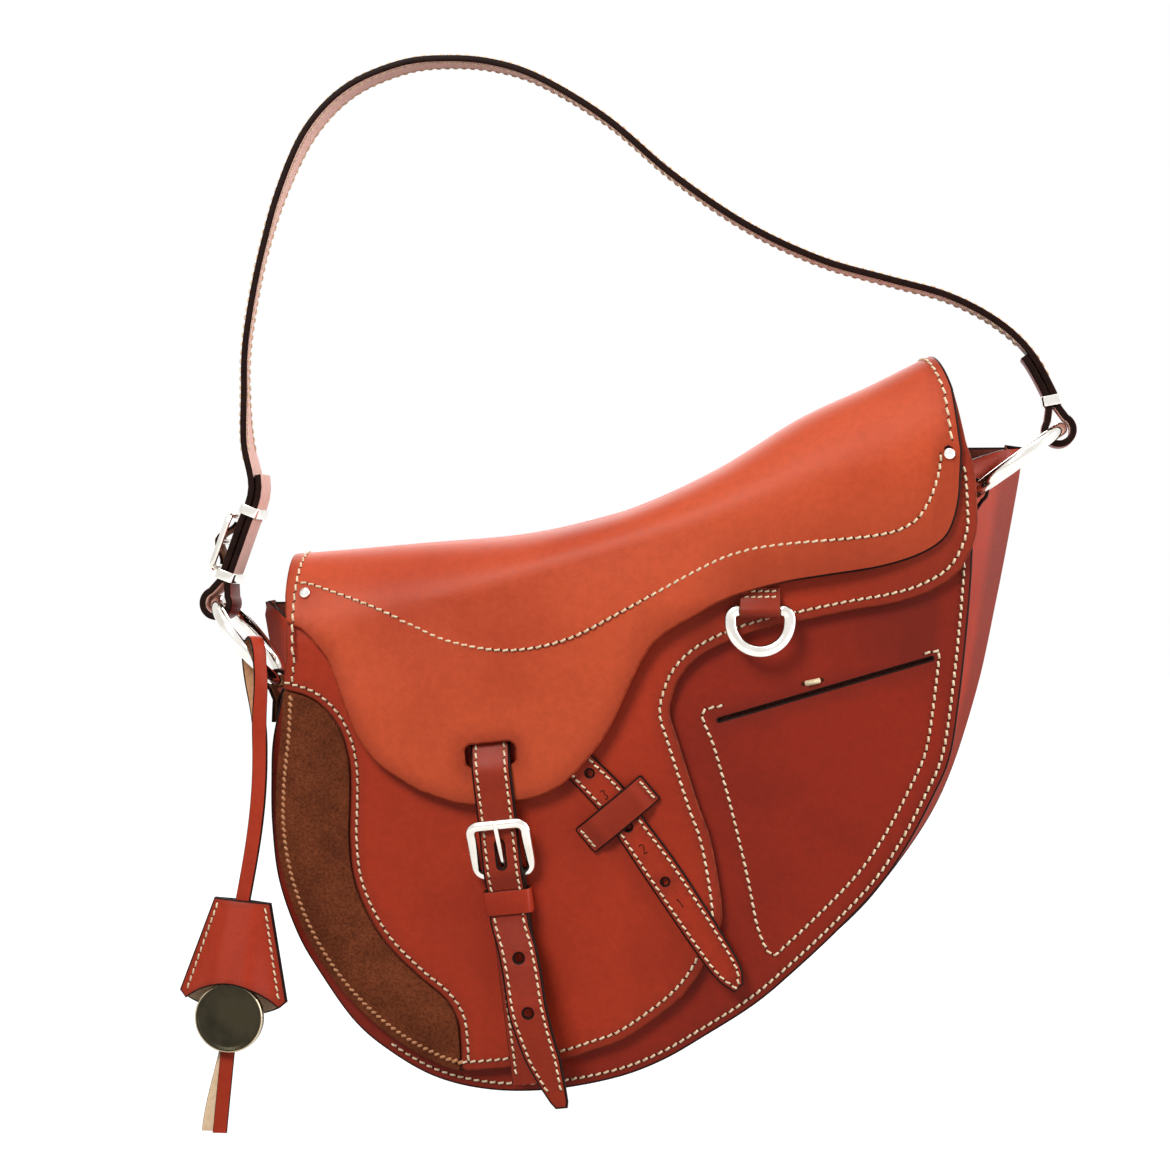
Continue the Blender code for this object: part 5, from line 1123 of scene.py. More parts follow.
def grid_cuts(loop, cell, rolled=True):
    """A grid over a sheet. Where the sheet rolls over the top, its upper cuts follow the fold line."""
    left = min(point[0] for point in loop)
    right = max(point[0] for point in loop)
    low = min(point[1] for point in loop)
    high = max(point[1] for point in loop)
    cuts = []
    for i in range(math.ceil(left / cell), math.floor(right / cell) + 1):
        cuts.append((Vector((cell * i, 0, 0)), Vector((1, 0, 0))))
    top = min(high, hinge_height(left)) if rolled else high
    for i in range(math.ceil(low / cell), math.floor(top / cell) + 1):
        cuts.append((Vector((0, cell * i, 0)), Vector((0, 1, 0))))
    if rolled and max(point[1] - hinge_height(point[0]) for point in loop) > 0:
        for i in range(ROLL_STEPS):
            rise = HINGE_HEIGHT + ROLL_LENGTH * i / ROLL_STEPS
            cuts.append((Vector((0, rise, 0)), Vector((-HINGE_SLOPE, 1, 0))))
    return cuts


def level_cuts(low, high, step, axis=1):
    """Cuts across one axis of a plate, about a step apart."""
    count = max(1, int(round((high - low) / step)))
    unit = Vector((0, 1, 0)) if axis == 1 else Vector((1, 0, 0))
    return [(unit * place, unit) for place in spread(low, high, count)[1:-1]]


EDGE_SPOTS = 0.0015
EDGE_REACH = 0.007
SHAPE_EDGE_REACH = 0.004


def mark_edges(mesh, loops, reach):
    """How near each point is to a cut edge, from 1 at the edge to 0 at the given reach."""
    spots = []
    for loop in loops:
        for start, end in zip(loop, loop[1:] + loop[:1]):
            steps = max(1, int((Vector(end) - Vector(start)).length / EDGE_SPOTS))
            spots += [Vector(start).lerp(Vector(end), i / steps) for i in range(steps)]
    tree = kdtree.KDTree(len(spots))
    for i, spot in enumerate(spots):
        tree.insert((spot.x, spot.y, 0), i)
    tree.balance()
    distances = [tree.find((vertex.co.x, vertex.co.y, 0))[2] for vertex in mesh.vertices]
    edged(mesh, [max(0.0, 1 - distance / reach) for distance in distances])


def bent(mesh, place):
    """Bends a flat mesh to the place that each of its points belongs to."""
    for vertex in mesh.vertices:
        vertex.co = place(*vertex.co)
    work = bmesh.new()
    work.from_mesh(mesh)
    bmesh.ops.recalc_face_normals(work, faces=work.faces)
    if work.calc_volume(signed=True) < 0:
        bmesh.ops.reverse_faces(work, faces=work.faces)
    work.to_mesh(mesh)
    work.free()


def rounded_by(thickness):
    return min(PLATE_MAX_ROUNDING, thickness * plate_rounding_share)


def leather_sheet(name, loops, thickness, offset, body, node, looks, cell=CELL, reach=EDGE_REACH, swell=0.0):
    """A sheet that lies on the bag's skin, at an offset that may change from place to place."""
    mesh = plate(loops, thickness, rounded_by(thickness))
    cut(mesh, grid_cuts(loops[0], cell))
    mark_edges(mesh, loops, reach)
    if swell:
        for vertex, nearness in zip(mesh.vertices, mesh.attributes["edge"].data):
            if vertex.co.z > 0:
                vertex.co.z += swell * smooth_step(1 - nearness.value)
    offset_at = offset if callable(offset) else lambda x, s: offset
    bent(mesh, lambda x, s, n: on_skin(x, s, offset_at(x, s) + n))
    return finish_piece(name, mesh, looks, body, node)


def leather_shape(name, loops, thickness, place, body, node, looks, cuts, reach=SHAPE_EDGE_REACH):
    """A sheet that lies where its own function places it."""
    mesh = plate(loops, thickness, rounded_by(thickness))
    cut(mesh, cuts)
    mark_edges(mesh, loops, reach)
    bent(mesh, place)
    return finish_piece(name, mesh, looks, body, node)


BAND_MAX_ROUNDING = 0.0007
LOOP_MAX_ROUNDING = 0.0006
band_rounding_share = 0.42
band_face_share = 0.1
band_edge_share = 1.2


def band_section(width, thickness, corner):
    """A band's section, anticlockwise: its width lies along x."""
    return rounded_box((-width / 2, -thickness / 2), (width / 2, thickness / 2), corner)


def band_faces(work, low, high, section, thickness, corner, above, below):
    """The faces between two rings of a band. Its rounded edges are marked 1."""
    count = len(section)
    for i in range(count):
        j = (i + 1) % count
        face = work.faces.new((low[i], low[j], high[j], high[i]))
        middle = (section[i].y + section[j].y) / 2
        on_face = abs(abs(middle) - thickness / 2) < corner * band_face_share
        face.material_index = 1 if not on_face else above if middle > 0 else below


def strap_loft(name, path, width, thickness, place, body, node, looks, outer=1, marks=None):
    """A strap with rounded edges along a flat path: its leather face is on the outer side of the path."""
    corner = min(BAND_MAX_ROUNDING, thickness * band_rounding_share)
    section = band_section(width, thickness, corner)
    work = bmesh.new()
    rows = []
    for i, point in enumerate(path):
        ahead = path[min(i + 1, len(path) - 1)] - path[max(i - 1, 0)]
        normal = Vector((-ahead.y, ahead.x)).normalized()
        rows.append([work.verts.new(place(point + normal * n, across)) for across, n in section])
    gone = 0
    for i, (low, high) in enumerate(zip(rows, rows[1:])):
        gone += (path[i + 1] - path[i]).length
        above, below = (marks(gone) if marks else (0, 2))[::outer]
        band_faces(work, low, high, section, thickness, corner, above, below)
    for row in (rows[0], rows[-1]):
        work.faces.new(row).material_index = 1
    mesh = meshed(work, name, outward=True)
    near_edge = [abs(across) > width / 2 - corner * band_edge_share for across, n in section]
    edged(mesh, [float(near) for near in near_edge * len(rows)])
    return finish_piece(name, mesh, looks, body, node, smooth=50)


def loop_loft(name, path, width, thickness, place, body, node, looks):
    """A closed band: its leather face is on the outer side of an anticlockwise path."""
    corner = min(LOOP_MAX_ROUNDING, thickness * band_rounding_share)
    section = band_section(width, thickness, corner)
    work = bmesh.new()
    rows = []
    for i, point in enumerate(path):
        ahead = path[(i + 1) % len(path)] - path[i - 1]
        normal = Vector((ahead.y, -ahead.x)).normalized()
        rows.append([work.verts.new(place(point + normal * n, across)) for across, n in section])
    for low, high in zip(rows, rows[1:] + rows[:1]):
        band_faces(work, low, high, section, thickness, corner, 0, 2)
    return finish_piece(name, meshed(work, name, outward=True), looks, body, node, smooth=50)


def wire(name, points, radius, closed, look, body, node, slot=None, radii=None, sides=7, broad=1.0):
    """A metal wire along a path: its section is as deep as the radius says, and broad times as wide."""
    curve = bpy.data.curves.new("wire", "CURVE")
    curve.dimensions = "3D"
    curve.bevel_depth = radius * broad
    curve.bevel_resolution = sides
    curve.use_fill_caps = True
    spline = curve.splines.new("POLY")
    spline.points.add(len(points) - 1)
    for i, (point, place) in enumerate(zip(spline.points, points)):
        point.co = (*place, 1)
        point.radius = radii[i] if radii else 1
    spline.use_cyclic_u = closed
    mesh = evaluated(curve)
    if broad != 1:
        tree = kdtree.KDTree(len(points))
        for i, place in enumerate(points):
            tree.insert(place, i)
        tree.balance()
        for vertex in mesh.vertices:
            centre = tree.find(vertex.co)[0]
            vertex.co.y = centre.y + (vertex.co.y - centre.y) / broad
    return finish_piece(name, mesh, [look], body, node, slot)


# Stitches: the pitch, the length of one, and the thread's radius
PANEL_STITCH = (0.0034, 0.0026, 0.00048)
STRAP_STITCH = (0.0032, 0.0024, 0.00043)
SHOULDER_STITCH = (0.0036, 0.0026, 0.00042)
KEEPER_STITCH = (0.0026, 0.0021, 0.00043)
DEE_TAB_STITCH = (0.0027, 0.0021, 0.00043)
SUEDE_STITCH = (0.0026, 0.0027, 0.00072)
PATCH_STITCH = (0.0028, 0.0022, 0.0003)
BELL_STITCH = (0.0033, 0.0026, 0.00042)
BAR_TACK = (0.0200, 0.0068, 0.0011)
STITCH_SLANT = 12.0
SUEDE_STITCH_SLANT = 38
THREAD_SIDES = 6
# Along a stitch: places as shares of its length, rises as shares of its radius, and sizes
stitch_shares = (
    (-0.5, -0.95, 0.8), (-0.40, 0.10, 1.0), (-0.2, 0.62, 1.0), (0.2, 0.62, 1.0), (0.40, 0.10, 1.0),
    (0.5, -0.95, 0.8),
)
stitch_ahead_share = 0.05
hole_place_share = 0.56
hole_size_share = 0.9
STITCH_PROBE = 0.0004
HOLE_RISE = 0.00003
HOLE_PROBE = 0.0005


def thread_ring(work, spot, side, other, radius):
    """The corners of a small polygon about a spot."""
    ring = []
    for i in range(THREAD_SIDES):
        angle = 2 * math.pi * i / THREAD_SIDES
        ring.append(work.verts.new(spot + (side * math.cos(angle) + other * math.sin(angle)) * radius))
    return ring


def sew(name, paths, place, body, stitch=PANEL_STITCH, looks=(THREAD, HOLE_SHADE_AND_STAMP), slant=STITCH_SLANT):
    """Saddle stitches along flat paths: each thread rises out of one needle hole and dips into the next."""
    pitch, length, radius = stitch
    turn = math.radians(slant)
    work = bmesh.new()
    for path in paths:
        count = max(1, int(round(path_length(path) / pitch)))
        spots = evenly(path, count * 2)
        for k in range(count):
            middle = spots[2 * k + 1]
            along = (spots[2 * k + 2] - spots[2 * k]).normalized()
            along = Vector((along.x * math.cos(turn) - along.y * math.sin(turn),
                            along.x * math.sin(turn) + along.y * math.cos(turn))) * length
            rings = []
            for share, rise, size in stitch_shares:
                flat = middle + along * share
                spot = place(flat.x, flat.y, radius * rise)
                out = (place(flat.x, flat.y, radius * rise + STITCH_PROBE) - spot).normalized()
                far = middle + along * (share + stitch_ahead_share)
                ahead = (place(far.x, far.y, radius * rise) - spot).normalized()
                side = ahead.cross(out).normalized()
                rings.append(thread_ring(work, spot, side, out, radius * size))
            for low, high in zip(rings, rings[1:]):
                for i in range(THREAD_SIDES):
                    j = (i + 1) % THREAD_SIDES
                    work.faces.new((low[i], low[j], high[j], high[i]))
            # Each needle hole is a flat disc in the dark look: painted shade in the hole.
            for share in (-hole_place_share, hole_place_share):
                flat = middle + along * share
                spot = place(flat.x, flat.y, HOLE_RISE)
                out = (place(flat.x, flat.y, HOLE_PROBE) - spot).normalized()
                side = out.orthogonal().normalized()
                disc = thread_ring(work, spot, side, out.cross(side), radius * hole_size_share)
                work.faces.new(disc).material_index = 1
    return finish_piece(name, meshed(work, name), looks, body, smooth=70)


def turned_mesh(profile, centre, axis, steps, marks=None):
    """A turned shape from a profile of radius and height."""
    work = bmesh.new()
    turn = axis.to_track_quat("Z", "Y").to_matrix()
    rows = []
    for radius, height in profile:
        ring = []
        for i in range(steps if radius > 0 else 1):
            angle = 2 * math.pi * i / steps
            spot = Vector((radius * math.cos(angle), radius * math.sin(angle), height))
            ring.append(work.verts.new(centre + turn @ spot))
        rows.append(ring)
    for k, (low, high) in enumerate(zip(rows, rows[1:])):
        for i in range(steps):
            j = (i + 1) % steps
            corners = [low[i % len(low)], low[j % len(low)], high[j % len(high)], high[i % len(high)]]
            unique = [corner for n, corner in enumerate(corners) if corner not in corners[:n]]
            if len(unique) > 2:
                face = work.faces.new(unique)
                face.material_index = marks[k] if marks else 0
    return meshed(work, "turned", outward=True)


# Body
PANEL_STITCH_INSET = 0.0034
LEFT_STITCH_INSET = 0.0120
front_stitch_turn_share = -0.270
POCKET_STITCH_GAP = 0.0068
POCKET_CORNER_CLEARANCE = 0.004
POCKET_TOP_CLEARANCE = 0.002
POCKET_TURN_STEPS = 8
SLIT_LIPS = 0.0006
BACK_STITCH_INSET = 0.0042
BACK_CELL = 0.012
LID_AXIS_DEPTH = 0.0656
WELT_RADIUS = 0.0012
WELT_INSET = EAR_CLEARANCE + 0.0010
pocket_left_shares = (
    (0.192, 0.530), (0.164, 0.518), (0.179, 0.471), (0.200, 0.391), (0.220, 0.302), (0.234, 0.226),
)
pocket_corner_shares = (0.2500, 0.1640)
pocket_top_shares = ((0.479, 0.606), (0.458, 0.602))
tack_shares = ((0.296, 0.559), (0.326, 0.566))


def facing_top(x, s, n):
    return on_skin(x, s, facing_offset(x, s) + FACING_THICKNESS / 2 + n)


def seat_top(x, s, n):
    return on_skin(x, s, seat_offset(x, s) + SEAT_THICKNESS / 2 + n)


def suede_top(x, s, n):
    return on_skin(x, s, SUEDE_OFFSET + SUEDE_THICKNESS / 2 + n)


def rounded_turn(start, corner, end, steps):
    """The points between two ends of a curve that turns at a corner, without the ends."""
    shares = spread(0, 1, steps)[1:-1]
    return [start.lerp(corner, share).lerp(corner.lerp(end, share), share) for share in shares]


def make_body():
    slit = sized(slit_shares)
    outline = curve_of(front_outline_shares)
    # The front panel wears the darker copy of the rust leather: painted shade.
    leather_sheet("front_panel_leather", [outline, capsule(slit[0], slit[1], SLIT_LIPS, 6)], PANEL_THICKNESS,
                  -PANEL_THICKNESS / 2, "bag_body", "front_panel", [PANEL_LEATHER_PAINTED_SHADE, BURNISHED, LINING])
    leather_sheet("slip_pocket_leather", [curve_of(pouch_shares)], POUCH_THICKNESS,
                  -PANEL_THICKNESS - FIT_GAP - POUCH_THICKNESS / 2, "bag_body", "slip_pocket_lining",
                  [LINING, BURNISHED, LINING])
    turn = front_stitch_turn_share * BAG_WIDTH
    rows = [[point for point in inset(outline, PANEL_STITCH_INSET) if point.x > turn],
            [point for point in inset(outline, LEFT_STITCH_INSET) if point.x < turn]]
    sew("front_panel_stitches", rows, on_skin, "bag_body")
    corner = sized((pocket_corner_shares,))[0]
    top = sized(pocket_top_shares)
    right = [point for point in inset(outline, PANEL_STITCH_INSET + POCKET_STITCH_GAP)
             if point.x > corner.x + POCKET_CORNER_CLEARANCE
             and corner.y < point.y < top[0].y - POCKET_TOP_CLEARANCE]
    right.sort(key=lambda point: point.y)
    pocket = curve_of(pocket_left_shares)
    pocket += rounded_turn(pocket[-1], corner, right[0], POCKET_TURN_STEPS) + right + top
    sew("pocket_stitches", [pocket], on_skin, "bag_body")
    sew("pocket_bar_tack", [sized(tack_shares)], on_skin, "bag_body", BAR_TACK, slant=0)


def make_back():
    outline = curve_of(back_outline_shares, 8)
    lid_left = lid_left_roll_shares[0][0] * BAG_WIDTH - EAR_CLEARANCE
    lid_right = lid_right_roll_shares[-1][0] * BAG_WIDTH + EAR_CLEARANCE
    under_right = hinge_height(lid_right) - HINGE_CLEARANCE
    top = [
        Vector((lid_right, max(outline[-1].y, under_right))),
        Vector((lid_right, under_right)),
        Vector((lid_left, hinge_height(lid_left) - HINGE_CLEARANCE)),
        Vector((lid_left, outline[0].y)),
    ]
    place = lambda x, z, n: Vector((x, TOP_DEPTH + PANEL_THICKNESS / 2 + n, z))
    leather_shape("back_panel_leather", [outline + top], PANEL_THICKNESS, place, "bag_body", "back_panel",
                  LINED_LOOKS, grid_cuts(outline + top, BACK_CELL, False), EDGE_REACH)
    ends = [Vector((x, LID_AXIS_DEPTH, hinge_height(x)))
            for x in (lid_right - WELT_INSET, lid_left + WELT_INSET)]
    wire("lid_hinge_welt", [ends[0].lerp(ends[1], share) for share in spread(0, 1, 40)], WELT_RADIUS, False,
         LEATHER, "bag_body", None, "back_panel")
    sew("back_panel_stitches", [inset(outline, BACK_STITCH_INSET)],
        lambda x, z, n: Vector((x, TOP_DEPTH + PANEL_THICKNESS + n, z)), "bag_body")


def make_gusset():
    sections = gusset_sections()
    across = len(sections[0])
    work = bmesh.new()
    rows = [[work.verts.new(point) for point in section] for section in sections]
    for low, high in zip(rows, rows[1:]):
        for i in range(across - 1):
            work.faces.new((low[i], low[i + 1], high[i + 1], high[i]))
    mesh = meshed(work, "gusset", outward=True)
    near_edge = [float(i in (1, 2, across - 2, across - 3)) for i in range(across)]
    edged(mesh, near_edge * len(sections))
    piece = finish_piece("gusset_leather", mesh, [LEATHER, LINING, BURNISHED], "bag_body", "gusset")
    shell = piece.modifiers.new("thickness", "SOLIDIFY")
    shell.thickness = GUSSET_THICKNESS
    shell.offset = 0
    shell.use_even_offset = True
    shell.material_offset = 1
    shell.material_offset_rim = 2
    at_right = mesh.polygons[(across - 1) * (len(sections) - 4) + across // 2]
    if at_right.normal.x < 0:
        mesh.flip_normals()


# Lid
SUEDE_SWELL = 0.0022
SUEDE_CELL = 0.003
SUEDE_REACH = 0.012
LINING_REACH = 0.009
SEAT_CELL = 0.0045
SIDE_STITCH_INSET = 0.0038
FRONT_STITCH_INSET = 0.0040
INLAY_STITCH_INSET = 0.0030
SEAT_END_STITCH_INSET = 0.0036
INLAY_STITCH_FOOT = 0.006
SEAT_END_STITCH_POINTS = 80
TOP_LEFT_STITCH_SHIFT = 0.0006
top_left_stitch_share = 0.52
RIVET_BELOW = 0.004
RIVET_ABOVE = 0.003
ROW_START = 0.001
ROW_END = 0.002
seat_line_shares = (
    (-0.386, 0.684), (-0.360, 0.682), (-0.287, 0.666), (-0.230, 0.645), (-0.174, 0.621), (-0.095, 0.609),
    (-0.016, 0.624), (0.063, 0.665), (0.164, 0.722), (0.215, 0.744), (0.273, 0.755), (0.394, 0.767),
    (0.440, 0.783), (0.461, 0.809), (0.474, 0.843), (0.480, 0.878),
)


def make_lid():
    outline = back_stopped(lid_outline(), HINGE_CLEARANCE)
    leather_sheet("lid_lining_leather", [outline] + rivet_holes(), LINING_THICKNESS, lining_offset, "lid",
                  "lid_lining", [LINING, BURNISHED, LINING], LINING_REACH)
    inlay = curve_of(inlay_shares)
    start = cut_index(outline, inlay[0])
    end = cut_index(outline, inlay[-1])
    facing = outline[:start] + inlay[1:-1] + outline[end + 1:]
    leather_sheet("lid_facing_leather", [facing] + rivet_holes(), FACING_THICKNESS, facing_offset, "lid",
                  "lid_facing", [LEATHER, FACING_EDGE, FLESH])
    roll = outline[start + 1:end] + inset(inlay, -INLAY_GAP)[1:-1][::-1]
    suede = leather_sheet("suede_roll", [roll], SUEDE_THICKNESS, SUEDE_OFFSET, "lid", "suede_knee_roll",
                          [SUEDE, SUEDE, SUEDE], SUEDE_CELL, SUEDE_REACH, SUEDE_SWELL)
    left = [roll_point(share) for share in lid_left_roll_shares]
    right = [roll_point(share) for share in lid_right_roll_shares]
    lobe = curve_of(lobe_shares)
    seat = back_stopped(left + lobe + right, SEAT_BACK_STOP)
    # The seat wears the lighter copy of the rust leather: painted light.
    leather_sheet("seat_leather", [seat, strap_slot()] + rivet_holes(), SEAT_THICKNESS, seat_offset, "lid",
                  "seat_and_lobe", [SEAT_LEATHER_PAINTED_LIGHT, SEAT_EDGE, FLESH], SEAT_CELL)
    sew_lid(inlay, lobe, right)


def sew_lid(inlay, lobe, right):
    side = inset(curve_of(lid_left_shares), SIDE_STITCH_INSET)
    top_left = Vector((side[0].x + TOP_LEFT_STITCH_SHIFT,
                       hinge_height(side[0].x) + ROLL_LENGTH * top_left_stitch_share))
    on_seat = [point for point in side if point.y > height_on(lobe, point.x) + ROW_START]
    sew("seat_left_stitches", [[top_left, side[0]] + on_seat[1:]], seat_top, "lid")
    on_facing = [point for point in side
                 if inlay[0].y + ROW_START < point.y <= height_on(lobe, point.x) - ROW_END]
    if len(on_facing) > 1:
        sew("lid_left_stitches", [on_facing], facing_top, "lid")
    on_suede = [point for point in side if point.y <= inlay[0].y - ROW_END]
    sew("suede_edge_stitches", [on_suede], suede_top, "lid", SUEDE_STITCH, [TAN_THREAD, HOLE_SHADE_AND_STAMP],
        SUEDE_STITCH_SLANT)
    by_inlay = [point for point in inset(inlay[:-2], INLAY_STITCH_INSET) if point.y > INLAY_STITCH_FOOT]
    sew("s_curve_stitches", [by_inlay], facing_top, "lid")
    front = [point for point in inset(curve_of(lid_right_shares), FRONT_STITCH_INSET)
             if point.y < RIVETS[1].y - RIVET_BELOW]
    sew("lid_right_stitches", [front], facing_top, "lid")
    back_end = ROLL_LENGTH - SEAT_BACK_STOP - RIVET_BELOW
    seat_end = evenly(inset([lobe[-1]] + right, SEAT_END_STITCH_INSET), SEAT_END_STITCH_POINTS)
    seat_end = [point for point in seat_end
                if RIVETS[1].y + RIVET_ABOVE < point.y < hinge_height(point.x) + back_end]
    sew("seat_right_stitches", [seat_end], seat_top, "lid")
    sew("seat_line_stitches", [curve_of(seat_line_shares)], seat_top, "lid")


# Rivets
RIVET_STEPS = 28
RIVET_SEAT_DEPTH = 0.0001
rivet_foot_share = 0.96


def make_rivets():
    for name, place in zip(("rivet_left", "rivet_right"), RIVETS):
        face = seat_offset(place.x, place.y) + SEAT_THICKNESS / 2 + FIT_GAP
        back = lining_offset(place.x, place.y) - LINING_THICKNESS / 2 + FIT_GAP / 2 - LID_GAP
        profile = [(0, face + RIVET_HEAD_HEIGHT)]
        for angle in range(80, -1, -10):
            turn = math.radians(angle)
            profile.append((RIVET_HEAD_RADIUS * math.cos(turn), face + RIVET_HEAD_HEIGHT * math.sin(turn)))
        profile += [(RIVET_HEAD_RADIUS * rivet_foot_share, face - RIVET_SEAT_DEPTH),
                    (RIVET_SHANK_RADIUS, face - RIVET_SEAT_DEPTH), (RIVET_SHANK_RADIUS, back), (0, back)]
        mesh = turned_mesh(profile, skin(place.x, place.y), skin_normal(place.x, place.y), RIVET_STEPS)
        finish_piece(name + "_dome", mesh, [NICKEL], "lid", name)


# Closure
CLOSURE_CELL = 0.0022
CLOSURE_STITCH_INSET = 0.0022
CLOSURE_STITCH_LEAST = 0.0042
CLOSURE_STITCH_TOP = 0.004
CLOSURE_STITCH_TIP = 0.002
CLOSURE_BEND = 0.0032
BUCKLE_STITCH_INSET = 0.0020
BUCKLE_STITCH_FOOT = 0.004
BUCKLE_STITCH_TOP = 0.002


def closure_stand_soft(up):
    """The strap's stand-off, smoothed over a short length so that it bends as leather does."""
    return sum(closure_stand(up + CLOSURE_BEND * i / 2) for i in (-2, -1, 0, 1, 2)) / 5


def make_closure():
    tongue_hole = capsule(Vector((0, TONGUE_HOLE_LOW + TONGUE_HOLE_WIDTH / 2)),
                          Vector((0, TONGUE_HOLE_HIGH - TONGUE_HOLE_WIDTH / 2)), TONGUE_HOLE_WIDTH, 6)
    holes = [circle((closure_centre(up), up), HOLE_RADIUS, 20)
             for up in (FIRST_FREE_HOLE, FIRST_FREE_HOLE - HOLE_PITCH)]
    place = lambda x, up, n: on_closure(x, up, closure_stand_soft(up) + n)
    leather_shape("closure_strap_leather", [closure_outline(), tongue_hole] + holes, CLOSURE_THICKNESS, place,
                  "lid", "closure_strap", STRAP_LOOKS, level_cuts(TAIL_END, STRAP_ANCHOR, CLOSURE_CELL))
    lines = []
    for side in (-1, 1):
        line = []
        for up in spread(STRAP_ANCHOR - CLOSURE_STITCH_TOP, TAIL_END + CLOSURE_STITCH_TIP, 59):
            half = table_value(closure_width_shares, up / -TAIL_END) * CLOSURE_WIDTH / 2
            if half > CLOSURE_STITCH_LEAST:
                line.append(Vector((closure_centre(up) + side * (half - CLOSURE_STITCH_INSET), up)))
        lines.append(line)
    sew("closure_strap_stitches", lines, lambda x, up, n: place(x, up, CLOSURE_THICKNESS / 2 + n), "lid",
        STRAP_STITCH)


def make_buckle_strap():
    path = [Vector((up, BACK_LAYER)) for up in spread(BUCKLE_STRAP_END, 0, 26)[:-1]]
    path += arc((0, BAR_OFFSET), FOLD_RADIUS, -90, 90, 18)
    path += [Vector((up, FRONT_LAYER)) for up in spread(-FOLD_SPREAD, RETURN_END, 6)]
    strap_loft("buckle_strap_leather", path, CLOSURE_WIDTH, BUCKLE_STRAP_THICKNESS,
               lambda flat, across: on_closure(across, flat.x, flat.y), "bag_body", "buckle_strap",
               [LEATHER, BURNISHED, LEATHER], -1)
    heights = spread(BUCKLE_STRAP_END + BUCKLE_STITCH_FOOT, RETURN_END - BUCKLE_STITCH_TOP, 30)
    edge = CLOSURE_WIDTH / 2 - BUCKLE_STITCH_INSET
    sew("buckle_strap_stitches", [[Vector((side * edge, up)) for up in heights] for side in (-1, 1)],
        lambda x, up, n: on_closure(x, up, BACK_LAYER + BUCKLE_STRAP_THICKNESS / 2 + n), "bag_body",
        STRAP_STITCH)
    half = CLOSURE_WIDTH / 2 + FIT_GAP + LOOP_CLEARANCE
    inner = rounded_box((-half, KEEPER_BACK + KEEPER_THICKNESS), (half, KEEPER_FRONT), KEEPER_CORNER, 6)
    middle = []
    for i, point in enumerate(inner):
        ahead = inner[(i + 1) % len(inner)] - inner[i - 1]
        middle.append(point + Vector((ahead.y, -ahead.x)).normalized() * KEEPER_THICKNESS / 2)
    loop_loft("keeper_leather", middle, KEEPER_HEIGHT, KEEPER_THICKNESS,
              lambda flat, up: on_closure(flat.x, KEEPER_CENTRE + up, flat.y), "bag_body", "closure_keeper",
              STRAP_LOOKS)


BUCKLE_STEP = 0.0015
BUCKLE_BROAD = 1.3
TONGUE_ROUNDING = 0.0005


def make_buckle():
    loop = rounded_box((-BUCKLE_HALF_WIDTH, 0), (BUCKLE_HALF_WIDTH, BUCKLE_HEIGHT), BUCKLE_CORNER, 8)
    fine = []
    for low, high in zip(loop, loop[1:] + loop[:1]):
        count = max(1, int((high - low).length / BUCKLE_STEP))
        fine += [low.lerp(high, i / count) for i in range(count)]
    points = [on_closure(point.x, point.y, buckle_offset(point.y)) for point in fine]
    low_bar = BUCKLE_BAR_RADIUS / BUCKLE_WIRE_RADIUS
    radii = [low_bar + (1 - low_bar) * smooth_step((point.y - BUCKLE_CORNER / 2) / BUCKLE_CORNER)
             for point in fine]
    wire("buckle_frame_metal", points, BUCKLE_WIRE_RADIUS, True, NICKEL, "buckle_frame", "buckle_frame",
         radii=radii, broad=BUCKLE_BROAD)
    tip = Vector((BUCKLE_HEIGHT, TOP_BAR_OFFSET + BUCKLE_WIRE_RADIUS + FIT_GAP + TONGUE_HALF_HEIGHT))
    root = Vector((0, BAR_OFFSET))
    along = (tip - root).normalized()
    heading = math.degrees(math.atan2(along.y, along.x))
    inner = BUCKLE_BAR_RADIUS + LOOP_CLEARANCE / 2
    outer = inner + TONGUE_EYE_WALL
    opening = math.degrees(math.asin(TONGUE_HALF_HEIGHT / outer))
    outline = arc(root, outer, heading + opening, heading + 360 - opening, 30)
    end = tip + along * (TONGUE_OVERHANG - TONGUE_HALF_HEIGHT)
    outline += arc(end, TONGUE_HALF_HEIGHT, heading - 90, heading + 90, 8)
    mesh = plate([outline, circle(root, inner, 24)], TONGUE_WIDTH, TONGUE_ROUNDING, 3)
    bent(mesh, lambda up, offset, across: on_closure(across, up, offset))
    finish_piece("buckle_tongue_metal", mesh, METAL_LOOKS, "buckle_tongue", "buckle_tongue", smooth=30)


# Stirrup strap
STIRRUP_CELL = 0.0045
STIRRUP_REACH = 0.003
STIRRUP_STITCH_INSET = 0.0021
KEEPER_CELL = 0.0014
KEEPER_STITCH_MARGIN = 0.0018
KEEPER_STITCH_END = 0.0020


def stirrup_top(x, s, n):
    return on_skin(x, s, LID_FACE + FIT_GAP + STIRRUP_THICKNESS + n)


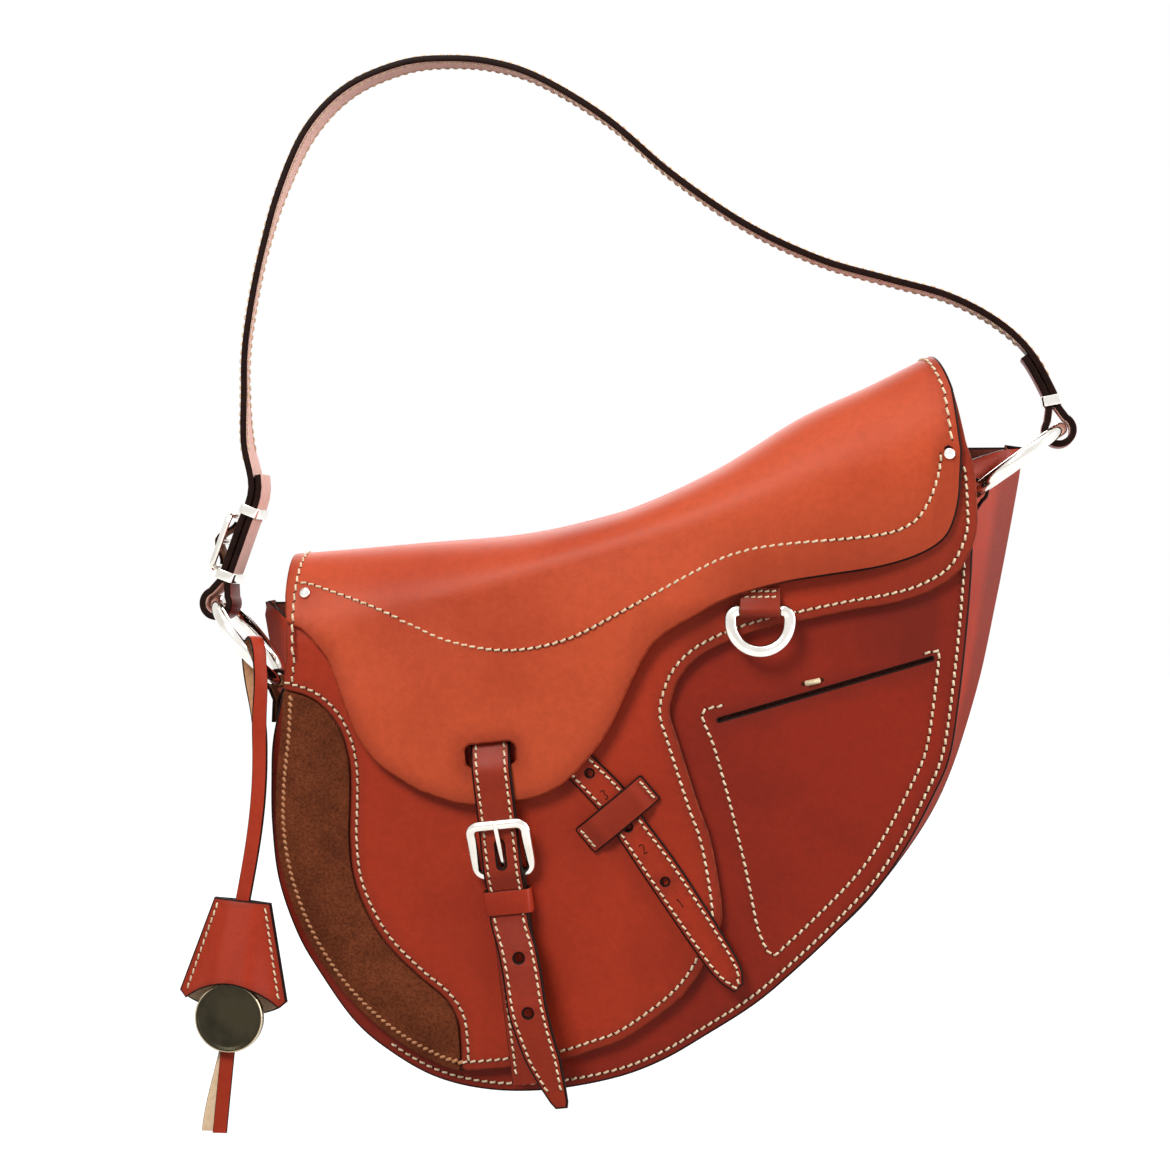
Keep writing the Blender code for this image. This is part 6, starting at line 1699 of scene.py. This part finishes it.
def make_stirrup():
    left = curve_of(stirrup_left_shares)
    right = curve_of(stirrup_right_shares)
    holes = [circle(place, STIRRUP_HOLE_RADIUS, 20) for place in sized(stirrup_hole_shares)]
    leather_sheet("stirrup_strap_leather", [left + right] + holes, STIRRUP_THICKNESS,
                  LID_FACE + FIT_GAP + STIRRUP_THICKNESS / 2, "lid", "stirrup_strap", STRAP_LOOKS,
                  STIRRUP_CELL, STIRRUP_REACH)
    sew("stirrup_stitches", [inset(side, STIRRUP_STITCH_INSET) for side in (left, right)], stirrup_top, "lid",
        STRAP_STITCH)
    corners = sized(stirrup_keeper_shares)
    start = (corners[0] + corners[1]) / 2
    end = (corners[2] + corners[3]) / 2
    along = (end - start).normalized()
    side = Vector((-along.y, along.x))
    length = (end - start).length
    half = ((corners[0] - corners[1]).length + (corners[2] - corners[3]).length) / 4
    low = LID_FACE + FIT_GAP + STIRRUP_KEEPER_THICKNESS / 2
    rise = STIRRUP_THICKNESS + FIT_GAP

    def place(run, across, n):
        """The keeper arches over the strap, and lies on the lid at both ends."""
        spot = start + along * run + side * across
        near_end = min(run, length - run) / length
        arch = smooth_step((near_end - arch_start_share) / arch_length_share)
        return on_skin(spot.x, spot.y, low + rise * arch + n)

    box = rounded_box((0, -half), (length, half), KEEPER_CORNER, 5)
    leather_shape("stirrup_keeper_leather", [box], STIRRUP_KEEPER_THICKNESS, place, "lid", "stirrup_keeper",
                  STRAP_LOOKS, level_cuts(0, length, KEEPER_CELL, 0))
    edge = half - KEEPER_STITCH_MARGIN
    ends = [[Vector((run, -edge)), Vector((run, edge))]
            for run in (KEEPER_STITCH_END, length - KEEPER_STITCH_END)]
    sew("stirrup_keeper_stitches", ends, lambda x, y, n: place(x, y, STIRRUP_KEEPER_THICKNESS / 2 + n), "lid",
        KEEPER_STITCH)


# The strap's stamped numerals, each one stroke from its top
digit_shares = {
    "3": ((-0.5, 0.8), (0.0, 1.0), (0.5, 0.7), (0.0, 0.1), (0.5, -0.4), (0.0, -1.0), (-0.5, -0.8)),
    "2": ((-0.5, 0.7), (0.0, 1.0), (0.5, 0.6), (0.3, 0.0), (-0.5, -1.0), (0.5, -1.0)),
    "1": ((-0.3, 0.6), (0.1, 1.0), (0.1, -1.0)),
}
DIGIT_DROP = 0.0105
DIGIT_WIDTH = 0.0016
DIGIT_HALF_HEIGHT = 0.0021
DIGIT_HALF_STROKE = 0.00022
DIGIT_RISE = 0.00004


def make_numbers():
    """Plain numerals beside the holes of the stirrup strap."""
    holes = sized(stirrup_hole_shares)
    up = (holes[0] - holes[2]).normalized()
    side = Vector((up.y, -up.x))
    work = bmesh.new()
    for digit, hole in zip("321", holes):
        centre = hole - up * DIGIT_DROP
        stroke = [centre + side * x * DIGIT_WIDTH + up * y * DIGIT_HALF_HEIGHT
                  for x, y in digit_shares[digit]]
        spots = evenly(stroke, 18)
        for low, high in zip(spots, spots[1:]):
            across = Vector((-(high - low).y, (high - low).x)).normalized() * DIGIT_HALF_STROKE
            corners = [low + across, low - across, high - across, high + across]
            work.faces.new([work.verts.new(stirrup_top(corner.x, corner.y, DIGIT_RISE))
                            for corner in corners])
    finish_piece("stamped_numbers", meshed(work, "numbers"), [HOLE_SHADE_AND_STAMP], "lid")


# D-ring
DEE_SHOULDER = 0.0030
DEE_BROAD = 1.5
DEE_STITCH_MARGIN = 0.0012
DEE_STITCH_ROWS = (0.0012, 0.0036)


def make_dee():
    straight = DEE_HALF_WIDTH - DEE_SHOULDER
    flat = [Vector((across, 0)) for across in spread(-straight, straight, 13)[:-1]]
    flat += arc((straight, -DEE_SHOULDER), DEE_SHOULDER, 90, 0, 8)
    flat += arc((0, -DEE_STRAIGHT), DEE_HALF_WIDTH, 0, -180, 36)
    flat += arc((-straight, -DEE_SHOULDER), DEE_SHOULDER, 180, 90, 8)[:-1]
    points = [DEE_CENTRE + DEE_SIDE * point.x + Vector((0, 0, point.y)) for point in flat]
    in_tab = DEE_TAB_WIDTH / 2 + FIT_GAP
    radii = [1 / DEE_BROAD if abs(point.x) < in_tab and point.y > -DEE_WIRE_RADIUS else 1 for point in flat]
    wire("d_ring_metal", points, DEE_WIRE_RADIUS, True, NICKEL, "d_ring", "d_ring", radii=radii,
         broad=DEE_BROAD)
    path = [Vector((up, DEE_BACK)) for up in spread(DEE_TAB_LENGTH, 0, 6)[:4]]
    path += arc((0, DEE_OFFSET), DEE_FOLD, 270, 50, 26)
    front = DEE_BACK + DEE_TAB_THICKNESS + FIT_GAP
    path += [Vector((up, front)) for up in spread(DEE_TAB_LENGTH * tab_close_share, DEE_TAB_LENGTH, 2)]
    strap_loft("d_ring_tab_leather", path, DEE_TAB_WIDTH, DEE_TAB_THICKNESS,
               lambda flat, across: dee_place(across, flat.x, flat.y), "lid", "d_ring_tab",
               [LEATHER, WARM_EDGE, FLESH])
    half = DEE_TAB_WIDTH / 2 - DEE_STITCH_MARGIN
    rows = [[Vector((-half, DEE_TAB_LENGTH - below)), Vector((half, DEE_TAB_LENGTH - below))]
            for below in DEE_STITCH_ROWS]
    sew("d_ring_tab_stitches", rows,
        lambda x, up, n: dee_place(x, up, front + DEE_TAB_THICKNESS / 2 + n), "lid", DEE_TAB_STITCH)


# Rings and tabs
RING_STEPS = 96


def make_rings():
    for name, centre, tilt in (("ring_left", LEFT_RING, LEFT_RING_TILT),
                               ("ring_right", RIGHT_RING, RIGHT_RING_TILT)):
        out = Vector((math.cos(tilt), 0, math.sin(tilt)))
        points = []
        for i in range(RING_STEPS):
            angle = 2 * math.pi * i / RING_STEPS
            around = out * math.cos(angle) + Vector((0, 1, 0)) * math.sin(angle)
            points.append(centre + around * RING_RADIUS)
        wire(name + "_metal", points, RING_WIRE_RADIUS, True, NICKEL, name, name, sides=9)


def make_tabs():
    half = (TAB_THICKNESS + FIT_GAP) / 2
    spread_angle = math.degrees(math.asin(half / TAB_LOOP)) + TAB_OPENING
    for name, tab, tilt, side in (("gusset_tab_left", LEFT_TAB, LEFT_RING_TILT, -1),
                                  ("gusset_tab_right", RIGHT_TAB, RIGHT_RING_TILT, 1)):
        towards_ring = Vector((side * math.cos(tilt), side * math.sin(tilt)))
        centre = Vector((tab.x, tab.z)) + towards_ring * TAB_SAG / 2
        foot = centre.y - TAB_LENGTH
        wall = wall_reach(side, foot - GUSSET_FLANGE, centre.y)
        anchor = Vector((side * (wall + FIT_GAP + TAB_THICKNESS + FIT_GAP / 2), foot))
        down = (anchor - centre).normalized()
        heading = math.degrees(math.atan2(down.y, down.x))
        square = Vector((-down.y, down.x)) * half
        end = centre + down * TAB_LENGTH
        neck = centre + down * TAB_LOOP * tab_neck_share
        path = evenly([end + square, neck + square], 6)
        path += arc(centre, TAB_LOOP, heading + spread_angle, heading + 360 - spread_angle, 30)
        path += evenly([neck - square, end - square], 6)
        strap_loft(name + "_leather", path, TAB_WIDTH, TAB_THICKNESS,
                   lambda flat, across: Vector((flat.x, STRAP_DEPTH + across, flat.y)), "bag_body", name,
                   STRAP_LOOKS, -1)


# Shoulder strap
STRAP_TWIST = math.radians(10)
TWIST_START = 0.015
TWIST_GROWTH = 0.07
TWIST_END = 0.170
TWIST_FADE = 0.04
TWIST_CROWN_CLEARANCE = 0.03
STRAP_STITCH_INSET = 0.0022
# Each face of the strap: its name, its side, and how far its stitches stay from the two ends of the run
STRAP_FACES = (("outer", 1, 0.052, 0.012), ("inner", -1, 0.056, 0.030))
band_corner_share = 1.5


def strap_place(flat, across):
    """A place on the strap, which turns a little about its own length on its long free run at the left."""
    drop = CROWN.y - flat.y
    turn = STRAP_TWIST * smooth_step((drop - TWIST_START) / TWIST_GROWTH)
    turn *= smooth_step((TWIST_END - drop) / TWIST_FADE)
    if flat.x > CROWN.x - TWIST_CROWN_CLEARANCE:
        turn = 0
    return Vector((flat.x - across * math.sin(turn), STRAP_DEPTH + across * math.cos(turn), flat.y))


def make_strap():
    whole = path_length(STRAP_PATH)
    single = path_length(RUN)
    turns = (whole - single - LEFT_RETURN - RIGHT_RETURN) / 2

    def marks(gone):
        """The left return's outer face takes the pale pink look, and the edge paint closes the seam of the
        two layers.
        """
        left = gone < LEFT_RETURN
        to_go = whole - gone
        doubled = (left or 0 < gone - LEFT_RETURN - turns < LEFT_RETURN
                   or to_go < RIGHT_RETURN or 0 < to_go - RIGHT_RETURN - turns < RIGHT_RETURN)
        return (2 if left else 0, 1 if doubled else 2)

    strap_loft("shoulder_strap_leather", STRAP_PATH, STRAP_WIDTH, STRAP_THICKNESS, strap_place, "strap",
               "shoulder_strap", [LEATHER, BURNISHED, PINK_FLESH], 1, marks)
    spots = evenly(RUN, 260)
    for face, side, start, stop in STRAP_FACES:

        def place(along, across, n, side=side):
            at = min(max(along / single, 0), 1) * (len(spots) - 1)
            i = min(int(at), len(spots) - 2)
            flat = spots[i].lerp(spots[i + 1], at - i)
            ahead = spots[i + 1] - spots[i]
            normal = Vector((-ahead.y, ahead.x)).normalized() * side
            return strap_place(flat + normal * (STRAP_THICKNESS / 2 + n), across)

        edge = STRAP_WIDTH / 2 - STRAP_STITCH_INSET
        rows = [[Vector((along, across)) for along in spread(start, single - stop, 60)]
                for across in (-edge, edge)]
        sew("strap_stitches_" + face, rows, place, "strap", SHOULDER_STITCH)


def make_bands():
    half_thick = LAYER_PITCH / 2 + STRAP_THICKNESS / 2 + FIT_GAP + STRAP_BAND_WALL / 2
    half_wide = STRAP_WIDTH / 2 + FIT_GAP + STRAP_BAND_WALL / 2
    path = rounded_box((-half_wide, -half_thick), (half_wide, half_thick),
                       STRAP_BAND_WALL * band_corner_share, 6)
    at_end = STRAP_BAND_HEIGHT * end_band_share
    above_adjuster = ADJUSTER_START + ADJUSTER_HEIGHT / 2 + STRAP_BAND_HEIGHT
    for name, run, distance, inner_side in (
            ("strap_band_left_low", RUN, at_end, -1), ("strap_band_left_high", RUN, above_adjuster, -1),
            ("strap_band_right", RUN[::-1], at_end, 1)):
        spot, along = point_on_run(run, distance)
        across = Vector((-along.y, along.x)) * inner_side
        centre = spot + across * LAYER_PITCH / 2

        def place(flat, up, centre=centre, across=across, along=along):
            point = centre + across * flat.y + along * up
            return Vector((point.x, STRAP_DEPTH + flat.x, point.y))

        loop_loft(name + "_metal", path, STRAP_BAND_HEIGHT, STRAP_BAND_WALL, place, "strap", name,
                  METAL_LOOKS)


PATCH_STITCH_INSET = 0.0016
PATCH_STITCH_CORNER = 0.003


def make_adjuster():
    spot, along = point_on_run(RUN, ADJUSTER_START)
    outward = Vector((-along.y, along.x))

    def place(y, up, out):
        flat = spot + along * up + outward * out
        return Vector((flat.x, STRAP_DEPTH + y, flat.y))

    face = STRAP_THICKNESS / 2 + FIT_GAP
    level = face + ADJUSTER_PATCH_THICKNESS + FIT_GAP + ADJUSTER_WIRE_RADIUS
    half = ADJUSTER_HEIGHT / 2
    loop = rounded_box((-ADJUSTER_HALF_WIDTH, -half), (ADJUSTER_HALF_WIDTH, half), ADJUSTER_CORNER, 8)
    wire("adjuster_buckle_metal", [place(point.x, point.y, level) for point in loop],
         ADJUSTER_WIRE_RADIUS, True, NICKEL, "strap", "adjuster_buckle")
    wire("adjuster_bar_metal", [place(y, 0, level) for y in (-ADJUSTER_HALF_WIDTH, ADJUSTER_HALF_WIDTH)],
         ADJUSTER_WIRE_RADIUS * adjuster_bar_share, False, NICKEL, "strap", None, "adjuster_buckle")
    reach = half - ADJUSTER_WIRE_RADIUS - FIT_GAP - ADJUSTER_PATCH_THICKNESS / 2

    def bulge(up):
        return ADJUSTER_PATCH_BULGE * (0.5 + 0.5 * math.cos(math.pi * min(max(up / reach, -1), 1)))

    path = [Vector((up, face + ADJUSTER_PATCH_THICKNESS / 2 + bulge(up))) for up in spread(-reach, reach, 40)]
    strap_loft("adjuster_patch_leather", path, ADJUSTER_PATCH_WIDTH, ADJUSTER_PATCH_THICKNESS,
               lambda flat, y: place(y, flat.x, flat.y), "strap", "adjuster_patch", STRAP_LOOKS)
    edge = ADJUSTER_PATCH_WIDTH / 2 - PATCH_STITCH_INSET
    end = reach - PATCH_STITCH_INSET
    loop = rounded_box((-edge, -end), (edge, end), PATCH_STITCH_CORNER, 4)
    sew("adjuster_patch_stitches", [loop + loop[:1]],
        lambda y, up, n: place(y, up, face + ADJUSTER_PATCH_THICKNESS + bulge(up) + n), "strap", PATCH_STITCH)


# Clochette
BELL_BACK_DROP = 0.0065
BELL_CELL = 0.0022
BELL_SIDE_CELL = 0.0018
BELL_REACH = 0.003
BELL_STITCH_INSET = 0.0024
BELL_STITCH_TOP = 0.0018
BELL_STITCH_FOOT = 0.0036
tail_splay_share = 0.62


def make_bell():
    top, bottom = BELL_TOP_WIDTH / 2, BELL_BOTTOM_WIDTH / 2
    cuts = level_cuts(-BELL_HEIGHT, 0, BELL_CELL) + level_cuts(-bottom, bottom, BELL_SIDE_CELL, 0)
    heights = spread(-BELL_STITCH_TOP, BELL_STITCH_FOOT - BELL_HEIGHT, 20)
    lines = [[Vector((side * (bell_half_width(up) - BELL_STITCH_INSET), up)) for up in heights]
             for side in (-1, 1)]
    for name, direction, arch in (("bell_front", -1, BELL_FRONT_ARCH), ("bell_back", 1, -BELL_BACK_DROP)):
        outline = [Vector((-top, 0)), Vector((-bottom, -BELL_HEIGHT + BELL_CORNER_CUT))]
        for share in spread(-1, 1, 24):
            outline.append(Vector((share * (bottom - BELL_CORNER_CUT), -BELL_HEIGHT + arch * (1 - share**2))))
        outline += [Vector((bottom, -BELL_HEIGHT + BELL_CORNER_CUT)), Vector((top, 0))]

        def place(across, up, n, direction=direction):
            share = min(abs(across) / bell_half_width(up), 1)
            bulge = BELL_TOP_BULGE + (BELL_BOTTOM_BULGE - BELL_TOP_BULGE) * (-up / BELL_HEIGHT)
            swell = bulge * smooth_step((1 - share) / bell_swell_share)
            return in_bell(across, up, direction * (BELL_SEAM / 2 + BELL_THICKNESS / 2 + swell + n))

        leather_shape(name + "_leather", [outline], BELL_THICKNESS, place, "bell", name,
                      [LEATHER, BURNISHED, TAN_FLESH], cuts, BELL_REACH)
        sew(name + "_stitches", lines,
            lambda x, up, n, place=place: place(x, up, BELL_THICKNESS / 2 + n), "bell", BELL_STITCH)


LACE_STEPS = 90
LACE_TOP_STEPS = 24
lace_corner_share = 0.4


def twisted(twist):
    """Across the lace and square to it, seen from above, where it is turned by a twist."""
    return Vector((math.cos(twist), math.sin(twist), 0)), Vector((-math.sin(twist), math.cos(twist), 0))


def make_lace():
    length = HANG.z - BELL_TOP.z + MEDALLION_DROP + LACE_TAIL_LENGTH
    runs = []
    for strand in (-1, 1):
        run = []
        for distance in spread(0, length, LACE_STEPS):
            place, twist, half = lace_pair(distance)
            across, apart = twisted(twist)
            past = smooth_step((distance - (length - LACE_TAIL_LENGTH)) / LACE_TAIL_LENGTH)
            splay = LACE_TAIL_SPREAD * tail_splay_share * past if strand > 0 else 0
            run.append((place + apart * half * strand - BELL_SIDE * splay, across))
        runs.append(run)
    across, apart = twisted(LACE_TWIST)
    top = []
    for angle in spread(0, math.pi, LACE_TOP_STEPS)[1:-1]:
        rise = Vector((0, 0, LACE_LOOP_TOP * math.sin(angle)))
        top.append((HANG - apart * LACE_LOOP_HALF * math.cos(angle) + rise, across))
    strip = runs[0][::-1] + top + runs[1]
    corner = LACE_THICKNESS * lace_corner_share
    section = band_section(LACE_WIDTH, LACE_THICKNESS, corner)
    work = bmesh.new()
    rings = []
    for i, (spot, across) in enumerate(strip):
        ahead = (strip[min(i + 1, len(strip) - 1)][0] - strip[max(i - 1, 0)][0]).normalized()
        out = ahead.cross(across).normalized()
        rings.append([work.verts.new(spot + across * x + out * n) for x, n in section])
    tail_top = BELL_TOP.z - MEDALLION_DROP
    for (spot, across), low, high in zip(strip, rings, rings[1:]):
        inner = 3 if spot.z < tail_top else 0
        band_faces(work, low, high, section, LACE_THICKNESS, corner, inner, 2)
    for ring in (rings[0], rings[-1]):
        work.faces.new(ring).material_index = 1
    finish_piece("clochette_lace_leather", meshed(work, "lace", outward=True),
                 [FLESH, BURNISHED, LEATHER, TAN_FLESH], "clochette", "clochette_lace", smooth=50)


MEDALLION_STEPS = 72
bail_post_share = 1.25


def make_medallion():
    half = MEDALLION_THICKNESS / 2
    rim = MEDALLION_RADIUS - MEDALLION_RIM
    dish = MEDALLION_DISH
    profile = [
        (0, half - dish), (rim * 0.5, half - dish), (rim * 0.86, half - dish), (rim - dish, half - dish),
        (rim - dish * 0.4, half - dish * 0.5), (rim, half - dish * 0.1), (rim + dish * 0.4, half),
        (MEDALLION_RADIUS - dish, half), (MEDALLION_RADIUS - dish * 0.3, half - dish * 0.3),
        (MEDALLION_RADIUS, half - dish), (MEDALLION_RADIUS, -half + dish),
        (MEDALLION_RADIUS - dish * 0.3, -half + dish * 0.3), (MEDALLION_RADIUS - dish, -half), (0, -half),
    ]
    marks = [0, 0, 0, 0, 0, 0, 0, 1, 1, 0, 0, 0, 0]
    mesh = turned_mesh(profile, in_bell(0, -MEDALLION_DROP, MEDALLION_DEPTH), Vector((0, -1, 0)),
                       MEDALLION_STEPS, marks)
    finish_piece("medallion_disc", mesh, [BRONZE, RUBBED], "medallion", "medallion", smooth=60)
    side = BAIL_HALF_WIDTH
    shoulder = -MEDALLION_DROP + math.sqrt(MEDALLION_RADIUS**2 - side**2) + BAIL_STRAIGHT
    foot = math.sqrt((MEDALLION_RADIUS + FIT_GAP) ** 2 - side**2) - MEDALLION_DROP + BAIL_FOOT
    flat = evenly([Vector((-side, foot)), Vector((-side, shoulder))], 5)[:-1]
    flat += arc((0, shoulder), side, 180, 0, 28)
    flat += evenly([Vector((side, shoulder)), Vector((side, foot))], 5)[1:]
    wire("medallion_bail_metal", [in_bell(point.x, point.y, MEDALLION_DEPTH) for point in flat],
         BAIL_WIRE_RADIUS, False, BRONZE, "medallion", "medallion_bail")
    work = bmesh.new()
    for x in (-side, side):
        bmesh.ops.create_uvsphere(work, u_segments=20, v_segments=12,
                                  radius=BAIL_WIRE_RADIUS * bail_post_share,
                                  matrix=Matrix.Translation(in_bell(x, foot, MEDALLION_DEPTH)))
    finish_piece("medallion_posts", meshed(work, "posts"), [RUBBED], "medallion", None, "medallion",
                 smooth=60)


for make in (make_body, make_back, make_gusset, make_lid, make_rivets, make_closure, make_buckle_strap,
             make_buckle, make_stirrup, make_numbers, make_dee, make_rings, make_tabs, make_strap, make_bands,
             make_adjuster, make_bell, make_lace, make_medallion):
    make()


# Studio
FLOOR = -0.4430
FLOOR_HALF_SIZE = 6.0
FLOOR_GREY = 0.30
# How far painted shade dims the floor's glow near the bag
FLOOR_PAINTED_SHADE = 0.17
SKY = 0.08
CAMERA_PLACE = (0.2095, -1.2372, -0.2163)
CAMERA_AIM = (0.0572, 0.0035, -0.2163)
LAMP_AIM = (0.06, 0.0, -0.24)
# Each lamp: its name, place, size, power and colour
LAMPS = (
    ("key", (-0.36, -0.98, 0.52), (0.50, 0.50), 14.5, (1.0, 0.985, 0.965)),
    ("fill", (1.25, -0.18, 0.05), (0.7, 1.2), 18.0, (1, 1, 1)),
    ("top", (0.05, -0.20, 1.05), (1.2, 0.8), 4.5, (1, 1, 1)),
    ("back", (0.1, 1.05, 0.45), (1.4, 0.7), 9.0, (1, 1, 1)),
)


def stood(name, data, place, target=None):
    """Puts an object in the scene, turned towards its target."""
    made = bpy.data.objects.new(name, data)
    made.location = place
    if target:
        made.rotation_euler = (Vector(target) - Vector(place)).to_track_quat("-Z", "Y").to_euler()
    bpy.context.scene.collection.objects.link(made)
    return made


def floor_look():
    """A pale floor that the camera sees as white, a little darker near the bag: painted shade that lets the
    bag's cast shadow show.
    """
    look = Look("pale_floor")
    look.shade("Base Color", (FLOOR_GREY, FLOOR_GREY, FLOOR_GREY))
    look.shade("Roughness", 0.9)
    look.shade("Specular IOR Level", 0.1)
    near = look.nodes.new("ShaderNodeTexGradient")
    near.gradient_type = "SPHERICAL"
    look.links.new(look.coords, near.inputs["Vector"])
    glow = look.nodes.new("ShaderNodeEmission")
    glow.inputs["Color"].default_value = (1, 1, 1, 1)
    # Painted shade: the floor's glow is dimmed near the bag.
    strength = look.maths("MULTIPLY", look.seen_rays(), look.scaled(near.outputs["Fac"], -FLOOR_PAINTED_SHADE, 1.0))
    look.links.new(strength, glow.inputs["Strength"])
    both = look.nodes.new("ShaderNodeAddShader")
    look.links.new(look.shader.outputs["BSDF"], both.inputs[0])
    look.links.new(glow.outputs["Emission"], both.inputs[1])
    look.links.new(both.outputs["Shader"], look.nodes["Material Output"].inputs["Surface"])
    return look.owner


def make_studio():
    work = bmesh.new()
    bmesh.ops.create_grid(work, x_segments=1, y_segments=1, size=FLOOR_HALF_SIZE)
    mesh = meshed(work, "studio")
    mesh.materials.append(floor_look())
    stood("studio_floor", mesh, (0, 0, FLOOR))
    for name, place, size, power, colour in LAMPS:
        light = bpy.data.lights.new(name, "AREA")
        light.shape = "RECTANGLE"
        light.size, light.size_y = size
        light.energy = power
        light.color = colour
        stood(name, light, place, LAMP_AIM)
    world = bpy.data.worlds.new("studio")
    bpy.context.scene.world = world
    tree = Tree(world)
    sky = tree.nodes["Background"]
    sky.inputs["Color"].default_value = (1, 1, 1, 1)
    tree.links.new(tree.scaled(tree.seen_rays(), 1 - SKY, SKY), sky.inputs["Strength"])


def make_camera():
    camera = bpy.data.cameras.new("camera")
    camera.sensor_width = 36
    camera.lens = 93.45
    camera.clip_end = 20
    bpy.context.scene.camera = stood("camera", camera, CAMERA_PLACE, CAMERA_AIM)


make_studio()
make_camera()
bpy.context.scene.view_settings.view_transform = "Standard"
